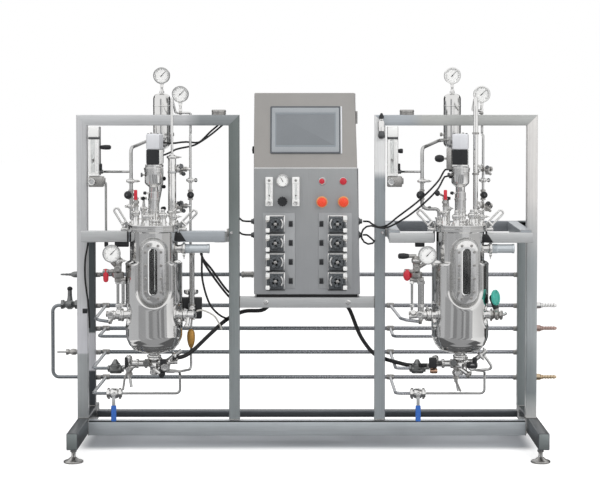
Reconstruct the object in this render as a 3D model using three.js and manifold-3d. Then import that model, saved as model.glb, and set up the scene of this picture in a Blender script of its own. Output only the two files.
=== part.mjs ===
// A twin bench bioreactor: two jacketed stirred vessels and one control cabinet on a steel stand.
// Millimetres. X runs along the stand, Y from front to back, Z up. The origin is on the floor, in the middle.

import * as THREE from 'three';
import { mergeVertices } from 'three/addons/utils/BufferGeometryUtils.js';
import Module from 'manifold-3d';

const wasm = await Module();
wasm.setup();

// ---------------------------------------------------------------- driving dimensions

const GAP = 0.3; // between two pieces that touch or rest on each other

// Stand
const TUBE = 40; // square tube
const STAND_WIDTH = 1737; // over the outer posts
const STAND_DEPTH = 640; // length of the side rails
const STAND_HEIGHT = 1261; // top of the portals
const RAIL_TALL = 60; // side rails and front beam
const FOOT_HEIGHT = 53; // floor to the underside of the side rails
const BEAM_TOP = 108; // front and back beams
const FRONT_POST_Y = -26; // front face of the front posts
const BACK_POST_Y = 232; // front face of the back posts
const MIDDLE_POST_X = 255; // inner face of the middle posts
const CRADLE_TOP = 836;
const CRADLE_FRONT_Y = -201; // front face of the cradle's front bar
const CRADLE_SPACE = 7; // between a middle post and the cradle's inner arm
const CRADLE_INNER_X = MIDDLE_POST_X + TUBE + CRADLE_SPACE;
const SHELF_TOP = 573;
const SHELF_BACK_Y = 230;

// Header pipes behind the back posts
const HEADER_RADIUS = 8;
const HEADER_Y = 291;
const HEADER_PAST_POST = 5.5; // of a header past an outer post's inner face when it has no hose end
const STUB_PAST_POST = 31.5; // of a header past an outer post's outer face, to the root of its barb
const AIR_Z = 627;
const WATER_IN_Z = 504;
const WATER_OUT_Z = 413;
const STEAM_Z = 319;
const DRAIN_Z = 225;

// Vessels
const STATION_X = 563; // distance of each vessel's axis from the middle
const VESSEL_Y = -181;
const SHELL_RADIUS = 88;
const SHELL_WALL = 4;
const JACKET_SPACE = 16; // shell to the outside of the jacket
const JACKET_RADIUS = SHELL_RADIUS + JACKET_SPACE;
const JACKET_TOP = 729;
const JACKET_FOOT = 441; // where the straight side ends
const VESSEL_BOTTOM = 385;
const FLANGE_LIP = 12; // of the flange past the shell
const FLANGE_RADIUS = SHELL_RADIUS + FLANGE_LIP;
const FLANGE_THICK = 11.2;
const LID_THICK = 13.2;
const NOZZLE_Z = 530;
const NOZZLE_RADIUS = 16;
const NOZZLE_LONG = 30; // of a side nozzle past the shell
const NOZZLE_REACH = SHELL_RADIUS + NOZZLE_LONG; // axis to the face of a side nozzle
const NOZZLE_TURN = THREE.MathUtils.degToRad(15); // towards the front
const LAMP_DROP = 25; // of the lamp's axis below the cradle's bars
const LAMP_Z = CRADLE_TOP - TUBE - LAMP_DROP;
const OUTLET_FACE = 370; // lower face of the bottom outlet
const VESSEL_SIDES = 16; // facets round the vessel

// Sight window
const WINDOW_Z = 694;
const WINDOW_WIDE = 29;
const WINDOW_TALL = 168;
const SIGHT_FRAME_WIDE = 84;
const SIGHT_FRAME_TALL = 229;
const SIGHT_FRAME_THICK = 9;
const BOSS_PROUD = 9; // of the flat face that the sight frame is screwed to, past the shell
const BOSS_FACE = SHELL_RADIUS + BOSS_PROUD;
const GLASS_THICK = 8;
const GLASS_LAP = 4; // of the glass past the window's edge

// Agitator
const SHAFT_RADIUS = 6;
const SHAFT_BORE = 9;
const IMPELLER_RADIUS = 30;
const IMPELLER_Z = [470, 590];

// Cabinet
const CABINET_WIDE = 400;
const CABINET_FRONT_Y = -40;
const CABINET_BACK_Y = 260;
const CABINET_BOTTOM = 585;
const CABINET_FOLD = 1062; // where the front starts to lean back
const CABINET_TOP = 1344;
const CABINET_LEAN = THREE.MathUtils.degToRad(17);
const SHEET = 3;
const DOOR_BOTTOM = 650;
const DOOR_MARGIN = 10; // between the door's edge and the cabinet's side

const LID_BOTTOM = CRADLE_TOP + GAP + FLANGE_THICK + GAP;
const LID_TOP = LID_BOTTOM + LID_THICK;

// ---------------------------------------------------------------- materials

function metal(color, roughness) {
  return new THREE.MeshStandardMaterial({ color, roughness, metalness: 1 });
}

function plastic(color, roughness) {
  return new THREE.MeshStandardMaterial({ color, roughness, metalness: 0 });
}

const brushedSteel = metal(0xb4b7ba, 0.38);
const polishedSteel = metal(0xd2d2d0, 0.15);
const darkSteel = metal(0x8d9297, 0.4);
const cabinetSteel = metal(0x9a9c9e, 0.45);
const blackPlastic = plastic(0x17181a, 0.5);
const redPlastic = plastic(0xc4161c, 0.45);
const bluePlastic = plastic(0x2f6fc0, 0.5);
const rubber = plastic(0x101112, 0.6);
const glass = plastic(0x2a3032, 0.1);
const screenGrey = plastic(0x9ba0a3, 0.3);

// ---------------------------------------------------------------- solids

const v = (x, y, z) => new THREE.Vector3(x, y, z);
const along = { x: v(1, 0, 0), y: v(0, 1, 0), z: v(0, 0, 1) };

// A three.js geometry as a closed solid with its faces pointing out.
function solid(geometry) {
  const bare = geometry.clone();
  bare.deleteAttribute('normal');
  bare.deleteAttribute('uv');
  const merged = mergeVertices(bare, 1e-3);
  const points = merged.attributes.position.array;
  const index = merged.index.array;
  const faces = [];
  let volume = 0;
  for (let i = 0; i < index.length; i += 3) {
    const [a, b, c] = [index[i], index[i + 1], index[i + 2]];
    if (a === b || b === c || c === a) continue;
    faces.push(a, b, c);
    const [p, q, r] = [a, b, c].map((k) => new THREE.Vector3().fromArray(points, 3 * k));
    volume += p.dot(q.cross(r));
  }
  if (volume < 0) faces.reverse();
  return new wasm.Manifold(new wasm.Mesh({
    numProp: 3,
    vertProperties: new Float32Array(points),
    triVerts: new Uint32Array(faces),
  }));
}

function box(x0, x1, y0, y1, z0, z1) {
  const shape = new THREE.BoxGeometry(x1 - x0, y1 - y0, z1 - z0);
  return solid(shape.translate((x0 + x1) / 2, (y0 + y1) / 2, (z0 + z1) / 2));
}

// A round bar from one point to another, or a cone frustum when it has a second radius.
function rod(from, to, radius, sides = 6, endRadius = radius) {
  const run = to.clone().sub(from);
  const shape = new THREE.CylinderGeometry(endRadius, radius, run.length(), sides);
  shape.applyQuaternion(new THREE.Quaternion().setFromUnitVectors(along.y, run.normalize()));
  const middle = from.clone().add(to).multiplyScalar(0.5);
  return solid(shape.translate(middle.x, middle.y, middle.z));
}

// A bar of a given length, centred on a point and lying along a direction.
function bar(centre, direction, length, radius, sides = 6) {
  const half = direction.clone().normalize().multiplyScalar(length / 2);
  return rod(centre.clone().sub(half), centre.clone().add(half), radius, sides);
}

function ball(centre, radius) {
  return solid(new THREE.SphereGeometry(radius, 6, 4).translate(centre.x, centre.y, centre.z));
}

// A turned solid on a vertical axis; the outline is a list of [radius, height].
function turned(outline, x, y, sides = 20) {
  const points = outline.map(([radius, height]) => new THREE.Vector2(radius, height));
  const shape = new THREE.LatheGeometry(points, sides);
  return solid(shape.rotateX(Math.PI / 2).translate(x, y, 0));
}

// A flat outline in X and Z, made thick along Y from one face to the other.
function slab(shape, yFront, yBack, curveSegments = 8) {
  const settings = { depth: yBack - yFront, bevelEnabled: false, curveSegments };
  const plate = new THREE.ExtrudeGeometry(shape, settings);
  return solid(plate.rotateX(Math.PI / 2).translate(0, yBack, 0));
}

// An upright slot outline with round ends.
function obround(wide, tall) {
  const radius = wide / 2;
  const straight = tall / 2 - radius;
  const shape = new THREE.Shape();
  shape.moveTo(radius, -straight);
  shape.lineTo(radius, straight);
  shape.absarc(0, straight, radius, 0, Math.PI, false);
  shape.lineTo(-radius, -straight);
  shape.absarc(0, -straight, radius, Math.PI, 2 * Math.PI, false);
  return shape;
}

// The centreline of a bent pipe: straight runs joined by round bends.
class PipeRoute extends THREE.Curve {
  constructor(corners, bend) {
    super();
    this.samples = [];
    this.add(corners[0], corners[1].clone().sub(corners[0]).normalize());
    for (let i = 1; i + 1 < corners.length; i++) {
      this.addBend(corners[i - 1], corners[i], corners[i + 1], bend);
    }
    const last = corners[corners.length - 1];
    this.add(last, last.clone().sub(corners[corners.length - 2]).normalize());
  }

  add(point, tangent) {
    this.samples.push({ point: point.clone(), tangent: tangent.clone() });
  }

  addBend(before, corner, after, bend) {
    const into = corner.clone().sub(before).normalize();
    const out = after.clone().sub(corner).normalize();
    const turn = into.angleTo(out);
    const setback = bend * Math.tan(turn / 2);
    const start = corner.clone().addScaledVector(into, -setback);
    const side = out.clone().addScaledVector(into, -out.dot(into)).normalize();
    const steps = Math.max(1, Math.ceil(turn / THREE.MathUtils.degToRad(46)));
    for (let i = 0; i <= steps; i++) {
      const angle = (turn * i) / steps;
      const point = start.clone().addScaledVector(into, bend * Math.sin(angle));
      point.addScaledVector(side, bend * (1 - Math.cos(angle)));
      this.add(point, into.clone().multiplyScalar(Math.cos(angle)).addScaledVector(side, Math.sin(angle)));
    }
  }

  getPointAt(u, target = new THREE.Vector3()) {
    return target.copy(this.samples[Math.round(u * (this.samples.length - 1))].point);
  }

  getTangentAt(u, target = new THREE.Vector3()) {
    return target.copy(this.samples[Math.round(u * (this.samples.length - 1))].tangent);
  }
}

function ring(radius, sides) {
  const corners = [];
  for (let i = 0; i < sides; i++) {
    const angle = (2 * Math.PI * i) / sides;
    corners.push(new THREE.Vector2(radius * Math.cos(angle), radius * Math.sin(angle)));
  }
  return new THREE.Shape(corners);
}

function pipe(corners, radius, bend = 2.5 * radius, sides = 6) {
  const route = new PipeRoute(corners, bend);
  const steps = route.samples.length - 1;
  const settings = { steps, extrudePath: route, bevelEnabled: false };
  return solid(new THREE.ExtrudeGeometry(ring(radius, sides), settings));
}

function join(...pieces) {
  return wasm.Manifold.union(pieces.flat());
}

function turnAbout(piece, x, y, degrees) {
  return piece.translate([-x, -y, 0]).rotate([0, 0, degrees]).translate([x, y, 0]);
}

const bioreactor = new THREE.Group();

function addNode(name, piece, material) {
  const { vertProperties, triVerts } = piece.getMesh();
  const geometry = new THREE.BufferGeometry();
  geometry.setAttribute('position', new THREE.BufferAttribute(vertProperties, 3));
  geometry.setIndex(new THREE.BufferAttribute(triVerts, 1));
  geometry.computeVertexNormals();
  const mesh = new THREE.Mesh(geometry, material);
  mesh.name = name;
  bioreactor.add(mesh);
}

// ---------------------------------------------------------------- small fittings

const GAUGE_DEEP = 26;

// A dial gauge that faces the front.
function gauge(x, y, z, radius = 32) {
  return join(bar(v(x, y, z), along.y, GAUGE_DEEP, radius, 12), bar(v(x, y, z - radius), along.z, 16, 8));
}

// The pair of ferrules and the clamp round a pipe joint.
function clamp(centre, direction, radius = 13) {
  return bar(centre, direction, 12, radius);
}

// A diaphragm valve: a body across the pipe, and a bonnet with its round handle out of it.
function diaphragmValve(centre, through, out, size = 1) {
  const top = centre.clone().addScaledVector(out, 36 * size);
  return join(bar(centre, through, 40 * size, 11 * size), rod(centre, top, 9 * size, 6, 13 * size));
}

// A hose barb on the end of a header, from its root outwards.
function hoseBarb(y, z, fromX, toX) {
  const step = (toX - fromX) / 4;
  return join(
    rod(v(fromX, y, z), v(toX, y, z), 6),
    rod(v(fromX, y, z), v(fromX + step, y, z), 12),
    rod(v(fromX + 2 * step, y, z), v(fromX + 3 * step, y, z), 9),
  );
}

// ---------------------------------------------------------------- stand

const OUTER_X = STAND_WIDTH / 2; // outer face of the outer posts
const POST_X = OUTER_X - TUBE; // inner face of the outer posts
const FRONT_Y = -STAND_DEPTH / 2;
const RAIL_TOP = FOOT_HEIGHT + RAIL_TALL;

// A box mirrored to the left (-1) or kept on the right (1).
function sideBox(side, x0, x1, y0, y1, z0, z1) {
  return side > 0 ? box(x0, x1, y0, y1, z0, z1) : box(-x1, -x0, y0, y1, z0, z1);
}

function baseFrame() {
  const rails = [-1, 1].map((side) =>
    sideBox(side, POST_X, OUTER_X, FRONT_Y, -FRONT_Y, FOOT_HEIGHT, RAIL_TOP));
  const front = box(-POST_X, POST_X, FRONT_POST_Y, FRONT_POST_Y + TUBE, BEAM_TOP - RAIL_TALL, BEAM_TOP);
  const back = box(-POST_X, POST_X, BACK_POST_Y, BACK_POST_Y + TUBE, BEAM_TOP - TUBE, BEAM_TOP);
  return join(rails, front, back);
}

const CABLE_CAP_X = { '-1': -333, 1: 377 }; // the gland caps on the top bars
const CABLE_CAP_RADIUS = 28;

function portal(side) {
  const y0 = FRONT_POST_Y;
  const y1 = FRONT_POST_Y + TUBE;
  const cap = (z) => v(CABLE_CAP_X[side], FRONT_POST_Y + TUBE / 2 + 8, z);
  return join(
    sideBox(side, POST_X, OUTER_X, y0, y1, RAIL_TOP + GAP, STAND_HEIGHT),
    sideBox(side, MIDDLE_POST_X, MIDDLE_POST_X + TUBE, y0, y1, BEAM_TOP + GAP, STAND_HEIGHT),
    sideBox(side, MIDDLE_POST_X, OUTER_X, y0, y1, STAND_HEIGHT - TUBE, STAND_HEIGHT),
    rod(cap(STAND_HEIGHT - 1), cap(STAND_HEIGHT + 20), CABLE_CAP_RADIUS, 12),
  );
}

const REAR_BAR_DROP = { '-1': 36, 1: 0 }; // of the cradle's rear cross bar below its arms
const LUG_CLEARANCE = 9; // between the shell and the end of each half of the front bar
const LUG_SPACE = SHELL_RADIUS + LUG_CLEARANCE; // vessel axis to that end

function cradle(side) {
  const z0 = CRADLE_TOP - TUBE;
  const backY = BACK_POST_Y + TUBE;
  const drop = REAR_BAR_DROP[side];
  const outerFace = POST_X - GAP;
  return join(
    sideBox(side, STATION_X + LUG_SPACE, outerFace, CRADLE_FRONT_Y, CRADLE_FRONT_Y + TUBE, z0, CRADLE_TOP),
    sideBox(
      side, CRADLE_INNER_X, STATION_X - LUG_SPACE,
      CRADLE_FRONT_Y, CRADLE_FRONT_Y + TUBE, z0, CRADLE_TOP,
    ),
    sideBox(side, outerFace - TUBE, outerFace, CRADLE_FRONT_Y, backY, z0, CRADLE_TOP),
    sideBox(side, CRADLE_INNER_X, CRADLE_INNER_X + TUBE, CRADLE_FRONT_Y, backY, z0, CRADLE_TOP),
    sideBox(side, CRADLE_INNER_X, OUTER_X, BACK_POST_Y, backY, z0 - drop, CRADLE_TOP - drop),
    sideBox(side, POST_X, OUTER_X, BACK_POST_Y, backY, RAIL_TOP + GAP, CRADLE_TOP),
    sideBox(
      side, MIDDLE_POST_X + TUBE + GAP, CRADLE_INNER_X + 1,
      FRONT_POST_Y + 5, FRONT_POST_Y + 35, z0 + 5, CRADLE_TOP - 5,
    ),
  );
}

function cabinetShelf() {
  const end = MIDDLE_POST_X - GAP;
  const y0 = FRONT_POST_Y;
  const z0 = SHELF_TOP - TUBE;
  const arm = CABINET_WIDE / 2;
  return join(
    box(-end, end, y0, y0 + TUBE, z0, SHELF_TOP),
    box(-arm, -arm + TUBE, y0, SHELF_BACK_Y, z0, SHELF_TOP),
    box(arm - TUBE, arm, y0, SHELF_BACK_Y, z0, SHELF_TOP),
    box(-arm, arm, SHELF_BACK_Y - TUBE, SHELF_BACK_Y, z0, SHELF_TOP),
    [-1, 1].map((side) => bar(v(side * 155, y0 - 1, SHELF_TOP - TUBE / 2), along.y, 8, 6)),
  );
}

const FOOT_INSET = 40; // from the rail's end to the foot's axis
const FOOT_RADIUS = 36;

function foot(x, y) {
  const studTop = FOOT_HEIGHT - GAP;
  const outline = [[0, 0], [FOOT_RADIUS, 0], [FOOT_RADIUS, 7], [14, 17], [8, 19], [8, studTop], [0, studTop]];
  const nut = bar(v(x, y, FOOT_HEIGHT - 8), along.z, 10, 11);
  return join(turned(outline, x, y, 12), nut);
}

addNode('base_frame', baseFrame(), brushedSteel);
addNode('left_portal', portal(-1), brushedSteel);
addNode('right_portal', portal(1), brushedSteel);
addNode('left_cradle', cradle(-1), brushedSteel);
addNode('right_cradle', cradle(1), brushedSteel);
addNode('cabinet_shelf', cabinetShelf(), brushedSteel);
for (const [end, way] of [['front', 1], ['rear', -1]]) {
  for (const [hand, side] of [['left', -1], ['right', 1]]) {
    const x = side * (OUTER_X - TUBE / 2);
    addNode(`foot_${end}_${hand}`, foot(x, way * (FRONT_Y + FOOT_INSET)), polishedSteel);
  }
}

// ---------------------------------------------------------------- headers

const BRANCH_SPACE = { '-1': 31.5, 1: 35 }; // from the left post of each station
const BRANCH_X = { '-1': -POST_X + BRANCH_SPACE[-1], 1: MIDDLE_POST_X + TUBE + BRANCH_SPACE[1] };
const HEADER_END_X = POST_X + HEADER_PAST_POST;
const STUB_X = OUTER_X + STUB_PAST_POST; // root of a hose barb
const HOSE_END_X = STUB_X + 90; // tip of a hose barb
const LOOP_X = -STUB_X - 98; // the outer leg of the loop at the left

// The saddle that holds a header behind a back post.
function saddle(side, z) {
  const backFace = BACK_POST_Y + TUBE + GAP;
  return sideBox(side, POST_X - 12, POST_X + 14, backFace, HEADER_Y, z - 9, z + 9);
}

function header(z, fromX, toX) {
  return join(
    rod(v(fromX, HEADER_Y, z), v(toX, HEADER_Y, z), HEADER_RADIUS),
    [-1, 1].map((side) => saddle(side, z)),
  );
}

// A pipe from a header straight to the front and then round to the right.
function branch(corners, radius = 6) {
  return join(pipe(corners, radius, 20), bar(corners[0], along.x, 26, HEADER_RADIUS + 3, 8));
}

const STATIONS = [-1, 1];
// Where the water supply meets each side manifold.
const MANIFOLD_END = {
  '-1': v(-STATION_X - NOZZLE_REACH - 46, -216, 506),
  1: v(STATION_X - NOZZLE_REACH - 37, -216, 506),
};
const JACKET_IN_Z = 455;
const TRAP_X = { '-1': -STATION_X - 179, 1: STATION_X - 182 }; // left end of the steam trap
const TRAP_Y = -121;
const VALVE_X = { '-1': -STATION_X - 183, 1: STATION_X - 180 }; // left end of the drain valve
const HEADER_PIPE = 6; // radius of the branch pipes

function airHeader() {
  return join(
    header(AIR_Z, -STUB_X - 4, HEADER_END_X),
    hoseBarb(HEADER_Y, AIR_Z, -STUB_X, -STUB_X - 76),
    bar(v(-235, HEADER_Y, AIR_Z), along.x, 50, 13),
  );
}

function waterHeader() {
  const loop = [
    v(-STUB_X, HEADER_Y, WATER_IN_Z),
    v(LOOP_X, HEADER_Y, WATER_IN_Z),
    v(LOOP_X, HEADER_Y, DRAIN_Z),
    v(-HEADER_END_X, HEADER_Y, DRAIN_Z),
  ];
  const supplies = STATIONS.map((side) => {
    const end = MANIFOLD_END[side];
    const x = BRANCH_X[side];
    const corners = [v(x, HEADER_Y, WATER_IN_Z), v(x, end.y + 60, WATER_IN_Z), v(x + 30, end.y, end.z), end];
    return branch(corners, HEADER_PIPE);
  });
  const drains = STATIONS.map((side) => {
    const x = BRANCH_X[side];
    const corners = [v(x, HEADER_Y, DRAIN_Z), v(x, TRAP_Y, DRAIN_Z), v(VALVE_X[side], TRAP_Y, DRAIN_Z)];
    return branch(corners, HEADER_PIPE);
  });
  return join(
    header(WATER_IN_Z, -STUB_X - 5, STUB_X + 5),
    header(DRAIN_Z, -HEADER_END_X, STUB_X + 5),
    pipe(loop, HEADER_RADIUS - 1, 24),
    diaphragmValve(v(-STUB_X - 40, HEADER_Y, WATER_IN_Z), along.x, along.z, 1.2),
    hoseBarb(HEADER_Y, WATER_IN_Z, STUB_X, HOSE_END_X),
    hoseBarb(HEADER_Y, DRAIN_Z, STUB_X, HOSE_END_X),
    supplies,
    drains,
  );
}

function returnHeader() {
  const returns = STATIONS.map((side) => {
    const x = BRANCH_X[side];
    const axis = side * STATION_X;
    const turnY = 60;
    const jacketBack = VESSEL_Y + JACKET_RADIUS + GAP;
    return branch([
      v(x, HEADER_Y, WATER_OUT_Z),
      v(x, turnY, WATER_OUT_Z),
      v(axis - 20, turnY, WATER_OUT_Z),
      v(axis - 20, turnY - 60, JACKET_IN_Z),
      v(axis - 20, jacketBack + 1.6, JACKET_IN_Z),
    ], HEADER_PIPE);
  });
  return join(
    header(WATER_OUT_Z, -HEADER_END_X, STUB_X + 5),
    hoseBarb(HEADER_Y, WATER_OUT_Z, STUB_X, HOSE_END_X),
    returns,
  );
}

function steamHeader() {
  const feeds = STATIONS.map((side) => {
    const x = BRANCH_X[side];
    const corners = [v(x, HEADER_Y, STEAM_Z), v(x, TRAP_Y, STEAM_Z), v(TRAP_X[side], TRAP_Y, STEAM_Z)];
    return branch(corners, HEADER_PIPE);
  });
  return join(
    header(STEAM_Z, -STUB_X - 4, HEADER_END_X),
    bar(v(-STUB_X - 25, HEADER_Y, STEAM_Z), along.x, 60, 12),
    rod(v(-STUB_X - 50, HEADER_Y, STEAM_Z), v(LOOP_X + HEADER_RADIUS, HEADER_Y, STEAM_Z), 4),
    feeds,
  );
}

addNode('header_air', airHeader(), brushedSteel);
addNode('header_water', waterHeader(), brushedSteel);
addNode('header_return', returnHeader(), brushedSteel);
addNode('header_steam', steamHeader(), brushedSteel);

// ---------------------------------------------------------------- stations

// What differs between the two stations; lengths are from the vessel's axis unless they name a height.
const LAYOUT = {
  '-1': {
    name: 'left', motorTurn: 15, windowTurn: 0, condenserX: 10, returnX: -86,
    rotameterFace: -POST_X + GAP, lampReach: 205,
  },
  1: {
    name: 'right', motorTurn: -8, windowTurn: 8, condenserX: -10, returnX: -139,
    rotameterFace: MIDDLE_POST_X + TUBE + GAP, lampReach: 198,
  },
};

const BOLT_INSET = 9; // from the lid's edge to the bolts' circle
const BOLT_CIRCLE = FLANGE_RADIUS - BOLT_INSET;
const LID_BOLTS = 8;
const EAR_LONG = 20; // of the ears past the flange, onto the cradle
const EAR_REACH = FLANGE_RADIUS + EAR_LONG;
const EAR_HALF = 18;

// A direction outwards from the vessel's axis to one side, a little towards the front.
function nozzleDirection(side) {
  return v(side * Math.cos(NOZZLE_TURN), -Math.sin(NOZZLE_TURN), 0);
}

function fromAxis(side, dx, dy, z) {
  return v(side * STATION_X + dx, VESSEL_Y + dy, z);
}

function nozzle(side, way) {
  const axis = fromAxis(side, 0, 0, NOZZLE_Z);
  const out = nozzleDirection(way);
  const at = (reach) => axis.clone().addScaledVector(out, reach);
  return join(
    rod(at(SHELL_RADIUS - 5), at(NOZZLE_REACH), NOZZLE_RADIUS),
    rod(at(NOZZLE_REACH - 6), at(NOZZLE_REACH), 24, 8),
  );
}

// The shell with its flange, still solid.
function vesselShell(x, y) {
  const flangeTop = LID_BOTTOM - GAP;
  const flangeFoot = flangeTop - FLANGE_THICK;
  return turned([
    [0, VESSEL_BOTTOM], [45, VESSEL_BOTTOM + 4], [76, VESSEL_BOTTOM + 15], [SHELL_RADIUS, VESSEL_BOTTOM + 32],
    [SHELL_RADIUS, flangeFoot], [FLANGE_RADIUS, flangeFoot], [FLANGE_RADIUS, flangeTop], [0, flangeTop],
  ], x, y, VESSEL_SIDES);
}

// The space inside the shell, running out through its mouth.
function vesselInside(x, y) {
  const inner = SHELL_RADIUS - SHELL_WALL;
  return turned([
    [0, VESSEL_BOTTOM + 6], [45, VESSEL_BOTTOM + 10], [74, VESSEL_BOTTOM + 21], [inner, VESSEL_BOTTOM + 36],
    [inner, LID_TOP], [0, LID_TOP],
  ], x, y, VESSEL_SIDES);
}

const CUT_HALF_WIDTH = 58; // of the jacket's opening round the window
const CUT_FOOT = 552;
const BITE_RADIUS = 38; // of the jacket's openings round the side nozzles

function jacket(side, x, y) {
  const ringOfJacket = turned([
    [SHELL_RADIUS - 2, VESSEL_BOTTOM + 16],
    [JACKET_RADIUS - 8, JACKET_FOOT - 24], [JACKET_RADIUS, JACKET_FOOT],
    [JACKET_RADIUS, JACKET_TOP - 10], [JACKET_RADIUS - 5, JACKET_TOP], [SHELL_RADIUS - 2, JACKET_TOP],
    [SHELL_RADIUS - 2, VESSEL_BOTTOM + 16],
  ], x, y, VESSEL_SIDES);
  const tall = 2 * (JACKET_TOP - CUT_FOOT);
  const opening = slab(obround(2 * CUT_HALF_WIDTH, tall), -130, -50).translate([x, y, CUT_FOOT + tall / 2]);
  const bites = [-1, 1].map((way) => {
    const out = nozzleDirection(way);
    const axis = v(x, y, NOZZLE_Z);
    return rod(axis.clone().addScaledVector(out, 60), axis.clone().addScaledVector(out, 130), BITE_RADIUS, 8);
  });
  return ringOfJacket.subtract(join(turnAbout(opening, x, y, LAYOUT[side].windowTurn), bites));
}

function windowBoss(side, x, y) {
  const boss = slab(obround(SIGHT_FRAME_WIDE + 8, SIGHT_FRAME_TALL + 8), -BOSS_FACE, -60, 4);
  return turnAbout(boss.translate([x, y, WINDOW_Z]), x, y, LAYOUT[side].windowTurn);
}

function windowCut(side, x, y) {
  const through = slab(obround(WINDOW_WIDE, WINDOW_TALL), -BOSS_FACE - 5, -40, 4);
  const seat = 2 * (GLASS_LAP + GAP);
  const floor = -BOSS_FACE + GLASS_THICK + 2 * GAP;
  const recess = slab(obround(WINDOW_WIDE + seat, WINDOW_TALL + seat), -BOSS_FACE - 1, floor, 4);
  return turnAbout(join(through, recess).translate([x, y, WINDOW_Z]), x, y, LAYOUT[side].windowTurn);
}

// The lamp housing on its port at the upper right, lying along X.
function sightLamp(side) {
  const at = (dx) => fromAxis(side, dx, -8, LAMP_Z);
  return join(
    rod(at(SHELL_RADIUS - 8), at(LAYOUT[side].lampReach), 17, 8),
    rod(at(104), at(118), 22, 8),
  );
}

function outlet(side) {
  const at = (z) => fromAxis(side, 0, 0, z);
  const neck = rod(at(VESSEL_BOTTOM + 5), at(OUTLET_FACE), 18);
  return join(neck, rod(at(OUTLET_FACE + 6), at(OUTLET_FACE), 25, 8));
}

// The valve with a disc handwheel on the right-hand nozzle of the right station.
function handwheelValve(side) {
  const axis = fromAxis(side, 0, 0, NOZZLE_Z);
  const out = nozzleDirection(1);
  const at = (reach, rise = 0) => axis.clone().addScaledVector(out, reach).add(v(0, 0, rise));
  return join(
    rod(at(NOZZLE_REACH - 2), at(NOZZLE_REACH + 38), 19),
    rod(at(134), at(134, 44), 10),
    rod(at(134, 38), at(134, 62), 22, 8).translate([0, 24, 0]),
    rod(at(134, 40), at(134, 40).add(v(0, 26, 6)), 8),
    rod(at(154), at(172, 8), 6),
  );
}

function vessel(side) {
  const x = side * STATION_X;
  const y = VESSEL_Y;
  const flangeFoot = CRADLE_TOP + GAP;
  const ears = [-1, 1].map((way) => {
    const root = FLANGE_RADIUS - 10;
    const [x0, x1] = way > 0 ? [x + root, x + EAR_REACH] : [x - EAR_REACH, x - root];
    return box(x0, x1, y - EAR_HALF, y + EAR_HALF, flangeFoot, flangeFoot + FLANGE_THICK);
  });
  const body = join(
    vesselShell(x, y), jacket(side, x, y), windowBoss(side, x, y), ears, outlet(side), sightLamp(side),
    nozzle(side, -1), nozzle(side, 1), side > 0 ? [handwheelValve(side)] : [],
  );
  return body.subtract(join(vesselInside(x, y), windowCut(side, x, y)));
}

// Ports on the lid: how far from the axis, their height and their radius.
function lidPorts(side) {
  const returnPort = { dx: -76, dy: 24, tall: 24, radius: 11 };
  const ventPort = { dx: side < 0 ? 65 : 59, dy: 31, tall: 30, radius: 11 };
  return [
    returnPort,
    ventPort,
    { dx: -60, dy: -46, tall: 44, radius: 11 },
    { dx: 38, dy: -58, tall: 34, radius: 12 },
    { dx: -20, dy: -70, tall: 30, radius: 12 },
    { dx: -42, dy: 52, tall: 52, radius: 9 },
    { dx: 8, dy: 62, tall: 34, radius: 11 },
    { dx: 74, dy: -26, tall: 26, radius: 10 },
  ];
}

const SEAT_TALL = 7; // the drive's seat in the middle of the lid
const HANDLE_ROD = 4;

// A lifting loop on the rim of the lid, leaning out at 45 degrees.
function liftingLoop(side, way) {
  const foot = fromAxis(side, way * 96, 0, LID_TOP - 4);
  const out = v(way * 0.7, 0, 0.72);
  const across = v(way * 0.72, 0, -0.7);
  const at = (reach, half) => foot.clone().addScaledVector(out, reach).addScaledVector(across, half);
  return join(
    pipe([at(0, -9), at(72, -9), at(72, 9), at(0, 9)], HANDLE_ROD, 8.9),
    bar(foot.clone().addScaledVector(out, 9), across, 24, 6),
  );
}

function lid(side) {
  const x = side * STATION_X;
  const y = VESSEL_Y;
  const plate = rod(v(x, y, LID_BOTTOM), v(x, y, LID_TOP), FLANGE_RADIUS, VESSEL_SIDES);
  const seat = rod(v(x, y, LID_TOP - 1), v(x, y, LID_TOP + SEAT_TALL), 27, 8);
  const bolts = [];
  for (let i = 0; i < LID_BOLTS; i++) {
    const angle = (2 * Math.PI * (i + 0.5)) / LID_BOLTS;
    const foot = v(x + BOLT_CIRCLE * Math.cos(angle), y + BOLT_CIRCLE * Math.sin(angle), LID_TOP - 1);
    bolts.push(rod(foot, foot.clone().add(v(0, 0, 6)), 6));
  }
  const ports = lidPorts(side).map(({ dx, dy, tall, radius }) =>
    rod(fromAxis(side, dx, dy, LID_TOP - 1), fromAxis(side, dx, dy, LID_TOP + tall), radius, 8, radius + 4));
  const loops = [-1, 1].map((way) => liftingLoop(side, way));
  const bore = rod(v(x, y, LID_BOTTOM - 5), v(x, y, LID_TOP + SEAT_TALL + 5), SHAFT_BORE, 8);
  return join(plate, seat, bolts, ports, loops).subtract(bore);
}

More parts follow.
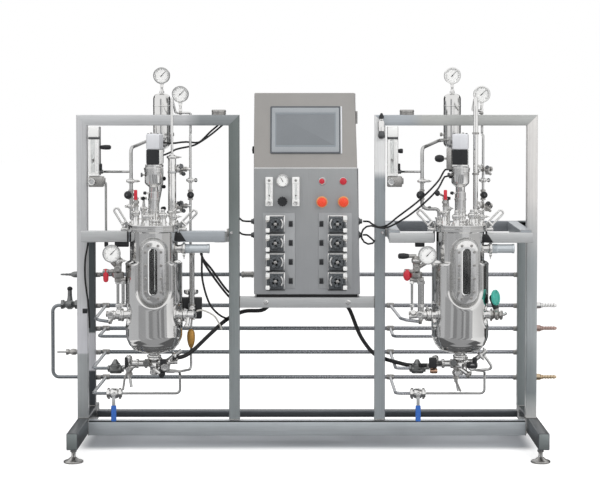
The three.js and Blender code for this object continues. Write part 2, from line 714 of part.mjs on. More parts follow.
function sightFrame(side) {
  const x = side * STATION_X;
  const front = -BOSS_FACE - GAP - SIGHT_FRAME_THICK;
  const plate = slab(obround(SIGHT_FRAME_WIDE, SIGHT_FRAME_TALL), front, -BOSS_FACE - GAP, 5);
  const slot = slab(obround(WINDOW_WIDE, WINDOW_TALL), front - 5, -BOSS_FACE + 5, 5);
  const screwX = (SIGHT_FRAME_WIDE + WINDOW_WIDE) / 4;
  const straight = (SIGHT_FRAME_TALL - SIGHT_FRAME_WIDE) / 2;
  const screws = [];
  for (const way of [-1, 1]) {
    for (const row of [-1, -1 / 3, 1 / 3, 1]) screws.push([way * screwX, row * straight]);
    const endZ = way * (straight + screwX * 0.8);
    screws.push([-screwX / 1.6, endZ], [screwX / 1.6, endZ]);
  }
  const heads = screws.map(([sx, sz]) => rod(v(sx, front + 1, sz), v(sx, front - 3, sz), 4, 4));
  const frame = join(plate.subtract(slot), heads);
  return turnAbout(frame.translate([x, VESSEL_Y, WINDOW_Z]), x, VESSEL_Y, LAYOUT[side].windowTurn);
}

function sightGlass(side) {
  const x = side * STATION_X;
  const wide = WINDOW_WIDE + 2 * GLASS_LAP;
  const tall = WINDOW_TALL + 2 * GLASS_LAP;
  const pane = slab(obround(wide, tall), -BOSS_FACE + GAP, -BOSS_FACE + GAP + GLASS_THICK, 4);
  return turnAbout(pane.translate([x, VESSEL_Y, WINDOW_Z]), x, VESSEL_Y, LAYOUT[side].windowTurn);
}

const DRIVE_FOOT = LID_TOP + SEAT_TALL + GAP;
const COLUMN_TOP = 978;
const BELL_FOOT = 1012;
const BELL_TOP = 1080;
const MOTOR_BODY_TOP = 1136;
const MOTOR_TOP = 1193;
const MOTOR_HALF = 29;
const PLUG_REACH = 42; // motor axis to the face of a cable plug
// Which way each motor plug points, its offset along X and its height.
const PLUG = {
  '-1': [{ out: along.y, dx: 12, z: 1163 }, { out: along.y, dx: 12, z: 1110 }],
  1: [{ out: v(-1, 0, 0), dx: 0, z: 1072 }, { out: v(-1, 0, 0), dx: 0, z: 1046 }],
};

function drive(side) {
  const x = side * STATION_X;
  const y = VESSEL_Y;
  const stack = turned([
    [0, DRIVE_FOOT], [26, DRIVE_FOOT], [26, DRIVE_FOOT + 8], [20, DRIVE_FOOT + 12], [20, COLUMN_TOP],
    [17, COLUMN_TOP + 1], [17, BELL_FOOT - 14], [33, BELL_FOOT], [33, BELL_TOP - 20], [36, BELL_TOP - 18],
    [36, BELL_TOP - 12], [31, BELL_TOP - 10], [31, BELL_TOP + 1], [0, BELL_TOP + 1],
  ], x, y, 12);
  const body = box(x - 28, x + 28, y - 28, y + 28, BELL_TOP, MOTOR_BODY_TOP);
  const cap = box(
    x - MOTOR_HALF, x + MOTOR_HALF, y - MOTOR_HALF, y + MOTOR_HALF, MOTOR_BODY_TOP - 1, MOTOR_TOP,
  );
  const plugs = PLUG[side].map(({ out, dx, z }) => {
    const axis = fromAxis(side, dx, 0, z);
    return rod(axis.clone().addScaledVector(out, 20), axis.clone().addScaledVector(out, PLUG_REACH), 9);
  });
  const clampKnob = rod(fromAxis(side, -16, -8, COLUMN_TOP - 4), fromAxis(side, -34, -12, COLUMN_TOP - 2), 6);
  return join(stack, turnAbout(join(body, cap), x, y, LAYOUT[side].motorTurn), plugs, clampKnob);
}

function agitator(side) {
  const at = (z) => fromAxis(side, 0, 0, z);
  const shaft = rod(at(IMPELLER_Z[0] - 22), at(DRIVE_FOOT - GAP), SHAFT_RADIUS);
  const impellers = IMPELLER_Z.map((z) => {
    const hub = rod(at(z - 9), at(z + 9), 10);
    const bladePairs = [0, 60, 120].map((degrees) =>
      box(-IMPELLER_RADIUS, IMPELLER_RADIUS, -1, 1, z - 7, z + 7)
        .rotate([0, 0, degrees])
        .translate([side * STATION_X, VESSEL_Y, 0]));
    return join(hub, bladePairs);
  });
  return join(shaft, impellers);
}

const CONDENSER_Y = 60;
const CONDENSER_RADIUS = 33;
const CONDENSER_TOP = 1342;
const CONDENSER_FOOT = 1142;
const RETURN_PIPE = 6.5;

function condenser(side) {
  const { condenserX, returnX } = LAYOUT[side];
  const x = side * STATION_X + condenserX;
  const y = CONDENSER_Y;
  const shell = turned([
    [0, CONDENSER_FOOT - 24], [9, CONDENSER_FOOT - 24], [9, CONDENSER_FOOT - 14],
    [CONDENSER_RADIUS, CONDENSER_FOOT + 8], [CONDENSER_RADIUS, CONDENSER_TOP - 20], [27, CONDENSER_TOP - 6],
    [11, CONDENSER_TOP], [9, CONDENSER_TOP + 8], [0, CONDENSER_TOP + 8],
  ], x, y, 12);
  const dial = join(gauge(x, y, 1410), rod(v(x, y, CONDENSER_TOP), v(x, y, 1382), 4.5));
  const port = lidPorts(side)[0];
  const portTop = LID_TOP + port.tall + GAP;
  const down = fromAxis(side, returnX, port.dy, 0);
  const foot = fromAxis(side, port.dx, port.dy, 0);
  const corners = [v(x - 20, y, 1165), v(x - 52, y - 10, 1163), v(down.x, down.y, 1140)];
  if (side < 0) {
    corners.push(v(foot.x, foot.y, 905), v(foot.x, foot.y, portTop));
  } else {
    corners.push(v(down.x, down.y, 915), v(foot.x, foot.y, 915), v(foot.x, foot.y, portTop));
  }
  const rearPort = lidPorts(side)[6];
  const lidPort = fromAxis(side, rearPort.dx, rearPort.dy, LID_TOP + rearPort.tall + GAP);
  const bottomPipe = [
    v(x, y, CONDENSER_FOOT - 16), v(x, y, 1075), v(lidPort.x, lidPort.y + 8, 1055),
    v(lidPort.x, lidPort.y, 1010), lidPort,
  ];
  const fitting = (z) => v(down.x, down.y, z);
  const topOnly = side < 0 ? [clamp(fitting(925), along.z, 12)] : [];
  return join(
    shell, dial, pipe(corners, RETURN_PIPE, 22), pipe(bottomPipe, RETURN_PIPE, 14),
    clamp(fitting(1018), along.z), bar(v(down.x + 14, down.y - 4, 1018), along.x, 22, 4), topOnly,
    bar(fitting(968), along.z, 26, 11), rod(fitting(968), fitting(968).add(v(-4, -22, 0)), 5),
    ball(fitting(968).add(v(-6, -30, 0)), 14),
    bar(v(x, y, CONDENSER_FOOT - 20), along.z, 8, 15),
  );
}

const RISER_TOP = 1326;
const OVER_BAR_Y = 30;
const OVER_BAR_Z = 1268;

function ventLine(side) {
  const port = lidPorts(side)[1];
  const foot = fromAxis(side, port.dx, port.dy, LID_TOP + port.tall + GAP);
  const up = (z) => v(foot.x, foot.y, z);
  const left = side < 0;
  const gaugeX = foot.x + (left ? 18 : 40);
  const downX = left ? fromAxis(side, NOZZLE_REACH + 3, 0, 0).x : foot.x + 44;
  const pieces = [];
  if (left) {
    const overBar = [v(foot.x, OVER_BAR_Y, OVER_BAR_Z), v(downX, OVER_BAR_Y, OVER_BAR_Z)];
    pieces.push(rod(foot, up(1112), 6), rod(up(905), up(1108), 15, 8));
    pieces.push(clamp(up(903), along.z, 19), clamp(up(1106), along.z, 19));
    pieces.push(pipe([up(1108), up(RISER_TOP), ...overBar], 4.6, 12));
  } else {
    pieces.push(pipe([foot, up(RISER_TOP), v(foot.x + 10, OVER_BAR_Y, OVER_BAR_Z + 14)], 10.5, 22, 10));
    pieces.push(clamp(up(905), along.z, 17));
    pieces.push(pipe([
      v(foot.x + 9, OVER_BAR_Y - 5, OVER_BAR_Z + 12), v(gaugeX, OVER_BAR_Y, OVER_BAR_Z + 6),
      v(downX, OVER_BAR_Y, OVER_BAR_Z),
    ], 4.6, 6));
  }
  const downY = foot.y + 22;
  const downFoot = left ? 545 : 880;
  pieces.push(pipe([
    v(downX - 12, OVER_BAR_Y, OVER_BAR_Z), v(downX, OVER_BAR_Y, OVER_BAR_Z), v(downX, OVER_BAR_Y, 1185),
    v(downX + 10, downY, 1185), v(downX + 10, downY, downFoot),
  ], 4.6, 12));
  pieces.push(gauge(gaugeX, OVER_BAR_Y, 1339));
  pieces.push(rod(v(gaugeX, OVER_BAR_Y, OVER_BAR_Z), v(gaugeX, OVER_BAR_Y, 1312), 5));
  const line = (z) => v(downX + 10, downY, z);
  for (const z of [1061, 925]) {
    const middle = up(z).add(line(z)).multiplyScalar(0.5);
    pieces.push(rod(up(z), line(z), 7), rod(middle, middle.clone().add(v(0, -26, 16)), 9, 6, 13));
  }
  pieces.push(clamp(line(1020), along.z), bar(line(1020).add(v(16, 0, 0)), along.x, 16, 6));
  pieces.push(bar(line(966), along.z, 24, 10), ball(line(966).add(v(2, -22, 0)), 13));
  pieces.push(rod(line(966), line(966).add(v(2, -16, 0)), 5));
  if (left) pieces.push(...lowerRightLine(side, line));
  return join(pieces);
}

const SAMPLE_END = 74; // where the sampling line meets the bottom cluster
const SAMPLE_DY = 6;

// The left station's sampling line: wide tube, nozzle valve, solenoid, strainer and the bend to the cluster.
function lowerRightLine(side, line) {
  const axis = fromAxis(side, 0, 0, NOZZLE_Z);
  const out = nozzleDirection(1);
  const at = (reach) => axis.clone().addScaledVector(out, reach);
  const sampleEnd = (away) => fromAxis(side, SAMPLE_END + away, SAMPLE_DY, 316);
  const { x, y } = line(0);
  const valveEnd = at(NOZZLE_REACH + 42);
  return [
    rod(v(x, y, 545), v(x, y, 752), 7.5),
    rod(at(NOZZLE_REACH + GAP), valveEnd, 20, 8, 14),
    rod(at(NOZZLE_REACH + 18), at(NOZZLE_REACH + 18).add(v(-6, -20, -34)), 9),
    rod(at(NOZZLE_REACH + 32), v(x, y, 545), 9),
    bar(v(x, y, 543), along.z, 26, 12),
    rod(v(x, y, 540), v(x - 6, y, 468), 4),
    rod(v(x - 6, y, 472), v(x - 6, y, 408), 11),
    pipe([v(x - 6, y, 412), v(x - 6, y, 316), sampleEnd(20), sampleEnd(0)], 4.6, 14),
    box(x - 34, x + 34, y + 16, y + 62, 519, 590),
    rod(v(x, y + 38, 588), v(x, y + 38, 622), 24, 8),
    rod(v(x, y + 2, 548), v(x, y + 20, 548), 8),
  ];
}

const ROTAMETER = {
  wide: 42, frontY: -44, backY: 4, foot: 1031, blockFoot: 990,
  top: STAND_HEIGHT - TUBE - 5, // just under the top bar
};

function rotameter(side) {
  const x0 = LAYOUT[side].rotameterFace;
  const x1 = x0 + ROTAMETER.wide;
  const { frontY, backY, foot, top, blockFoot } = ROTAMETER;
  const middle = (x0 + x1) / 2;
  const column = box(x0, x1, frontY, backY, foot, top);
  const block = box(x0, x1 + 16, frontY + 4, backY, blockFoot, foot + 1);
  const knobSeat = rod(v(middle, frontY + 6, blockFoot + 20), v(middle, frontY - 4, blockFoot + 20), 9);
  const { returnX } = LAYOUT[side];
  const target = fromAxis(side, returnX, 24, 1047);
  const reach = v(target.x - RETURN_PIPE - GAP - 1, target.y, 1047);
  const crossing = [v(x1 - 6, -20, 1047), v(x1 + 20, -20, 1047), v(reach.x - 20, reach.y, 1047), reach];
  const crossPipe = pipe(crossing, 4.6, 10);
  const downX = x1 + 24;
  const lower = LOWER_GAUGE[side];
  const dial = fromAxis(side, -NOZZLE_REACH - lower.away, lower.dy + GAUGE_DEEP / 2 + GAP, lower.z);
  const downPipe = pipe([
    v(x1 + 10, -20, 1008), v(downX, -20, 1008), v(downX, -20, 900), v(downX, -110, 860), v(downX, -110, 778),
    v(dial.x, -130, dial.z), dial,
  ], 5.5, 10);
  const sideKnob = rod(v(x1 - 4, -20, 1139), v(x1 + (side < 0 ? 44 : 20), -20, 1139), 9);
  return join(column, block, knobSeat, crossPipe, side < 0 ? [downPipe] : [], sideKnob);
}

const MANIFOLD_DY = -35;
// Along X, what hangs on a vessel's left nozzle is placed by its distance outwards from the nozzle's face.
const LOWER_GAUGE = {
  '-1': { away: 36, dy: -52, z: 752, radius: 33 },
  1: { away: 1, dy: -52, z: 750, radius: 35 },
};
const TWIN_TUBES = {
  '-1': [{ away: 11, radius: 5.5 }, { away: -8, radius: 6 }],
  1: [{ away: 61, radius: 4.6 }, { away: 28, radius: 11 }],
};

// The gauge, lever valve, twin tubes and nozzle valve at the left of a vessel.
function sideManifold(side) {
  const at = (away, z, dy = MANIFOLD_DY) => fromAxis(side, -NOZZLE_REACH - away, dy, z);
  const axis = fromAxis(side, 0, 0, NOZZLE_Z);
  const out = nozzleDirection(-1);
  const onNozzle = (reach) => axis.clone().addScaledVector(out, reach);
  const left = side < 0;
  const dial = LOWER_GAUGE[side];
  const body = left ? 10 : 45;
  const [tubeA, tubeB] = TWIN_TUBES[side];
  const pieces = [
    bar(at(dial.away, dial.z, dial.dy), along.y, GAUGE_DEEP, dial.radius, 12),
    rod(at(dial.away, 725, -50), at(body, 700), 8),
    rod(at(body, 652), at(body, 745), 13),
    rod(at(body, 668), at(body, 688), 22),
    rod(at(body, 722), at(body, 738), 18),
    rod(at(body, 700), at(body, 704, MANIFOLD_DY + 30), 11),
    rod(at(Math.max(tubeA.away, body) + 8, 660), at(Math.min(tubeB.away, body) - 10, 660), 10),
    rod(at(tubeA.away, 662), at(tubeA.away, 545), tubeA.radius),
    pipe([at(tubeB.away, 662), at(tubeB.away, 576), at(left ? 16 : tubeB.away + 1, 540)], tubeB.radius, 12),
    rod(onNozzle(NOZZLE_REACH + GAP), onNozzle(NOZZLE_REACH + 34), 22, 8, 16),
    rod(onNozzle(NOZZLE_REACH + 22), at(left ? 48 : 72, 524), 10),
    diaphragmValve(at(34, 534), along.x, v(0, -1, 0), 0.9),
  ];
  const end = MANIFOLD_END[side];
  const joint = end.clone().add(v(GAP, 0, 0));
  pieces.push(rod(joint, joint.clone().add(v(12, 0, 0)), 9));
  pieces.push(rod(joint.clone().add(v(8, 0, 0)), at(left ? 28 : 24, 526), 6));
  pieces.push(rod(at(body, 690), at(STEAM_PIVOT[side] - LEVER_HUB - GAP, 690), 7));
  if (!left) {
    pieces.push(rod(at(body, 746), at(74, 746), 8), rod(at(72, 746), at(112, 746), 11));
    pieces.push(rod(at(body, 740), at(body, 750), 10));
  }
  return join(pieces);
}

const LEVER_HUB = 10; // half the length of a grip's hub along its axle
const STEAM_PIVOT = { '-1': 58, 1: 80 }; // outwards from the nozzle's face

// A grip hanging below its hub on an axle along X.
function steamHandle(side) {
  const hub = fromAxis(side, -NOZZLE_REACH - STEAM_PIVOT[side], MANIFOLD_DY, 690);
  return join(bar(hub, along.x, 2 * LEVER_HUB, 9), rod(hub, hub.clone().add(v(0, 0, -40)), 9.5));
}

const VENT_VALVE = { dx: -60, dy: -46, z: 938 };

function ventHandle(side) {
  const hub = fromAxis(side, VENT_VALVE.dx, VENT_VALVE.dy - 18, VENT_VALVE.z + 6);
  return join(
    bar(hub, along.y, 8, 7),
    box(hub.x - 5, hub.x + 5, hub.y - 4, hub.y + 3, hub.z, hub.z + 46),
  );
}

// The small valve that carries the red lever, on its port on the lid.
function ventValve(side) {
  const port = lidPorts(side)[2];
  const foot = fromAxis(side, port.dx, port.dy, LID_TOP + port.tall - 1);
  const hub = fromAxis(side, VENT_VALVE.dx, VENT_VALVE.dy, VENT_VALVE.z + 6);
  return join(
    rod(foot, v(foot.x, foot.y, hub.z + 12), 8),
    rod(v(foot.x, foot.y, hub.z - 14), v(foot.x, foot.y, hub.z + 10), 12),
    rod(hub, v(hub.x, hub.y - 14 + GAP, hub.z), 6),
  );
}

const DRAIN_VALVE_LONG = 58;
const DRAIN_STEM = 24;
const LEVER_LONG = 104;

function drainHub(side) {
  return v(VALVE_X[side] + DRAIN_VALVE_LONG / 2, TRAP_Y - DRAIN_STEM - 4, DRAIN_Z);
}

function drainHandle(side) {
  const hub = drainHub(side);
  return join(
    bar(hub, along.y, 8, 9),
    box(hub.x - 6, hub.x + 6, hub.y - 3, hub.y + 3, hub.z - 30, hub.z),
    box(hub.x - 9, hub.x + 9, hub.y - 6, hub.y + 6, hub.z - LEVER_LONG, hub.z - 26),
  );
}

const HARVEST_HUB_HALF = 5;
const HARVEST_HUB = { '-1': { dx: -92, z: 330 }, 1: { dx: -14, z: 316 } };

function harvestHandle(side) {
  const { dx, z } = HARVEST_HUB[side];
  const hub = fromAxis(side, dx, -46, z);
  const tip = side < 0 ? v(-18, 0, -70) : v(12, 0, -62);
  const elbow = tip.clone().multiplyScalar(0.35);
  return join(
    bar(hub, along.y, 2 * HARVEST_HUB_HALF, 9),
    rod(hub, hub.clone().add(elbow), 4.5),
    rod(hub.clone().add(elbow), hub.clone().add(tip), 4.5),
    ball(hub.clone().add(tip), 5),
  );
}

// Where each hose is pushed on: its distance from the vessel's axis and its height.
const HOSE_PORT = { '-1': { dx: 86, z: 352 }, 1: { dx: -122, z: 340 } };

// Below the vessel: bottom valve, its arms and actuators, steam trap, drain valve and their pipes.
function drainLine(side) {
  const left = side < 0;
  const at = (dx, z, dy = 0) => fromAxis(side, dx, dy, z);
  const trap = (dx, z = STEAM_Z) => v(TRAP_X[side] + dx, TRAP_Y, z);
  const valve = (dx) => v(VALVE_X[side] + dx, TRAP_Y, DRAIN_Z);
  const hub = drainHub(side);
  const harvest = HARVEST_HUB[side];
  const top = OUTLET_FACE - GAP;
  const riseX = left ? 90 : 82;
  const pieces = [
    rod(at(0, top), at(0, 306), 24, 8, 15),
    rod(at(0, 346), at(-100, 346), 14),
    rod(at(-92, 350, -8), at(-92, 376, -22), 13),
    rod(at(0, 350), at(62, 354), 13),
    rod(at(42, 346, -6), at(42, 338, -38), 14),
    rod(at(50, 356), at(100, 394), 11),
    rod(at(-26, 352, -4), at(-26, 354, -40), 12),
    rod(at(0, 330, -8), at(26, 312, -24), 11),
    // harvest valve
    rod(at(harvest.dx, harvest.z, 0), at(harvest.dx, harvest.z, -46 + HARVEST_HUB_HALF + GAP), 8),
    rod(at(harvest.dx, harvest.z + 20), at(harvest.dx, harvest.z - 26), 14),
    rod(at(harvest.dx, harvest.z), at(left ? -60 : 0, 340), 10, 5),
    // steam trap
    rod(trap(GAP), trap(60), 18),
    rod(trap(30), trap(30, STEAM_Z + 34), 20, 6, 6),
    pipe([trap(56), trap(84), at(-120, 328, 10), at(-90, 340, 0)], 5.5, 8),
    // drain valve
    rod(valve(GAP), valve(DRAIN_VALVE_LONG), 14),
    rod(valve(2), valve(10), 22),
    rod(valve(DRAIN_VALVE_LONG - 10), valve(DRAIN_VALVE_LONG - 2), 22),
    rod(v(hub.x, TRAP_Y, DRAIN_Z), v(hub.x, hub.y + 4 + GAP, DRAIN_Z), 9),
    // drain pipe to the rise and the U-bend
    pipe([
      valve(DRAIN_VALVE_LONG - 4), v(at(riseX, 0).x, TRAP_Y, DRAIN_Z), v(at(riseX, 0).x, TRAP_Y, 300),
      at(riseX - 4, 312, 40), at(left ? 52 : 60, 318, 20), at(40, 338, 0),
    ], 4.6, 16),
  ];
  if (left) {
    pieces.push(pipe([at(20, 330, 0), at(46, 316, SAMPLE_DY), at(SAMPLE_END - GAP, 316, SAMPLE_DY)], 6, 8));
    pieces.push(rod(at(40, 352, -4), at(HOSE_PORT[side].dx, HOSE_PORT[side].z, -4), 9));
  } else {
    pieces.push(pipe([at(62, 318, 20), at(112, 330, 10), at(84, 372, 4), at(92, 400, 8)], 5, 12));
    pieces.push(rod(at(-96, 340, -4), at(HOSE_PORT[side].dx, 340, -4), 10));
  }
  return join(pieces);
}

const KNOB_DEEP = 16;

function rotameterKnob(side) {
  const x = LAYOUT[side].rotameterFace + ROTAMETER.wide / 2;
  const y = ROTAMETER.frontY - 4 - GAP;
  const z = ROTAMETER.blockFoot + 20;
  return rod(v(x, y, z), v(x, y - KNOB_DEEP, z), 14, 8);
}

for (const side of STATIONS) {
  const { name } = LAYOUT[side];
  addNode(`${name}_vessel`, vessel(side), polishedSteel);
  addNode(`${name}_lid`, join(lid(side), ventValve(side)), polishedSteel);
  addNode(`${name}_sight_frame`, sightFrame(side), brushedSteel);
  addNode(`${name}_sight_glass`, sightGlass(side), glass);
  addNode(`${name}_drive`, drive(side), brushedSteel);
  addNode(`${name}_agitator`, agitator(side), polishedSteel);
  addNode(`${name}_condenser`, condenser(side), polishedSteel);
  addNode(`${name}_vent_line`, ventLine(side), polishedSteel);
  addNode(`${name}_rotameter`, rotameter(side), glass);
  addNode(`${name}_rotameter_knob`, rotameterKnob(side), brushedSteel);
  addNode(`${name}_side_manifold`, sideManifold(side), polishedSteel);
  addNode(`${name}_drain_line`, drainLine(side), polishedSteel);
  addNode(`${name}_vent_handle`, ventHandle(side), redPlastic);
  addNode(`${name}_steam_handle`, steamHandle(side), redPlastic);
  addNode(`${name}_drain_handle`, drainHandle(side), bluePlastic);
  addNode(`${name}_harvest_handle`, harvestHandle(side), polishedSteel);
}

// ---------------------------------------------------------------- cabinet

const HALF_CABINET = CABINET_WIDE / 2;
const PLINTH_INSET = 10;

// Turns an outline drawn in Y and Z into a solid between two places along X.
function acrossSolid(points, x0, x1) {
  const shape = new THREE.Shape(points.map(([y, z]) => new THREE.Vector2(y, z)));
  const geometry = new THREE.ExtrudeGeometry(shape, { depth: x1 - x0, bevelEnabled: false });
  geometry.applyMatrix4(new THREE.Matrix4().makeBasis(along.y, along.z, along.x));
  return solid(geometry.translate(x0, 0, 0));
}

// Moves a piece drawn against the plane y = 0, with z = 0 at the fold, onto the sloping front.
function onSlope(piece) {
  const lean = THREE.MathUtils.radToDeg(CABINET_LEAN);
  return piece.rotate([-lean, 0, 0]).translate([0, CABINET_FRONT_Y, CABINET_FOLD]);
}

// The side view of the cabinet, drawn in by a wall on every side.
function cabinetOutline(wall) {
  const front = CABINET_FRONT_Y + wall;
  const top = CABINET_TOP - wall;
  const sine = Math.sin(CABINET_LEAN);
  const cosine = Math.cos(CABINET_LEAN);
  const slopeY = (z) => CABINET_FRONT_Y + (wall + (z - CABINET_FOLD) * sine) / cosine;
  const fold = CABINET_FOLD + (wall * (cosine - 1)) / sine;
  return [
    [front, CABINET_BOTTOM + wall], [CABINET_BACK_Y - wall, CABINET_BOTTOM + wall],
    [CABINET_BACK_Y - wall, top],
    [slopeY(top), top], [front, fold],
  ];
}

const SCREEN = { x: -6, wide: 266, foot: 55, top: 241, rim: 5, bodyInset: 9, deep: 34 };
const E_STOP = { z: 934, radius: 21, x: [56, 137], stem: 7, travel: 6, collar: 24 };
const REGULATOR = { x: -92, z: 937, radius: 18, deep: 22 };
const PILOT_LAMPS = [{ x: 58, z: 1012 }, { x: 136, z: 1012 }];
const PANEL_TUBES = [-142, -42]; // centres of the two small rotameters
const GLAND_Z = [863, 810];
const GLAND_Y = 60;
const GLAND_REACH = 14;

// A round thing standing on the lower front, between two distances out of it.
function onFront(x, z, near, far, radius, sides = 8) {
  return rod(v(x, CABINET_FRONT_Y - near, z), v(x, CABINET_FRONT_Y - far, z), radius, sides);
}

function cabinetShell() {
  const shell = acrossSolid(cabinetOutline(0), -HALF_CABINET, HALF_CABINET);
  const hollow = acrossSolid(cabinetOutline(SHEET), -HALF_CABINET + SHEET, HALF_CABINET - SHEET);
  const doorEdge = HALF_CABINET - DOOR_MARGIN - 8;
  const doorway = box(
    -doorEdge, doorEdge, CABINET_BACK_Y - 10, CABINET_BACK_Y + 5, DOOR_BOTTOM + 8, CABINET_TOP - 18,
  );
  const half = SCREEN.wide / 2 - SCREEN.bodyInset + GAP;
  const screenHole = onSlope(box(
    SCREEN.x - half, SCREEN.x + half, -5, SHEET + 5,
    SCREEN.foot + SCREEN.bodyInset - GAP, SCREEN.top - SCREEN.bodyInset + GAP,
  ));
  const stemHoles = E_STOP.x.map((x) => onFront(x, E_STOP.z, 10, -10, E_STOP.stem + 0.5));
  const fittings = [
    E_STOP.x.map((x) => onFront(x, E_STOP.z, -1, 4, E_STOP.collar, 10)),
    PILOT_LAMPS.map(({ x, z }) => onFront(x, z, -1, 7, 15)),
    PANEL_TUBES.map((x) => box(x - 14, x + 14, CABINET_FRONT_Y - 18, CABINET_FRONT_Y + 1, 919, 1028)),
    onFront(REGULATOR.x, 1014, -1, 12, 24, 12),
    onFront(REGULATOR.x, REGULATOR.z, -1, 8, 8),
    [-1, 1].flatMap((side) => GLAND_Z.map((z) =>
      rod(v(side * (HALF_CABINET - 1), GLAND_Y, z), v(side * (HALF_CABINET + GLAND_REACH), GLAND_Y, z), 9))),
    box(-HALF_CABINET - 7, -HALF_CABINET + 1, 10, 28, 1114, 1142),
  ];
  const plinth = box(
    -HALF_CABINET + PLINTH_INSET, HALF_CABINET - PLINTH_INSET,
    CABINET_FRONT_Y + 15, SHELF_BACK_Y, SHELF_TOP + GAP, CABINET_BOTTOM + 1,
  );
  return join(shell, fittings.flat(), plinth).subtract(join(hollow, doorway, screenHole, stemHoles));
}

const HINGE_RADIUS = 4;

function cabinetDoor() {
  const edge = HALF_CABINET - DOOR_MARGIN;
  const inner = CABINET_BACK_Y + GAP;
  const hingeX = edge + HINGE_RADIUS;
  const hingeY = inner + HINGE_RADIUS + GAP;
  return join(
    box(-edge, edge, inner, inner + SHEET, DOOR_BOTTOM, CABINET_TOP - 10),
    [DOOR_BOTTOM + 80, CABINET_TOP - 120].map((z) =>
      rod(v(hingeX, hingeY, z), v(hingeX, hingeY, z + 50), HINGE_RADIUS + 0.6, 12)),
    box(-edge + 20, -edge + 34, inner + 1, inner + 16, 960, 1010),
  );
}

function touchScreen() {
  const half = SCREEN.wide / 2;
  const inset = SCREEN.bodyInset;
  return onSlope(join(
    box(SCREEN.x - half, SCREEN.x + half, -SCREEN.rim - GAP, -GAP, SCREEN.foot, SCREEN.top),
    box(
      SCREEN.x - half + inset, SCREEN.x + half - inset,
      -1, SCREEN.deep, SCREEN.foot + inset, SCREEN.top - inset,
    ),
  ));
}

const PUMP = { wide: 72, tall: 64, deep: 34, pitch: 71.7, top: 852, count: 4 };
const BANK = { foot: 607.6, top: 893, thick: 3 };
const BANKS = {
  left: { x0: -167, x1: -45, pumpX: -118.6, switchX: -61 },
  right: { x0: 43, x1: 169, pumpX: 114, switchX: 54 },
};

function pumpBank({ x0, x1, pumpX, switchX }) {
  const face = CABINET_FRONT_Y - GAP;
  const front = face - BANK.thick;
  const pieces = [box(x0, x1, front, face, BANK.foot, BANK.top)];
  for (let i = 0; i < PUMP.count; i++) {
    const z = PUMP.top - i * PUMP.pitch;
    pieces.push(box(
      pumpX - PUMP.wide / 2, pumpX + PUMP.wide / 2, front - PUMP.deep, front + 1,
      z - PUMP.tall / 2, z + PUMP.tall / 2,
    ));
    pieces.push(box(switchX - 8, switchX + 8, front - 6, front + 1, z - 14, z + 14));
  }
  return join(pieces);
}

function eStop(x) {
  const { z, radius, stem, travel, collar } = E_STOP;
  const back = 4 + travel + 4;
  return join(
    onFront(x, z, back, back + 14, radius, 12),
    onFront(x, z, back + 1, -SHEET - 12, stem),
  );
}

function regulatorKnob() {
  const near = 8 + GAP;
  return onFront(REGULATOR.x, REGULATOR.z, near, near + REGULATOR.deep, REGULATOR.radius, 12);
}

addNode('cabinet_shell', cabinetShell(), cabinetSteel);
addNode('cabinet_door', cabinetDoor(), cabinetSteel);
addNode('touch_screen', touchScreen(), screenGrey);
addNode('pump_bank_left', pumpBank(BANKS.left), darkSteel);
addNode('pump_bank_right', pumpBank(BANKS.right), darkSteel);
addNode('e_stop_left', eStop(E_STOP.x[0]), redPlastic);
addNode('e_stop_right', eStop(E_STOP.x[1]), redPlastic);
addNode('regulator_knob', regulatorKnob(), blackPlastic);

// ---------------------------------------------------------------- cables and hoses

const CABLE_RADIUS = 3.5;
const HOSE_RADIUS = 7.5;

// A flexible line through points chosen along its route, with a ring every three diameters.
function flexible(points, radius) {
  const curve = new THREE.CatmullRomCurve3(points, false, 'centripetal');
  const steps = Math.max(4, Math.round(curve.getLength() / (6 * radius)));
  const settings = { steps, extrudePath: curve, bevelEnabled: false };
  return solid(new THREE.ExtrudeGeometry(ring(radius, 8), settings));
}

// The face of a motor plug or a cabinet gland, with the clearance before it.
function plugFace(side, index, away = 0) {
  const { out, dx, z } = PLUG[side][index];
  return fromAxis(side, dx, 0, z).addScaledVector(out, PLUG_REACH + GAP + away);
}

function glandFace(side, index, away = 0) {
  return v(side * (HALF_CABINET + GLAND_REACH + GAP + away), GLAND_Y, GLAND_Z[index]);
}

const CABLES = {
  cable_left_upper: [
    glandFace(-1, 0), glandFace(-1, 0, 12),
    v(-258, 34, 900), v(-270, 21, 960), v(-270, 21, 1080), v(-276, 21, 1180),
    v(-300, 25, 1206), v(-335, 20, 1204), v(-385, -50, 1170), v(-440, -104, 1156), v(-505, -112, 1160),
    plugFace(-1, 0, 14), plugFace(-1, 0),
  ],
  cable_left_lower: [
    glandFace(-1, 1), glandFace(-1, 1, 12),
    v(-262, 36, 850), v(-286, 21, 940), v(-286, 21, 1080), v(-292, 22, 1160),
    v(-318, 34, 1190), v(-350, 24, 1186), v(-400, -50, 1150), v(-450, -104, 1134), v(-505, -112, 1116),
    plugFace(-1, 1, 14), plugFace(-1, 1),
  ],
  cable_right_upper: [
    glandFace(1, 0), glandFace(1, 0, 10),
    v(238, -10, 852), v(258, -50, 850), v(300, -70, 864), v(350, -130, 900),
    v(424, -209, 966), v(480, -212, 1020), plugFace(1, 0, 16), plugFace(1, 0),
  ],
  cable_right_lower: [
    glandFace(1, 1), glandFace(1, 1, 10),
    v(236, -10, 806), v(256, -64, 824), v(298, -88, 845), v(350, -140, 868),
    v(424, -204, 920), v(484, -214, 988), plugFace(1, 1, 16), plugFace(1, 1),
  ],
};

// Where a hose leaves the cabinet's plinth, and where it is pushed on below a vessel.
function plinthFace(x, away = 0) {
  return v(x, 100, SHELF_TOP - away);
}

function hosePort(side, away = 0) {
  const { dx, z } = HOSE_PORT[side];
  return fromAxis(side, dx - side * (GAP + away), -4, z);
}

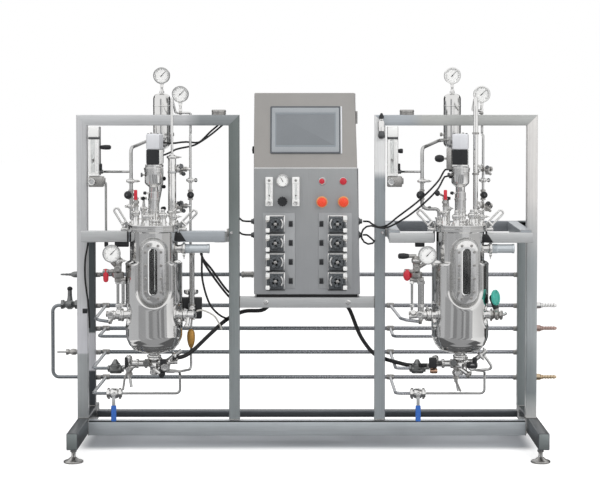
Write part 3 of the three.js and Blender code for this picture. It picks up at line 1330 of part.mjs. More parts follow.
const HOSES = {
  hose_left: [
    plinthFace(-135), plinthFace(-135, 24),
    v(-165, 96, 512), v(-250, 66, 512), v(-300, 30, 484), v(-345, -60, 436),
    v(-400, -130, 392), v(-448, -176, 362), hosePort(-1, 14), hosePort(-1),
  ],
  hose_right: [
    plinthFace(138), plinthFace(138, 24), v(163, 100, 512), v(208, 98, 405), v(255, 72, 352), v(300, 30, 346),
    v(332, -50, 350), v(362, -140, 344), v(402, -184, 340), hosePort(1, 14), hosePort(1),
  ],
};

for (const [name, points] of Object.entries(CABLES)) addNode(name, flexible(points, CABLE_RADIUS), rubber);
for (const [name, points] of Object.entries(HOSES)) addNode(name, flexible(points, HOSE_RADIUS), rubber);

export default bioreactor;
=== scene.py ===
"""The looks of a twin bench bioreactor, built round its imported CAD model.

Lengths are in millimetres in the row's frame (X along the stand, Y to the back, Z up) until a piece is made.
"""

import math

import bmesh
import bpy
from mathutils import Matrix, Vector


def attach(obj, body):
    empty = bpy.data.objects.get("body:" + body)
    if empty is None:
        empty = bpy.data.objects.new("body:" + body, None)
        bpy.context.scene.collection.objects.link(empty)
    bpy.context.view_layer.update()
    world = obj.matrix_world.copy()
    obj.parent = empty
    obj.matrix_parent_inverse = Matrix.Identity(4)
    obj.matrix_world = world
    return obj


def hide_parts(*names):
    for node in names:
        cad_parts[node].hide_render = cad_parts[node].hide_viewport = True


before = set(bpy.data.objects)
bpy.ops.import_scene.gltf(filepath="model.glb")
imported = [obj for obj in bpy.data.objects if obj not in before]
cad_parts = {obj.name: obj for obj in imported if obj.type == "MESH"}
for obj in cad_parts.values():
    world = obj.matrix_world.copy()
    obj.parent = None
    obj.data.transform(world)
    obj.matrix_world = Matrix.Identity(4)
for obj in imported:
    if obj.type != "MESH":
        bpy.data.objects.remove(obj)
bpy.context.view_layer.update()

MM = 0.001
X = Vector((1, 0, 0))
Y = Vector((0, 1, 0))
Z = Vector((0, 0, 1))
GAP = 0.3
BEND_STEP = 15


def v(x, y, z):
    return Vector((x, y, z))


# ---------------------------------------------------------------- materials

MATERIALS = {}
CLOUD_SCALE = (9, 9, 9)
CLOUD_SHARE = 0.35
WORN_SHARE = 0.85
RUN_BASE = 0.9
BUMP_DEPTH = 0.0004
COAT_ROUGH = 0.08


def feed(tree, given, socket):
    """Joins a socket to the one that is given, or sets it to the value that is given."""
    if isinstance(given, bpy.types.NodeSocket):
        tree.links.new(given, socket)
    else:
        socket.default_value = given


def math_node(tree, operation, a, b):
    """The result of an operation on two sockets or values."""
    node = tree.nodes.new("ShaderNodeMath")
    node.operation = operation
    feed(tree, a, node.inputs[0])
    feed(tree, b, node.inputs[1])
    return node.outputs["Value"]


def mix_node(tree, factor, a, b, blend="MIX"):
    """A mix of two colours, each a socket or a value."""
    node = tree.nodes.new("ShaderNodeMix")
    node.data_type = "RGBA"
    node.blend_type = blend
    feed(tree, factor, node.inputs["Factor"])
    feed(tree, a, node.inputs["A"])
    feed(tree, b, node.inputs["B"])
    return node.outputs["Result"]


def range_node(tree, value, start=0.0, full=1.0, low=0.0, high=1.0, curve="LINEAR"):
    """A socket that goes from low to high as the value goes from start to full."""
    node = tree.nodes.new("ShaderNodeMapRange")
    node.interpolation_type = curve
    node.inputs["From Min"].default_value = start
    node.inputs["From Max"].default_value = full
    node.inputs["To Min"].default_value = low
    node.inputs["To Max"].default_value = high
    tree.links.new(value, node.inputs["Value"])
    return node.outputs["Result"]


def object_axes(tree):
    """The sockets X, Y and Z of a place in object space."""
    place = tree.nodes.new("ShaderNodeTexCoord")
    split = tree.nodes.new("ShaderNodeSeparateXYZ")
    tree.links.new(place.outputs["Object"], split.inputs["Vector"])
    return split.outputs


def noise_mask(tree, scale, detail, low, high):
    """A noise in object space, as a value between 0 and 1. scale is cycles per metre along X, Y and Z."""
    nodes, links = tree.nodes, tree.links
    place = nodes.new("ShaderNodeTexCoord")
    stretch = nodes.new("ShaderNodeMapping")
    stretch.inputs["Scale"].default_value = scale
    noise = nodes.new("ShaderNodeTexNoise")
    noise.inputs["Scale"].default_value = 1
    noise.inputs["Detail"].default_value = detail
    links.new(place.outputs["Object"], stretch.inputs["Vector"])
    links.new(stretch.outputs["Vector"], noise.inputs["Vector"])
    return range_node(tree, noise.outputs["Fac"], low, high)


def base_tint(shade):
    return (*(c / RUN_BASE for c in shade), 1)


def painted_band_run(tree, skin, axis, stops):
    """Tints a colour made on RUN_BASE, so that it has the stops' colours at their places on an axis: painted
    reflections, highlights and shade fixed on the object.
    """
    first, last = stops[0][0], stops[-1][0]
    ramp = tree.nodes.new("ShaderNodeValToRGB")
    marks = ramp.color_ramp.elements
    marks[0].color = base_tint(stops[0][1])
    marks[1].color = base_tint(stops[-1][1])
    for spot, shade in stops[1:-1]:
        marks.new((spot - first) / (last - first)).color = base_tint(shade)
    tree.links.new(range_node(tree, object_axes(tree)[axis], first, last), ramp.inputs["Fac"])
    return mix_node(tree, 1, skin, ramp.outputs["Color"], "MULTIPLY")


def material(name, colour, rough, metal=0.0, scale=(300, 300, 300), detail=3.0, vary=0.1, rough_vary=0.06,
             bump=0.0, coat=0.0, glass=0.0, painted_bands=None):
    """A procedural finish: grain at one scale, cloudy wear at a larger one, and a bump from the grain.

    The last argument is an axis and the colours at places along it in metres, which then take the place of
    colour; these are painted reflections and painted shade."""
    made = bpy.data.materials.new(name)
    made.use_nodes = True
    tree = made.node_tree
    shader = tree.nodes["Principled BSDF"]
    shader.inputs["Metallic"].default_value = metal
    shader.inputs["Coat Weight"].default_value = coat
    shader.inputs["Coat Roughness"].default_value = COAT_ROUGH
    shader.inputs["Transmission Weight"].default_value = glass
    if painted_bands:
        colour = (RUN_BASE, RUN_BASE, RUN_BASE)
    grain = noise_mask(tree, scale, detail, 0.3, 0.7)
    clouds = noise_mask(tree, CLOUD_SCALE, 4.0, 0.35, 0.7)
    dark = (*(c * (1 - vary) for c in colour), 1)
    bright = (*(min(1.0, c * (1 + vary)) for c in colour), 1)
    worn = (*(c * WORN_SHARE for c in colour), 1)
    wear = math_node(tree, "MULTIPLY", clouds, CLOUD_SHARE)
    skin = mix_node(tree, wear, mix_node(tree, grain, dark, bright), worn)
    if painted_bands:
        skin = painted_band_run(tree, skin, *painted_bands)
    tree.links.new(skin, shader.inputs["Base Color"])
    polish = range_node(tree, grain, low=max(0.02, rough - rough_vary), high=rough + rough_vary)
    tree.links.new(polish, shader.inputs["Roughness"])
    if bump:
        relief = tree.nodes.new("ShaderNodeBump")
        relief.inputs["Strength"].default_value = bump
        relief.inputs["Distance"].default_value = BUMP_DEPTH
        tree.links.new(grain, relief.inputs["Height"])
        tree.links.new(relief.outputs["Normal"], shader.inputs["Normal"])
    MATERIALS[name] = made
    return name


def make_materials():
    along = {"x": (6, 900, 900), "y": (900, 6, 900), "z": (900, 900, 6)}

    def satin(name, axis, colour, metal=0.6, painted_bands=None):
        material(name, colour, 0.36, metal, along[axis], 2, 0.1, 0.07, 0.12, painted_bands=painted_bands)

    # a satin steel with painted reflections, highlights and shade in bands along one axis
    def satin_painted_bands(name, axis, metal, *stops):
        satin(name, axis.lower(), None, metal, (axis, stops))

    for axis in along:
        satin(f"satin_{axis}", axis, (0.56, 0.57, 0.575))
    # the posts and top bars have bands of painted reflection, painted highlight and painted shade along their
    # length; the left back post is dark with one bright reflected band
    satin_painted_bands("outer_left", "Z", 0.6, (0.14, (0.43, 0.45, 0.455)), (0.355, (0.48, 0.5, 0.51)),
              (0.362, (0.8, 0.8, 0.84)), (0.495, (0.78, 0.78, 0.81)), (0.56, (0.68, 0.685, 0.695)),
              (1.2, (0.63, 0.635, 0.645)))
    satin_painted_bands("outer_right", "Z", 0.6, (0.12, (0.7, 0.7, 0.69)), (0.17, (0.5, 0.52, 0.52)),
              (0.21, (0.3, 0.33, 0.34)), (0.3, (0.33, 0.36, 0.37)), (0.42, (0.47, 0.5, 0.51)),
              (0.7, (0.45, 0.48, 0.49)), (0.95, (0.82, 0.8, 0.78)))
    satin_painted_bands("middle_left", "Z", 0.55, (0.1, (0.34, 0.37, 0.38)), (0.75, (0.29, 0.32, 0.32)),
              (0.95, (0.2, 0.225, 0.22)), (1.2, (0.19, 0.215, 0.21)))
    satin_painted_bands("middle_right", "Z", 0.4, (0.1, (0.36, 0.39, 0.41)), (1.02, (0.35, 0.38, 0.4)),
              (1.05, (0.86, 0.865, 0.865)), (1.2, (0.86, 0.865, 0.865)))
    satin_painted_bands("top_left", "X", 0.6, (-0.85, (0.6, 0.61, 0.62)), (-0.46, (0.58, 0.59, 0.6)),
              (-0.4, (0.29, 0.31, 0.32)), (-0.26, (0.29, 0.31, 0.32)))
    satin_painted_bands("top_right", "X", 0.6, (0.26, (0.45, 0.48, 0.51)), (0.38, (0.43, 0.46, 0.49)),
              (0.44, (0.47, 0.48, 0.465)), (0.84, (0.46, 0.47, 0.46)))
    satin_painted_bands("back_left", "Z", 0.7, (0.12, (0.09, 0.1, 0.11)), (0.25, (0.09, 0.1, 0.11)),
              (0.256, (0.8, 0.8, 0.83)), (0.4, (0.8, 0.8, 0.83)), (0.406, (0.13, 0.145, 0.15)),
              (0.8, (0.1, 0.115, 0.12)))
    # darker copies of the satin steel for the right back post, cradle arms, back beams and rails: painted
    # shade
    satin("back_right", "z", (0.3, 0.33, 0.335), 0.6)
    satin("arm_dark", "x", (0.45, 0.48, 0.51))
    satin("back_x", "x", (0.24, 0.255, 0.275), 0.7)
    satin("rail", "y", (0.13, 0.14, 0.15), 0.8)
    # a paler, bluer copy of the satin steel for the front beam and the lamp housings: painted light
    satin("beam_x", "x", (0.6, 0.64, 0.67))
    satin("rail_end", "x", (0.26, 0.29, 0.29))
    material("cabinet", (0.42, 0.43, 0.44), 0.42, 0.6, (1400, 1400, 9), 2, 0.07, 0.06, 0.1)
    # the cabinet's front is paler below the fold and darker and warmer on the sloped top: painted reflection
    material("cabinet_front", None, 0.42, 0.6, (1400, 1400, 9), 2, 0.07, 0.06, 0.1,
             painted_bands=("Z", ((0.58, (0.43, 0.44, 0.455)), (1.06, (0.41, 0.42, 0.425)),
                         (1.064, (0.35, 0.336, 0.322)), (1.34, (0.34, 0.33, 0.318)))))
    material("polished", (0.78, 0.775, 0.765), 0.11, 1, (22, 22, 1.2), 2, 0.03, 0.03, 0.25)
    material("pipe", (0.6, 0.6, 0.595), 0.2, 1, (200, 200, 200), 3, 0.06, 0.05, 0.04)
    # the header pipes are darker at the left and paler at the right: painted shade and reflection along X
    material("header", None, 0.26, 0.7, (200, 200, 200), 3, 0.06, 0.05, 0.04,
             painted_bands=("X", ((-0.9, (0.28, 0.3, 0.32)), (-0.2, (0.3, 0.32, 0.34)), (0.2, (0.42, 0.43, 0.46)),
                         (0.9, (0.46, 0.47, 0.5)))))
    material("iron", (0.26, 0.265, 0.265), 0.34, 1, (500, 500, 500), 3, 0.14, 0.08, 0.15)
    material("boss", (0.52, 0.52, 0.515), 0.3, 0.7, (200, 200, 200), 3, 0.05, 0.05, 0.04)
    material("rosy", (0.5, 0.36, 0.32), 0.3, 0.8, (400, 400, 400), 3, 0.15, 0.08, 0.1)
    material("bright", (0.84, 0.835, 0.825), 0.1, 1, (120, 120, 120), 2, 0.04, 0.03, 0.03)
    material("cast", (0.5, 0.49, 0.475), 0.3, 1, (700, 700, 700), 4, 0.12, 0.08, 0.3)
    material("dark_steel", (0.17, 0.175, 0.18), 0.35, 1, (500, 500, 500), 3, 0.12, 0.08, 0.1)
    material("black", (0.014, 0.015, 0.017), 0.42, 0, (900, 900, 900), 3, 0.25, 0.08, 0.15)
    material("rubber", (0.012, 0.012, 0.013), 0.55, 0, (1200, 1200, 1200), 3, 0.3, 0.08, 0.2)
    material("red", (0.55, 0.016, 0.035), 0.3, 0, (600, 600, 600), 3, 0.06, 0.04, 0.05, coat=0.4)
    material("stop_red", (0.85, 0.06, 0.015), 0.28, 0, (600, 600, 600), 3, 0.05, 0.04, 0.03, coat=0.5)
    material("stop_ring", (0.95, 0.42, 0.12), 0.4, 0, (600, 600, 600), 3, 0.06, 0.05, 0.05)
    material("blue", (0.03, 0.14, 0.52), 0.42, 0, (500, 500, 500), 3, 0.12, 0.06, 0.2)
    material("teal", (0.05, 0.42, 0.34), 0.3, 0, (500, 500, 500), 3, 0.08, 0.05, 0.05, coat=0.3)
    material("brass", (0.66, 0.52, 0.36), 0.3, 1, (400, 400, 400), 3, 0.12, 0.08, 0.1)
    material("tan", (0.52, 0.28, 0.07), 0.42, 0.5, (500, 500, 80), 3, 0.15, 0.08, 0.1)
    material("copper", (0.66, 0.42, 0.3), 0.28, 1, (400, 400, 400), 3, 0.12, 0.08, 0.1)
    material("white", (0.86, 0.86, 0.85), 0.35, 0, (500, 500, 500), 3, 0.03, 0.05, 0.03)
    material("dial", (0.9, 0.9, 0.89), 0.45, 0, (300, 300, 300), 2, 0.02, 0.04)
    # a bright strip along the cabinet's fold: a painted highlight
    material("fold_highlight", (0.74, 0.745, 0.75), 0.35, 0.3, along["x"], 2, 0.04, 0.05, 0.05)
    material("pump", (0.13, 0.14, 0.15), 0.42, 0.5, (160, 160, 160), 3, 0.5, 0.1, 0.3)
    material("bezel_edge", (0.1, 0.11, 0.12), 0.35, 0, (900, 900, 900), 3, 0.05, 0.05, 0.05)
    material("cap", (0.72, 0.73, 0.76), 0.4, 0.3, along["z"], 2, 0.04, 0.05, 0.05)
    material("faint", (0.3, 0.3, 0.31), 0.45, 0, (300, 300, 300), 2, 0.04, 0.04)
    material("bezel_pale", (0.33, 0.35, 0.37), 0.3, 0, (900, 900, 900), 3, 0.05, 0.05, 0.05)
    material("screen", (0.2, 0.215, 0.23), 0.3, 0, (300, 300, 300), 2, 0.03, 0.02)
    material("bezel", (0.24, 0.265, 0.285), 0.32, 0, (900, 900, 900), 3, 0.05, 0.05, 0.05)
    material("clear", (0.95, 0.97, 0.97), 0.03, 0, (60, 60, 60), 2, 0.01, 0.01, glass=1)
    material("tube_pale", (0.72, 0.7, 0.66), 0.35, 0, (400, 400, 400), 2, 0.05, 0.05, glass=0.2)


# ---------------------------------------------------------------- mesh code


def basis(direction):
    """Two directions square to a third, which comes last."""
    z = direction.normalized()
    x = (Z if abs(z.z) < 0.9 else X).cross(z).normalized()
    return x, z.cross(x), z


def turned(centre, degrees, axis="Z"):
    """The placing that turns points about an axis through a centre."""
    turn = Matrix.Rotation(math.radians(degrees), 4, axis)
    return Matrix.Translation(centre) @ turn @ Matrix.Translation(-centre)


def ring_faces(rings, n):
    """The quads between rings of n points, ring after ring."""
    faces = []
    for i in range(rings - 1):
        for j in range(n):
            k = (j + 1) % n
            faces.append([i * n + j, i * n + k, (i + 1) * n + k, (i + 1) * n + j])
    return faces


def tube_faces(rings, n):
    """The quads between rings of n points, and both ends."""
    last = (rings - 1) * n
    return ring_faces(rings, n) + [list(range(n))[::-1], list(range(last, last + n))]


class Piece:
    """Faces collected in millimetres, each with its finish, that become one object on one body."""

    def __init__(self, name, body="stand", stands_for=(), slot=None):
        self.name, self.body, self.stands_for, self.slot = name, body, stands_for, slot
        self.points, self.faces, self.finish = [], [], []
        self.place = None

    def add(self, points, faces, finish):
        start = len(self.points)
        if self.place is not None:
            points = [self.place @ p for p in points]
        self.points += points
        self.faces += [[start + i for i in face] for face in faces]
        self.finish += [finish] * len(faces)

    def lathe(self, base, direction, outline, finish, n=20):
        """Turns an outline of (radius, distance along) about a direction."""
        x, y, z = basis(direction)
        points, rings = [], []
        for radius, along in outline:
            centre = base + z * along
            if radius < 1e-6:
                rings.append([len(points)])
                points.append(centre)
                continue
            rings.append(range(len(points), len(points) + n))
            for i in range(n):
                a = 2 * math.pi * i / n
                points.append(centre + x * (radius * math.cos(a)) + y * (radius * math.sin(a)))
        faces = []
        for low, high in zip(rings, rings[1:]):
            for i in range(n):
                j = (i + 1) % n
                if len(low) == 1 and len(high) == 1:
                    break
                if len(low) == 1:
                    faces.append([low[0], high[j], high[i]])
                elif len(high) == 1:
                    faces.append([low[i], low[j], high[0]])
                else:
                    faces.append([low[i], low[j], high[j], high[i]])
        self.add(points, faces, finish)

    def rod(self, a, b, radius, finish, end=None, n=20, edge=0.8):
        """A round bar with broken edges, or a cone frustum when it has an end radius."""
        end = radius if end is None else end
        long = (b - a).length
        edge = min(edge, long / 3, radius / 2, end / 2)
        outline = [(0, 0), (radius - edge, 0), (radius, edge), (end, long - edge),
                   (end - edge, long), (0, long)]
        self.lathe(a, b - a, outline, finish, n)

    def bar(self, centre, direction, long, radius, finish, n=20, edge=0.8):
        half = direction.normalized() * (long / 2)
        self.rod(centre - half, centre + half, radius, finish, None, n, edge)

    def ball(self, centre, radius, finish, squash=1.0, direction=Z, n=20):
        steps = n // 2
        outline = [(radius * math.sin(math.pi * i / steps), -squash * radius * math.cos(math.pi * i / steps))
                   for i in range(steps + 1)]
        self.lathe(centre, direction, outline, finish, n)

    def hoop(self, centre, direction, radius, thick, finish, n=28, m=8):
        """A ring of round wire."""
        outline = [(radius + thick * math.cos(2 * math.pi * i / m), thick * math.sin(2 * math.pi * i / m))
                   for i in range(m + 1)]
        self.lathe(centre, direction, outline, finish, n)

    def sweep(self, path, section, finish):
        """Carries a section of (side, up) offsets along a path of points, with flat caps."""
        points, n = [], len(section)
        tangents = []
        for i in range(len(path)):
            tangents.append((path[min(i + 1, len(path) - 1)] - path[max(i - 1, 0)]).normalized())
        x, y, _ = basis(tangents[0])
        for i, centre in enumerate(path):
            if i:
                spin = tangents[i - 1].rotation_difference(tangents[i])
                x, y = spin @ x, spin @ y
            points += [centre + x * a + y * b for a, b in section]
        self.add(points, tube_faces(len(path), n), finish)

    def pipe(self, corners, radius, finish, bend=None, n=16):
        circle = [(radius * math.cos(2 * math.pi * i / n), radius * math.sin(2 * math.pi * i / n))
                  for i in range(n)]
        self.sweep(rounded(corners, 2.5 * radius if bend is None else bend), circle, finish)

    def block(self, low, high, finish, edge=1.5, steps=2):
        """A box with rounded edges, given by its lowest and highest corners."""
        section = rounded_rectangle(high.x - low.x, high.y - low.y, edge, steps)
        middle = v((low.x + high.x) / 2, (low.y + high.y) / 2, 0)
        tall = high.z - low.z
        points, levels = [], []
        for i in range(steps + 1):
            a = math.pi / 2 * i / steps
            levels.append((edge * (1 - math.sin(a)), edge * (1 - math.cos(a))))
        rings = [(inset, low.z + rise) for inset, rise in levels]
        rings += [(inset, low.z + tall - rise) for inset, rise in reversed(levels)]
        wide, deep = (high.x - low.x) / 2, (high.y - low.y) / 2
        for inset, z in rings:
            for a, b in section:
                points.append(middle + v(a * (1 - inset / wide), b * (1 - inset / deep), z))
        self.add(points, tube_faces(len(rings), len(section)), finish)

    def block_at(self, centre, x, y, wide, deep, tall, finish, edge=1.0):
        """A small box in its own directions: wide along x, deep along y, tall along their normal."""
        x, y = x.normalized(), y.normalized()
        z = x.cross(y)
        section = rounded_rectangle(wide, deep, edge, 2)
        points = []
        for share, level in ((0.93, -0.5), (1, -0.5 + edge / tall), (1, 0.5 - edge / tall), (0.93, 0.5)):
            points += [centre + x * (a * share) + y * (b * share) + z * (tall * level) for a, b in section]
        self.add(points, tube_faces(4, len(section)), finish)

    def tube(self, a, b, finish, up=Z, cut_a=(0, 0), cut_b=(0, 0)):
        """A length of the stand's square tube."""
        self.beam(a, b, TUBE, TUBE, finish, up, cut_a, cut_b)

    def beam(self, a, b, wide, tall, finish, up=Z, cut_a=(0, 0), cut_b=(0, 0), edge=3.0):
        """A rectangular tube along a line; a cut shifts its end along it per mm to the side and per mm up."""
        z = (b - a).normalized()
        y = up
        x = y.cross(z)
        section = rounded_rectangle(wide, tall, edge, 3)
        points = []
        for centre, (side, rise) in ((a, cut_a), (b, cut_b)):
            points += [centre + x * p + y * q + z * (side * p + rise * q) for p, q in section]
        self.add(points, tube_faces(2, len(section)), finish)

    def plate(self, outer, inner, origin, thick, finish, edge=1.0):
        """A flat plate facing the front (-Y) from loops of (x, z), with a hole when inner is given."""
        half_x = max(abs(a) for a, b in outer)
        half_z = max(abs(b) for a, b in outer)
        chain = []
        if inner is not None:
            chain.append([origin + v(a, thick, b) for a, b in inner])
            chain.append([origin + v(a, edge, b) for a, b in inner])
            chain.append([origin + v(a * 1.04, 0, b * 1.01) for a, b in inner])
        for inset, depth in ((edge, 0), (edge * 0.3, edge * 0.3), (0, edge), (0, thick)):
            chain.append([origin + v(a * (1 - inset / half_x), depth, b * (1 - inset / half_z))
                          for a, b in outer])
        n = len(outer)
        faces = ring_faces(len(chain), n)
        last = (len(chain) - 1) * n
        if inner is None:
            faces.append(list(range(n)))
            faces.append([last + j for j in range(n)])
        else:
            faces += [[last + j, last + (j + 1) % n, (j + 1) % n, j] for j in range(n)]
        self.add(sum(chain, []), faces, finish)

    def make(self, smooth=35):
        mesh = bpy.data.meshes.new(self.name)
        mesh.from_pydata([p * MM for p in self.points], [], self.faces)
        used = []
        for name in self.finish:
            if name not in used:
                used.append(name)
        for name in used:
            mesh.materials.append(MATERIALS[name])
        mesh.polygons.foreach_set("material_index", [used.index(name) for name in self.finish])
        mesh.validate()
        tidy = bmesh.new()
        tidy.from_mesh(mesh)
        bmesh.ops.remove_doubles(tidy, verts=tidy.verts, dist=1e-6)
        bmesh.ops.recalc_face_normals(tidy, faces=tidy.faces)
        tidy.to_mesh(mesh)
        tidy.free()
        mesh.shade_smooth()
        mesh.set_sharp_from_angle(angle=math.radians(smooth))
        mesh.update()
        made = bpy.data.objects.new(self.name, mesh)
        bpy.context.scene.collection.objects.link(made)
        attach(made, self.body)
        if self.stands_for:
            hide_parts(*self.stands_for)
        return made


def arc(start, into, side, turn, radius, steps):
    """Points of a bend that leaves its start in the direction into and turns to a side."""
    points = []
    for i in range(steps + 1):
        a = turn * i / steps
        points.append(start + into * (radius * math.sin(a)) + side * (radius * (1 - math.cos(a))))
    return points


def rounded(corners, bend):
    """A path through corners with a round bend at each."""
    path = [corners[0]]
    for before, corner, after in zip(corners, corners[1:], corners[2:]):
        into = (corner - before).normalized()
        out = (after - corner).normalized()
        turn = into.angle(out)
        if turn < 0.01:
            continue
        back = bend * math.tan(turn / 2)
        limit = 0.49 * min((corner - before).length, (after - corner).length)
        radius = bend if back <= limit else limit / math.tan(turn / 2)
        back = min(back, limit)
        side = (out - into * out.dot(into)).normalized()
        steps = max(2, round(math.degrees(turn) / BEND_STEP))
        path += arc(corner - into * back, into, side, turn, radius, steps)
    path.append(corners[-1])
    return path


def rounded_rectangle(wide, tall, radius, steps):
    radius = min(radius, wide / 2.01, tall / 2.01)
    points = []
    for sx, sy, start in ((1, 1, 0), (-1, 1, 90), (-1, -1, 180), (1, -1, 270)):
        for i in range(steps + 1):
            a = math.radians(start + 90 * i / steps)
            points.append((sx * (wide / 2 - radius) + radius * math.cos(a),
                           sy * (tall / 2 - radius) + radius * math.sin(a)))
    return points


def obround(wide, tall, steps=14):
    """An upright slot outline with round ends, anticlockwise in (x, z)."""
    radius = wide / 2
    straight = tall / 2 - radius
    points = []
    for sign, start in ((1, 0), (-1, 180)):
        for i in range(steps + 1):
            a = math.radians(start + 180 * i / steps)
            points.append((radius * math.cos(a), sign * straight + radius * math.sin(a)))
    return points


# ---------------------------------------------------------------- sizes shared with the CAD

OUTER_X, POST_X, TUBE = 868.5, 828.5, 40
MIDDLE_X = 255
FRONT_Y0, BACK_Y0 = -26, 232
STAND_TOP = 1261
RAIL_TOP, FOOT_HEIGHT, BEAM_TOP = 113, 53, 108
CRADLE_TOP, CRADLE_FRONT, CRADLE_INNER = 836, -201, 302
SHELF_TOP, SHELF_BACK = 573, 230
HEADER_Y = 291
STATION_X, VESSEL_Y = 563, -181
SHELL_R, WALL_R, JACKET_R, FLANGE_R = 88, 84, 104, 100
JACKET_LOW, BOWL_RIM, BOWL_TOP, JACKET_TOP = 413, 428, 454, 729
CUT_Z, CUT_HALF, NOZZLE_CUT = 626, 54, 37
STRAIGHT_LOW, STRAIGHT_TOP = 560, 836.3
LID_BOTTOM, LID_TOP = 847.8, 861
WINDOW_Z, NOZZLE_Z, LAMP_Z, OUTLET_Z = 694, 530, 771, 370
STATIONS = (-1, 1)
NAME = {-1: "left", 1: "right"}
WINDOW_TURN = {-1: 3.5, 1: 8}


def from_axis(side, dx, dy, z):
    return v(side * STATION_X + dx, VESSEL_Y + dy, z)


def nozzle_way(way):
    a = math.radians(15)
    return v(way * math.cos(a), -math.sin(a), 0)


def stand_piece(node, slot):
    return Piece(f"{node}_look", "stand", [node], slot)


def station_piece(side, part, slot, moves=False):
    """The piece that stands for one of a station's CAD nodes; a moving one has its own body."""
    node = f"{NAME[side]}_{part}"
    return Piece(f"{node}_look", f"{node}_body" if moves else "stand", [node], slot)


# ---------------------------------------------------------------- small fittings


def scaled(pairs, across, along=1):
    """An outline of (radius, height) pairs, each share times the fitting's own radius and length."""
    return [(across * r, along * z) for r, z in pairs]


def hexagon(piece, base, direction, high, radius, finish="bright"):
    """A hex head or nut, with its domed top."""
    piece.lathe(base, direction, [(0, 0), (radius, 0), (radius, high * 0.8), (radius * 0.8, high), (0, high)],
                finish, 6)


def tri_clamp(piece, centre, direction, radius, wing=None):
    """Two ferrules with their gasket, the clamp round them and its wing nut."""
    way = direction.normalized()
    piece.lathe(centre - way * 9, way, scaled((
        (0.55, 0), (0.6, 2), (0.92, 5), (0.92, 8), (0.86, 8.4),
        (0.86, 9.6), (0.92, 10), (0.92, 13), (0.6, 16), (0.55, 18),
    ), radius), "bright", 24)
    piece.lathe(centre - way * 5.5, way, scaled((
        (0.9, 0), (1.04, 1), (1.1, 3.4), (1.1, 7.6), (1.04, 10),
        (0.9, 11),
    ), radius), "bright", 24)
    if wing is None:
        return
    out = (wing - way * wing.dot(way)).normalized()
    cross = way.cross(out)
    hinge = centre + out * (radius * 1.15)
    piece.block_at(hinge + cross * 4, way, out, 9, 7, 5, "bright")
    piece.block_at(hinge - cross * 4, way, out, 9, 7, 5, "bright")
    piece.rod(hinge - cross * 8, hinge + cross * 17, 2, "bright", None, 10)
    nut = hinge + cross * 11
    piece.rod(nut, nut + cross * 6, 4.5, "bright", 3.5, 12)
    for sign in (-1, 1):
        piece.ball(nut + cross * 5 + out * (sign * 7), 4.6, "bright", 0.45, way, 12)


def knob(piece, base, direction, radius, deep, finish="black", lobes=7):
    """A moulded handwheel with finger lobes and a dished face."""
    x, y, z = basis(direction)
    n = lobes * 6
    points = []
    levels = [(0.45, 0), (0.8, 0.05), (0.97, 0.2), (1, 0.45), (1, 0.75), (0.93, 0.94), (0.8, 1), (0.5, 0.96),
              (0.42, 0.86)]
    for share, along in levels:
        for i in range(n):
            a = 2 * math.pi * i / n
            lobe = 1 + 0.06 * math.cos(lobes * a) * min(1, share)
            away = x * math.cos(a) + y * math.sin(a)
            points.append(base + z * (deep * along) + away * (radius * share * lobe))
    piece.add(points, tube_faces(len(levels), n), finish)


def gauge(piece, centre, radius, deep=26, needle=40, stem=None):
    """A dial gauge facing the front: case, bezel, scale with ticks, needle, glass rim and neck."""
    face = -Y
    back = centre + Y * (deep / 2)
    piece.lathe(back, face, [
        (0, 0), (radius * 0.86, 0), (radius * 0.95, 2), (radius * 0.95, deep * 0.55), (radius, deep * 0.6),
        (radius, deep * 0.92), (radius * 0.96, deep), (radius * 0.87, deep), (radius * 0.84, deep * 0.8),
    ], "bright", 40)
    piece.lathe(back, face, [(radius * 0.86, deep * 0.78), (0, deep * 0.78)], "dial", 40)
    front = centre - Y * (deep * 0.3)

    def spoke(degrees, inner, outer, half, finish, lift=0.0):
        a = math.radians(degrees)
        along = v(math.sin(a), 0, math.cos(a))
        side = v(math.cos(a), 0, -math.sin(a)) * half
        low, high = front + along * inner - Y * lift, front + along * outer - Y * lift
        piece.add([low - side, low + side, high + side * 0.5, high - side * 0.5,
                   low - side - Y * 0.4, low + side - Y * 0.4, high + side * 0.5 - Y * 0.4,
                   high - side * 0.5 - Y * 0.4],
                  [[4, 7, 6, 5], [0, 1, 2, 3], [0, 4, 5, 1], [1, 5, 6, 2], [2, 6, 7, 3], [3, 7, 4, 0]],
                  finish)

    for i in range(31):
        major = i % 5 == 0
        spoke(-135 + 9 * i, radius * (0.62 if major else 0.69), radius * 0.76,
              0.55 if major else 0.25, "black")
    spoke(needle - 90, -radius * 0.2, radius * 0.62, 1.1, "black", 1.2)
    piece.rod(front, front - Y * 2.4, radius * 0.07, "dark_steel", None, 12, 0.4)
    piece.lathe(back, face, [(radius * 0.8, deep * 0.93), (radius * 0.86, deep * 0.9)], "clear", 40)
    if stem is not None:
        way = stem.normalized()
        neck = centre + way * (radius * 0.9)
        piece.rod(neck, neck + way * 12, 6.5, "bright", None, 16)
        hexagon(piece, neck + way * 8, way, 8, 8)


def valve_body(piece, centre, through, long, radius, finish="cast"):
    """A round valve body with a hex at each end."""
    way = through.normalized()
    start = centre - way * (long / 2)
    piece.lathe(start, way, scaled((
        (0, 0), (0.8, 0), (0.8, 0.2), (0.62, 0.22), (0.7, 0.3),
        (1, 0.4), (1, 0.6), (0.7, 0.7), (0.62, 0.78),
        (0.8, 0.8), (0.8, 1), (0, 1),
    ), radius, long), finish, 20)
    hexagon(piece, start - way * 0.5, way, long * 0.18, radius * 0.98, finish)
    hexagon(piece, start + way * (long * 0.82), way, long * 0.18, radius * 0.98, finish)


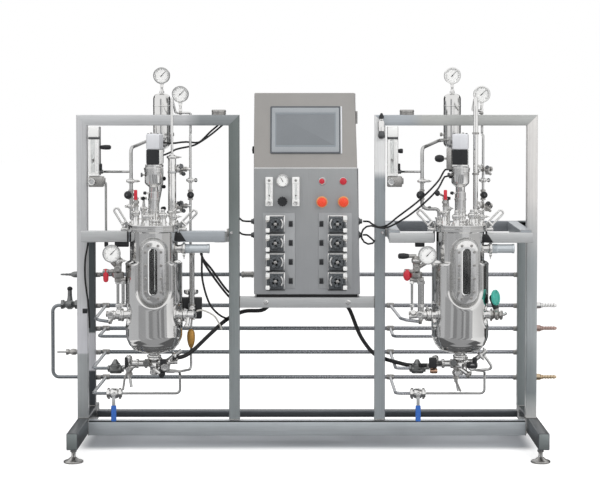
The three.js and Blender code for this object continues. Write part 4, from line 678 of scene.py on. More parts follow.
def needle_valve(piece, centre, through, out, size=1.0, cap="bright"):
    """A small valve: body across the pipe, bonnet, stem and handwheel."""
    way = out.normalized()
    valve_body(piece, centre, through, 40 * size, 12 * size)
    piece.rod(centre, centre + way * (17 * size), 8.5 * size, "cast", 7 * size, 16)
    hexagon(piece, centre + way * (13 * size), way, 6 * size, 9.5 * size)
    piece.rod(centre + way * (18 * size), centre + way * (27 * size), 3 * size, "bright", None, 12)
    knob(piece, centre + way * (25 * size), way, 13.5 * size, 11 * size, cap)


def weld(piece, centre, direction, wide, tall, across):
    """The bead of weld round a square tube where it meets another."""
    z = direction.normalized()
    y = across.normalized()
    x = y.cross(z)
    section = rounded_rectangle(wide, tall, 3.5, 3)
    path = [centre + x * a + y * b for a, b in section]
    path.append(path[0])
    piece.pipe(path, 1.3, "cast", 0.5, 6)


# ---------------------------------------------------------------- stand


def build_base():
    base = stand_piece("base_frame", "brushed_steel")
    middle = (RAIL_TOP + FOOT_HEIGHT) / 2
    for side in STATIONS:
        x = side * (OUTER_X + POST_X) / 2 + (7 if side > 0 else 0)
        # the side rails take the dark rail finish: painted shade
        base.beam(v(x, -320, middle), v(x, 320, middle), 40, 60, "rail")
        for end in (-1, 1):
            base.block(v(x - 18, end * 320 - 1.2, middle - 28), v(x + 18, end * 320 + 1.2, middle + 28),
                       "rail_end", 1)
    # a black strip along the top of the front beam's face is painted shade, and a paler stripe near the top
    # of the back beam's face is a painted reflection
    base.block(v(-POST_X + 2, FRONT_Y0 - 0.6, BEAM_TOP - 9), v(POST_X - 2, FRONT_Y0 + 9, BEAM_TOP - 4.6),
               "black", 0.6)
    base.block(v(-POST_X + 2, BACK_Y0 - 0.6, BEAM_TOP - 20), v(POST_X - 2, BACK_Y0 + 4, BEAM_TOP - 14),
               "back_x", 0.6)
    # the front beam takes the paler beam_x finish, painted light, and the back beam the dark rail finish,
    # painted shade
    for y, tall, finish, drop in ((FRONT_Y0 + 20, 55, "beam_x", 5), (BACK_Y0 + 20, 26, "rail", 13)):
        z = BEAM_TOP - drop - tall / 2
        base.beam(v(-POST_X, y, z), v(POST_X, y, z), 40, tall, finish)
        for side in STATIONS:
            weld(base, v(side * (POST_X - 0.5), y, z), X, 40, tall, Z)
    base.make()


def build_portal(side):
    y = FRONT_Y0 + 20
    piece = station_piece(side, "portal", "brushed_steel")
    outer, inner = side * (OUTER_X - 20), side * (MIDDLE_X + 20)
    top = STAND_TOP - 20
    # the mitres of the top bar lean outwards with height
    # the posts and top bar take finishes with bands of painted reflection, painted highlight and painted
    # shade
    piece.tube(v(outer, y, RAIL_TOP + GAP), v(outer, y, top), f"outer_{NAME[side]}", Y, (0, 0), (side, 0))
    piece.tube(v(inner, y, BEAM_TOP + GAP), v(inner, y, top), f"middle_{NAME[side]}", Y, (0, 0), (-side, 0))
    low, high = sorted((outer, inner))
    piece.tube(v(low, y, top), v(high, y, top), f"top_{NAME[side]}", Z, (0, -1), (0, 1))
    weld(piece, v(outer, y, RAIL_TOP + 1.5), Z, TUBE, TUBE, Y)
    weld(piece, v(inner, y, BEAM_TOP + 1.5), Z, TUBE, TUBE, Y)
    if side < 0:
        piece.block(v(outer + 1, FRONT_Y0 - 2.4, 512), v(outer + 19, FRONT_Y0 + 1, 530), "black", 1.4)
    cap_x = {-1: -333, 1: 377}[side]
    base = v(cap_x, y + 8, STAND_TOP - 1)
    piece.lathe(base, Z, [
        (0, 0), (27, 0), (27, 3), (25.5, 4), (25.5, 5), (27.5, 6), (27.5, 9), (25.5, 10),
        (25.5, 11), (27.5, 12), (27.5, 17), (25, 20.5), (18, 21), (0, 21),
    ], "cast", 32)
    bracket_z = CRADLE_TOP - 20
    hexagon(piece, v(side * (MIDDLE_X + 30), FRONT_Y0 + 0.5, bracket_z), -Y, 5, 6)
    piece.make()


REAR_DROP = {-1: 36, 1: -6}


def build_cradle(side):
    piece = station_piece(side, "cradle", "brushed_steel")
    z = CRADLE_TOP - 20
    outer, front, back = POST_X - GAP, CRADLE_FRONT + 20, BACK_Y0 + 20
    low_z, tall = (z, 40) if side < 0 else (z - 5, 36)
    for inner_x, outer_x in ((STATION_X + 97, outer), (CRADLE_INNER, STATION_X - 97)):
        low, high = sorted((side * inner_x, side * outer_x))
        # the left station's inner front arm takes the darker arm finish: painted shade
        finish = "arm_dark" if side < 0 and inner_x < STATION_X else "satin_x"
        piece.beam(v(low, front, low_z), v(high, front, low_z), 40, tall, finish, Z)
        open_end = side * (inner_x if inner_x > STATION_X else outer_x)
        way = 1 if open_end > side * STATION_X else -1
        piece.block(v(open_end - 2 - way, front - 19, z - 19), v(open_end + 2 - way, front + 19, z + 19),
                    "black", 1.5)
        if way > 0:
            wedge = [(-17, 15), (-17, -16), (24, -16), (4, 15)]
            piece.plate(wedge, None, v(open_end - 1, front - 21.4, low_z - 1), 8, "black", 1)
    drop = REAR_DROP[side]
    for x in (outer - 20, CRADLE_INNER + 20):
        # the right station's rear arms take the darker arm finish: painted shade
        piece.tube(v(side * x, CRADLE_FRONT + 39, z - drop / 8), v(side * x, back, z - drop),
                   "satin_y" if side < 0 else "arm_dark", Z)
        weld(piece, v(side * x, CRADLE_FRONT + 40.5, z - drop / 8), Y, TUBE, TUBE - drop / 4, Z)
    low, high = sorted((side * CRADLE_INNER, side * OUTER_X))
    # the rear bar and the back post take darker finishes: painted shade, with a painted reflected band on the
    # left back post
    piece.tube(v(low, back, z - drop), v(high, back, z - drop), "back_x", Z)
    x = side * (OUTER_X - 20) - (5 if side < 0 else 0)
    piece.tube(v(x, back, RAIL_TOP + GAP), v(x, back, CRADLE_TOP - drop), f"back_{NAME[side]}", Y)
    weld(piece, v(x, back, RAIL_TOP + 1.5), Z, TUBE, TUBE, Y)
    lug = sorted((side * (MIDDLE_X + TUBE + GAP), side * (CRADLE_INNER + 1)))
    piece.block(v(lug[0], FRONT_Y0 + 5, z - 15), v(lug[1], FRONT_Y0 + 35, z + 15), "cast", 2)
    piece.make()


def build_shelf():
    shelf = stand_piece("cabinet_shelf", "brushed_steel")
    z, y, end = SHELF_TOP - 20, FRONT_Y0 + 20, MIDDLE_X - GAP
    shelf.tube(v(-end, y, z), v(end, y, z), "satin_x", Z)
    for side in STATIONS:
        shelf.tube(v(side * 180, y + 20, z), v(side * 180, SHELF_BACK, z), "satin_y", Z)
        weld(shelf, v(side * 180, y + 20.5, z), Y, TUBE, TUBE, Z)
        weld(shelf, v(side * (end - 1), y, z), X, TUBE, TUBE, Z)
        hexagon(shelf, v(side * 155, FRONT_Y0 + 0.5, z), -Y, 4.5, 7)
        shelf.lathe(v(side * 155, FRONT_Y0 + 0.3, z), -Y, [(0, 0), (10, 0), (10, 1), (9, 1.4), (0, 1.4)],
                    "bright", 24)
    shelf.tube(v(-200, SHELF_BACK - 20, z), v(200, SHELF_BACK - 20, z), "satin_x", Z)
    shelf.make()


def build_foot(name, x, y):
    foot = Piece(f"{name}_look", "stand", [name], "polished_steel")
    foot.lathe(v(x, y, 0), Z, [
        (0, 0), (34, 0), (36, 2), (36, 5), (34, 7.5), (22, 11), (15, 17), (11, 20), (8, 21), (0, 21),
    ], "cast", 36)
    thread = [(0, 18)]
    for i in range(16):
        thread += [(7.2, 18 + 2 * i), (8, 19 + 2 * i)]
    foot.lathe(v(x, y, 0), Z, [*thread, (7.2, 51), (0, 51)], "bright", 20)
    hexagon(foot, v(x, y, 39), Z, 9, 12.5)
    foot.make()


# ---------------------------------------------------------------- header pipes

BRANCH_X = {-1: -797, 1: 330}
MANIFOLD_END = {-1: (-727, -216, 506), 1: (408, -216, 506)}
DRAIN_LOW = 6
AIR_Z, WATER_Z, RETURN_Z, STEAM_Z, DRAIN_Z = 627, 504, 413, 319, 225
TRAP_Y = -121
TRAP_X = {-1: -742, 1: 381}
VALVE_X = {-1: -746, 1: 383}


def header(piece, z, x0, x1):
    # the header finish is darker to the left: painted shade and reflection along X
    piece.rod(v(x0, HEADER_Y, z), v(x1, HEADER_Y, z), 8, "header", None, 24)
    for side in STATIONS:
        low, high = sorted((side * (POST_X - 12), side * (POST_X + 14)))
        piece.block(v(low, BACK_Y0 + TUBE + GAP, z - 9), v(high, HEADER_Y - 2, z + 9), "cast", 1.5)
        piece.hoop(v((low + high) / 2, HEADER_Y, z), X, 8.6, 1.6, "bright")
        piece.hoop(v(side * (POST_X - 7), HEADER_Y, z), X, 8.6, 1.6, "bright")


def barb(piece, z, x0, x1, finish="bright"):
    way = 1 if x1 > x0 else -1
    long = abs(x1 - x0)
    outline = [(0, 0), (12, 0), (13, 1), (13, long * 0.27), (10, long * 0.3), (9, long * 0.36)]
    for i in range(5):
        start = long * (0.36 + 0.12 * i)
        outline += [(6.4, start), (8.6, start + long * 0.02), (6.2, start + long * 0.11)]
    outline += [(4.4, long), (3, long), (3, long - 4), (0, long - 4)]
    piece.lathe(v(x0, HEADER_Y, z), X * way, outline, finish, 20)
    hexagon(piece, v(x0 + way * 2, HEADER_Y, z), X * way, long * 0.18, 13, finish)


def branch(piece, corners):
    piece.pipe(corners, 6, "header", 20)
    piece.bar(corners[0], X, 26, 11, "cast", 20, 2)
    piece.hoop(corners[0] + X * 13, X, 9, 1.6, "cast")
    piece.hoop(corners[0] - X * 13, X, 9, 1.6, "cast")


def build_headers():
    air = stand_piece("header_air", "brushed_steel")
    header(air, AIR_Z, -904, 834)
    air.lathe(v(-900, HEADER_Y, AIR_Z), -X, [
        (0, 0), (8, 0), (11, 4), (12.4, 12), (11.6, 24), (8, 32), (5, 36), (5.6, 40), (4, 48),
        (5, 50), (3.4, 62), (4, 64), (3, 76), (0, 76)], "iron", 24)
    air.bar(v(-235, HEADER_Y, AIR_Z), X, 50, 12, "cast", 24, 3)
    hexagon(air, v(-258, HEADER_Y, AIR_Z), X, 9, 14, "cast")
    hexagon(air, v(-212, HEADER_Y, AIR_Z), -X, 9, 14, "cast")
    air.make()

    water = stand_piece("header_water", "brushed_steel")
    low_z = DRAIN_Z - DRAIN_LOW
    header(water, WATER_Z, -905, 905)
    header(water, low_z, -834, 905)
    water.pipe([v(-900, HEADER_Y, WATER_Z), v(-1008, HEADER_Y, WATER_Z), v(-1008, HEADER_Y, low_z),
                v(-830, HEADER_Y, low_z)], 7, "header", 24)
    valve = v(-940, HEADER_Y, WATER_Z + 4)
    valve_body(water, valve, X, 68, 20, "iron")
    water.rod(valve, valve + Z * 34, 13, "iron", 9, 20)
    water.rod(valve + Z * 30, valve + Z * 60, 9, "iron", 8, 20)
    water.ball(valve + Z * 62, 11, "black", 0.85, Z)
    for z, finish in ((WATER_Z, "bright"), (low_z, "brass")):
        barb(water, z, 900, 990, finish)
    for side in STATIONS:
        x = BRANCH_X[side]
        end = v(*MANIFOLD_END[side])
        branch(water, [v(x, HEADER_Y, WATER_Z), v(x + 16, end.y + 60, WATER_Z + 6),
                       v(x + 34, end.y, end.z + 5), end])
        branch(water, [v(x, HEADER_Y, low_z), v(x, TRAP_Y, DRAIN_Z), v(VALVE_X[side], TRAP_Y, DRAIN_Z)])
    water.make()

    back = stand_piece("header_return", "brushed_steel")
    header(back, RETURN_Z, -834, 905)
    barb(back, RETURN_Z, 900, 990, "rosy")
    for side in STATIONS:
        x, axis = BRANCH_X[side], side * STATION_X - 20
        branch(back, [v(x, HEADER_Y, RETURN_Z), v(x, 60, RETURN_Z), v(axis, 60, RETURN_Z), v(axis, 0, 444),
                      v(axis, -76, 444)])
    back.make()

    steam = stand_piece("header_steam", "brushed_steel")
    header(steam, STEAM_Z, -904, 834)
    valve_body(steam, v(-925, HEADER_Y, STEAM_Z), X, 60, 13)
    steam.rod(v(-950, HEADER_Y, STEAM_Z), v(-991, HEADER_Y, STEAM_Z), 4, "pipe", None, 14)
    for side in STATIONS:
        x = BRANCH_X[side]
        branch(steam, [v(x, HEADER_Y, STEAM_Z), v(x, TRAP_Y, STEAM_Z), v(TRAP_X[side], TRAP_Y, STEAM_Z)])
    steam.make()


# ---------------------------------------------------------------- vessels


def jacket_surface(piece, side):
    """The jacket as a height over the shell, drawn in round the window, the side nozzles and at its top."""
    turns, levels = 280, 170
    low, top = JACKET_LOW, JACKET_TOP
    turn = WINDOW_TURN[side]
    points, faces, depths = [], [], []
    for level in range(levels + 1):
        z = low + (top + 1 - low) * level / levels
        if z < BOWL_RIM:
            full = 86 + 10 * math.sqrt((z - low) / (BOWL_RIM - low))
        elif z < BOWL_TOP:
            full = 96 + 8 * math.sin(math.pi / 2 * (z - BOWL_RIM) / (BOWL_TOP - BOWL_RIM))
        else:
            full = JACKET_R
        for i in range(turns):
            front = 360 * i / turns - 180
            a = math.radians(front - turn)
            reach = [top - z]
            if abs(a) < 1.4:
                u = full * math.sin(a)
                reach.append((math.hypot(u, z - CUT_Z) if z < CUT_Z else abs(u)) - CUT_HALF)
            for way in (-1, 1):
                b = math.radians(front - way * 75)
                if abs(b) < 1.2:
                    reach.append(math.hypot(full * math.sin(b), z - NOZZLE_Z) - NOZZLE_CUT)
            d = min(reach)
            depths.append(d)
            lip = 1.0 * math.exp(-((d - 13) / 4) ** 2)
            share = math.sin(math.pi / 2 * max(0.0, min(1.0, d / 13))) ** 0.8
            radius = 86.6 + (full - 86.6) * share + lip * (1 if z > 450 else 0)
            f = math.radians(front)
            points.append(from_axis(side, radius * math.sin(f), -radius * math.cos(f), z))
    for level in range(levels):
        for i in range(turns):
            j = (i + 1) % turns
            a, b = level * turns, (level + 1) * turns
            if max(depths[k] for k in (a + i, a + j, b + j, b + i)) > -4:
                faces.append([a + i, a + j, b + j, b + i])
    piece.add(points, faces, "polished")


def boss(piece, side):
    """The raised pad that carries the sight frame, blended down onto the shell."""
    loops = []
    for grow, share in ((8, 0), (5, 0.12), (2.5, 0.4), (1, 0.8), (0, 0.97), (-1.5, 1)):
        outline = obround(92 + 2 * grow, 237 + 2 * grow)
        skin = [math.sqrt(SHELL_R ** 2 - a * a) - 0.3 for a, b in outline]
        loops.append([
            from_axis(side, a, -(s + (97 - s) * share), WINDOW_Z + b) for (a, b), s in zip(outline, skin)
        ])
    n = len(loops[0])
    hole = [from_axis(side, a, -97, WINDOW_Z + b) for a, b in obround(37.5, 176.5)]
    back = [from_axis(side, a, -88.4, WINDOW_Z + b) for a, b in obround(37.5, 176.5)]
    rim = [from_axis(side, a, -88.4, WINDOW_Z + b) for a, b in obround(29, 168)]
    deep = [from_axis(side, a, -78, WINDOW_Z + b) for a, b in obround(29, 168)]
    chain = [*loops, hole, back, rim, deep]
    faces = []
    for i in range(len(chain) - 1):
        for j in range(n):
            k = (j + 1) % n
            faces.append([i * n + k, i * n + j, (i + 1) * n + j, (i + 1) * n + k])
    piece.place = turned(from_axis(side, 0, 0, 0), WINDOW_TURN[side])
    piece.add(sum(chain, []), faces, "boss")
    # a white line along the left edge of the window opening: a painted highlight
    edge = [from_axis(side, a - 1.2, -105.4, WINDOW_Z + b) for a, b in obround(31, 170) if a < -4]
    piece.pipe(edge, 2.2, "white", 0.5, 8)
    piece.place = None


def build_vessel(side):
    body = station_piece(side, "vessel", "polished_steel")
    jacket_surface(body, side)
    boss(body, side)
    axis = from_axis(side, 0, 0, 0)
    shell = Piece(f"{NAME[side]}_shell_look", "stand", slot="polished_steel")
    shell_wall(shell, side)
    body.rod(axis + Z * OUTLET_Z, axis + Z * (OUTLET_Z + 25), 18, "polished", None, 28)
    tri_clamp(body, axis + Z * 374, Z, 24, v(0.3, -1, 0))
    for way in STATIONS:
        out = nozzle_way(way)
        at = from_axis(side, 0, 0, NOZZLE_Z)
        body.lathe(at, out, [(30, 83), (24, 88), (18, 94), (16, 100), (16, 112), (24, 114),
                             (24.5, 117.5), (20, 118), (0, 118)], "polished", 32)
        body.hoop(at + out * 90, out, 21, 2.4, "polished")
    for way in STATIONS:
        x0, x1 = sorted((axis.x + way * 88, axis.x + way * 120))
        body.block(v(x0, VESSEL_Y - 18, 836.3), v(x1, VESSEL_Y + 18, 847.5), "polished", 1.5)
        hexagon(body, v(axis.x + way * 110, VESSEL_Y - 8, 847), Z, 6, 7)
    reach = {-1: 205, 1: 198}[side]
    lamp = from_axis(side, 0, -8, LAMP_Z)
    body.lathe(lamp, X, [(15, 82), (15, 100), (17, 101), (17, 104)], "polished", 28)
    tri_clamp(body, lamp + X * 111, X, 21, v(0, -0.4, -1))
    knurl = [(17, 117)]
    for i in range(7):
        knurl += [(17.5, 119 + 2.4 * i), (16.6, 120.2 + 2.4 * i)]
    # the lamp housing takes the beam's paler finish: painted light
    body.lathe(lamp, X, [*knurl, (16, 138), (16, reach - 9), (17.4, reach - 8), (17.4, reach - 1),
                         (16, reach), (0, reach)],
               "beam_x", 32)
    if side > 0:
        handwheel_valve(body, side)
    body.make(38)


def shell_wall(shell, side):
    """The inner vessel with its flange; its front is open behind the window."""
    turns = 96
    axis = from_axis(side, 0, 0, 0)
    shell.lathe(axis, Z, [
        (0.01, 385), (45, 389), (76, 400), (83, 408), (SHELL_R, 417), (SHELL_R, STRAIGHT_LOW),
    ], "polished", turns)
    shell.lathe(axis, Z, [
        (WALL_R, STRAIGHT_LOW), (WALL_R, 421), (83, 416), (77, 407), (66, 401), (45, 395), (10, 391),
    ], "polished", turns)
    turn = WINDOW_TURN[side]
    points, faces = [], []
    gap = 12.5
    count = 90
    columns = [turn + gap + (360 - 2 * gap) * i / count for i in range(count + 1)]
    for z in (STRAIGHT_LOW, STRAIGHT_TOP):
        for radius in (SHELL_R, WALL_R):
            for front in columns:
                a = math.radians(front)
                points.append(axis + v(radius * math.sin(a), -radius * math.cos(a), z))
    n = count + 1
    for i in range(count):
        faces.append([i, i + 1, 2 * n + i + 1, 2 * n + i])
        faces.append([n + i + 1, n + i, 3 * n + i, 3 * n + i + 1])
    for i in (0, count):
        faces.append([i, 2 * n + i, 3 * n + i, n + i])
    shell.add(points, faces, "polished")
    strip_points, strip_faces = [], []
    for low, high in ((STRAIGHT_LOW, 612), (776, STRAIGHT_TOP)):
        start = len(strip_points)
        for z in (low, high):
            for radius in (SHELL_R, WALL_R):
                for i in range(9):
                    a = math.radians(turn - gap + 2 * gap * i / 8)
                    strip_points.append(axis + v(radius * math.sin(a), -radius * math.cos(a), z))
        for i in range(8):
            strip_faces.append([start + i, start + i + 1, start + 18 + i + 1, start + 18 + i])
            strip_faces.append([start + 9 + i + 1, start + 9 + i, start + 27 + i, start + 27 + i + 1])
    shell.add(strip_points, strip_faces, "polished")
    shell.lathe(axis, Z, [(WALL_R, 836), (SHELL_R, 833), (90, 836.3), (99, 836.3), (FLANGE_R, 837.5),
                          (FLANGE_R, 846.5), (99, 847.5), (WALL_R, 847.5), (WALL_R, 836)], "polished", turns)
    shell.make()


def handwheel_valve(piece, side):
    out = nozzle_way(1)
    at = from_axis(side, 0, 0, NOZZLE_Z) + out * 134
    valve_body(piece, from_axis(side, 0, 0, NOZZLE_Z) + out * 137, out, 40, 19)
    way = v(0.85, -0.5, 0.12).normalized()
    wheel = at + v(-12, 6, 62)
    piece.rod(at, at + Z * 30, 11, "cast", 9, 20)
    piece.rod(at + Z * 22, wheel, 11, "black", 13, 20)
    piece.ball(wheel, 13, "black")
    piece.lathe(wheel, way, [(0, 2), (11, 2), (13, 6), (20, 9), (26, 5), (29, 8), (29, 15),
                             (26, 18), (20, 16), (12, 19), (8, 23), (0, 23)], "teal", 36)
    piece.pipe([at + out * 18, at + out * 30 + Z * 3, at + out * 38 + Z * 8], 5, "bright", 6)


def build_sight(side):
    place = turned(from_axis(side, 0, 0, 0), WINDOW_TURN[side])
    front = from_axis(side, 0, -106.3, WINDOW_Z)
    rim = station_piece(side, "sight_frame", "brushed_steel")
    rim.place = place
    rim.plate(obround(84, 229), obround(29, 168), front, 9, "bright", 2)
    spots = [(sx * 28.25, sz * z) for sx in STATIONS for sz in STATIONS for z in (24.2, 72.5)]
    spots += [(sx * 17.7, sz * 95.1) for sx in STATIONS for sz in STATIONS]
    for a, b in spots:
        rim.lathe(front + v(a, 0.2, b), -Y, [(0, 0), (5.6, 0), (5.6, 0.8), (5, 1.1), (0, 1.1)], "cast", 18)
        rim.lathe(front + v(a, 0, b), -Y, [(4.3, 0.8), (4.3, 3.8), (3.9, 4.4), (2.2, 4.4), (2.2, 2), (0, 2)],
                  "cast", 16)
    rim.make()
    pane = station_piece(side, "sight_glass", "glass")
    pane.place = place
    pane.plate(obround(37, 176), None, from_axis(side, 0, -96.7, WINDOW_Z), 8, "clear", 0.8)
    pane.make()
    seal = Piece(f"{NAME[side]}_sight_seal", "stand", slot="rubber")
    seal.place = place
    seal.plate(obround(36.6, 175.6), obround(30, 169), from_axis(side, 0, -97.2, WINDOW_Z), 0.4,
               "rubber", 0.1)
    seal.make()


# ---------------------------------------------------------------- lid


def ferrule(piece, foot, tall, radius):
    """A tube stub with its clamp ferrule on top."""
    piece.lathe(foot - Z * 1, Z, [
        (radius + 3, 0), (radius + 1.2, 2.5), (radius, 5), (radius, tall - 8), (radius + 4, tall - 4),
        (radius + 4, tall + 0.6), (radius - 2, tall + 0.6),
    ], "bright", 24)


LID_PORTS = {
    "return": (-76, 24, 24, 11), "vent": (65, 31, 30, 11), "valve": (-60, -46, 44, 11),
    "front": (38, -58, 34, 12), "inlet": (-20, -70, 30, 12), "back": (-42, 52, 52, 9),
    "rear": (8, 62, 34, 11), "side": (74, -26, 26, 10),
}
VENT_DX = {-1: 65, 1: 59}
RETURN_PORT = {-1: -85, 1: -76}
RETURN_DX = {-1: -86, 1: -139}


def port_at(side, key):
    dx, dy, tall, radius = LID_PORTS[key]
    if key == "vent":
        dx = VENT_DX[side]
    return from_axis(side, dx, dy, LID_TOP), tall, radius


def build_lid(side):
    lid = station_piece(side, "lid", "polished_steel")
    axis = from_axis(side, 0, 0, 0)
    lid.lathe(axis, Z, [
        (0, LID_BOTTOM), (99, LID_BOTTOM), (100, 848.8), (100, 853.5), (98.6, 854.2), (98.6, 855),
        (100, 855.7), (100, 859.4), (98.4, LID_TOP), (30, LID_TOP), (27.5, 863), (27, 867.8), (0, 867.8),
    ], "polished", 80)
    for i in range(8):
        a = math.radians(22.5 + 45 * i)
        spot = from_axis(side, 91 * math.cos(a), 91 * math.sin(a), 861)
        lid.lathe(spot - Z * 0.2, Z, [(0, 0), (7.6, 0), (7.6, 1.2), (0, 1.2)], "cast", 20)
        hexagon(lid, spot + Z, Z, 6, 6.4)
        lid.rod(spot + Z * 5, spot + Z * 12, 3.2, "cast", 2.8, 12)
    for key in LID_PORTS:
        foot, tall, radius = port_at(side, key)
        ferrule(lid, foot, tall, radius)
    for key in ("front", "inlet"):
        foot, tall, radius = port_at(side, key)
        tri_clamp(lid, foot + Z * (tall + 3), Z, radius + 3, v(0.6, -0.6, 0))
        lid.lathe(foot + Z * (tall + 6), Z, [(12, 0), (12, 5), (8, 8), (8, 15), (5, 18), (0, 18)],
                  "bright", 24)
    foot, tall, radius = port_at(side, "side")
    tri_clamp(lid, foot + Z * (tall + 3), Z, radius + 3, v(0.7, -0.7, 0))
    lid.ball(foot + Z * (tall + 7), 10, "bright", 0.4)
    lid.pipe([foot + Z * (tall + 8), foot + Z * (tall + 22), foot + v(16, -6, tall + 34)], 4.5, "bright", 8)
    needle_valve(lid, foot + v(24, -9, tall + 38), v(1, -0.35, 0.1), v(0, -0.6, 0.8), 0.62, "black")
    foot, tall, radius = port_at(side, "back")
    tri_clamp(lid, foot + Z * (tall + 3), Z, radius + 3, v(0, -1, 0))
    lid.rod(foot + Z * (tall + 8), foot + Z * (tall + 34), 6, "pipe", 4, 16)
    needle_valve(lid, foot + Z * (tall + 40), X, -Y, 0.55, "black")
    for key in ("return", "vent", "rear"):
        foot, tall, radius = port_at(side, key)
        tri_clamp(lid, foot + Z * (tall - 6), Z, radius + 1, v(0.5, -0.85, 0))
    for way in STATIONS:
        foot = v(axis.x + way * 104, VESSEL_Y, 857)
        steep = side < 0 and way < 0
        leaning = (v(way * 0.7, 0, 0.72), v(way * 0.72, 0, -0.7))
        out, across = (v(-0.52, 0, 0.85), v(-0.85, 0, -0.52)) if steep else leaning
        low, high = foot - across * 9, foot + across * 9
        lid.pipe([low, low + out * 72, high + out * 72, high], 4, "bright", 8.6, 14)
        lid.rod(foot + out * 9 - across * 13, foot + out * 9 + across * 13, 6, "bright")
        lid.block_at(foot - out * 2 + v(-way * 10, 0, -2), X, Y, 24, 22, 22, "iron", 2)
    hub = from_axis(side, -60, -46, 944)
    foot = from_axis(side, -60, -46, LID_TOP)
    tri_clamp(lid, foot + Z * 46, Z, 14, v(-0.7, -0.7, 0))
    lid.rod(foot + Z * 50, hub - Z * 12, 8, "bright")
    valve_body(lid, hub, Z, 34, 11)
    lid.rod(hub, hub - Y * 13.6, 6, "cast")
    lid.rod(hub + Z * 16, hub + Z * 24, 6, "bright", 4.5)
    if side > 0:
        lid.rod(hub + Z * 20, hub + v(-24, -4, 32), 4, "cast")
        lid.ball(hub + v(-28, -4, 33), 11, "black", 0.86, X)
    lid.make()

    handle = station_piece(side, "vent_handle", "red_plastic", True)
    pivot = from_axis(side, -60, -64, 944)
    handle.bar(pivot, Y, 8, 7.4, "cast", 24)
    hexagon(handle, pivot - Y * 4, -Y, 3, 4.6)
    handle.block(pivot + v(-4.6, -3.6, 2), pivot + v(4.6, 1.6, 12), "cast", 1)
    handle.block(pivot + v(-6.4, -4.2, 8), pivot + v(6.4, 3, 46), "red", 3.4, 4)
    handle.make()


# ---------------------------------------------------------------- drive and agitator

DRIVE_TURN = {-1: -15, 1: -8}
PLUGS = {-1: (12, (1163, 1110)), 1: (0, (1062, 1038))}


def build_drive(side):
    drive = station_piece(side, "drive", "brushed_steel")
    axis = from_axis(side, 0, 0, 0)
    drive.lathe(axis, Z, [
        (0, 868.3), (25, 868.3), (26, 869.3), (26, 875), (25, 876.3), (21, 877), (20, 880.3), (20, 905),
        (21.5, 906), (21.5, 912), (20, 913), (20, 948), (22, 949), (22, 955), (20, 956),
        (20, 977.6), (17, 979), (17, 996), (18, 998), (22, 1001), (30, 1008), (33, 1014), (33, 1052),
        (34.5, 1054), (34.5, 1060), (36, 1062), (36, 1067.6), (33.5, 1068.6), (31, 1070),
        (31, 1080), (0, 1080),
    ], "bright", 48)
    for i in range(6):
        a = math.radians(60 * i + 20)
        hexagon(drive, axis + v(23 * math.cos(a), 23 * math.sin(a), 875.8), Z, 4, 3.2)
    drive.rod(axis + v(-16, -8, 974), axis + v(-34, -12, 976), 3.4, "bright")
    drive.rod(axis + v(-27, -10.5, 975), axis + v(-37, -12.6, 976.3), 6.4, "black", 5.4)
    drive.rod(axis + v(-33, -6, 1042), axis + v(-44, -8, 1042), 3.2, "cast")
    knob(drive, axis + v(-40, -7.4, 1042), v(-1, -0.15, 0), 8, 7, "dark_steel", 5)
    half, shift = (24.5, 4) if side < 0 else (28, 0)
    x0, y0 = axis.x + shift, VESSEL_Y
    drive.place = turned(v(x0, y0, 0), DRIVE_TURN[side])
    drive.block(v(x0 - half, y0 - half, 1080), v(x0 + half, y0 + half, 1136), "black", 4, 4)
    for i in range(9):
        z = 1086 + 5.4 * i
        drive.block(v(x0 - half - 0.5, y0 - half - 0.5, z), v(x0 + half + 0.5, y0 + half + 0.5, z + 2.2),
                    "black", 3.6, 3)
    drive.block(v(x0 + half - 3, y0 - half + 4, 1082), v(x0 + half + 1.4, y0 + half - 4, 1134), "white", 1)
    drive.block(v(x0 - half - 1, y0 - half - 1, 1135), v(x0 + half + 1, y0 + half + 1, 1193), "cap", 6, 4)
    drive.block(v(x0 - half - 1.4, y0 - half - 1.4, 1068.4), v(x0 + half + 1.4, y0 + half + 1.4, 1081),
                "bright", 4, 3)
    for sx in STATIONS:
        for sy in STATIONS:
            spot = v(x0 + sx * (half - 6), y0 + sy * (half - 6), 0)
            drive.rod(spot + Z * 1192, spot + Z * 1195, 3, "dark_steel")
    drive.place = None
    if side > 0:
        drive.block(v(512, -198, 1062), v(531, -172, 1140), "cast", 3, 3)
        drive.rod(v(514, -184, 1102), v(496, -184, 1102), 4, "cast")
        drive.lathe(v(503, -184, 1102), -X,
                    [(0, 0), (8, 1), (12.6, 8), (14, 17), (12.6, 26), (8, 33), (0, 35)], "black", 24)
    dx, heights = PLUGS[side]
    out = Y if side < 0 else -X
    for z in heights:
        base = axis + v(dx, 0, z)
        drive.lathe(base, out, [
            (11, 20), (11, 28), (9, 29), (9, 36), (9.6, 37), (9.6, 40), (7, 42), (0, 42),
        ], "black", 24)
        drive.block_at(base + out * 25, Z, out, 22, 10, 20, "dark_steel", 2)
    drive.make()

    agitator = station_piece(side, "agitator", "polished_steel", True)
    agitator.rod(axis + Z * 448, axis + Z * 868, 6, "polished", None, 24)
    for z in (470, 590):
        agitator.rod(axis + Z * (z - 9), axis + Z * (z + 9), 10, "bright", None, 24)
        agitator.rod(axis + Z * (z - 1.2), axis + Z * (z + 1.2), 24, "bright", None, 40, 0.3)
        for i in range(6):
            a = math.radians(60 * i)
            out = v(math.cos(a), math.sin(a), 0)
            agitator.block_at(axis + Z * z + out * 22.5, out, v(-math.sin(a), math.cos(a), 0), 15, 2, 14,
                              "bright", 0.6)
    agitator.make()


# ---------------------------------------------------------------- condenser and return pipe


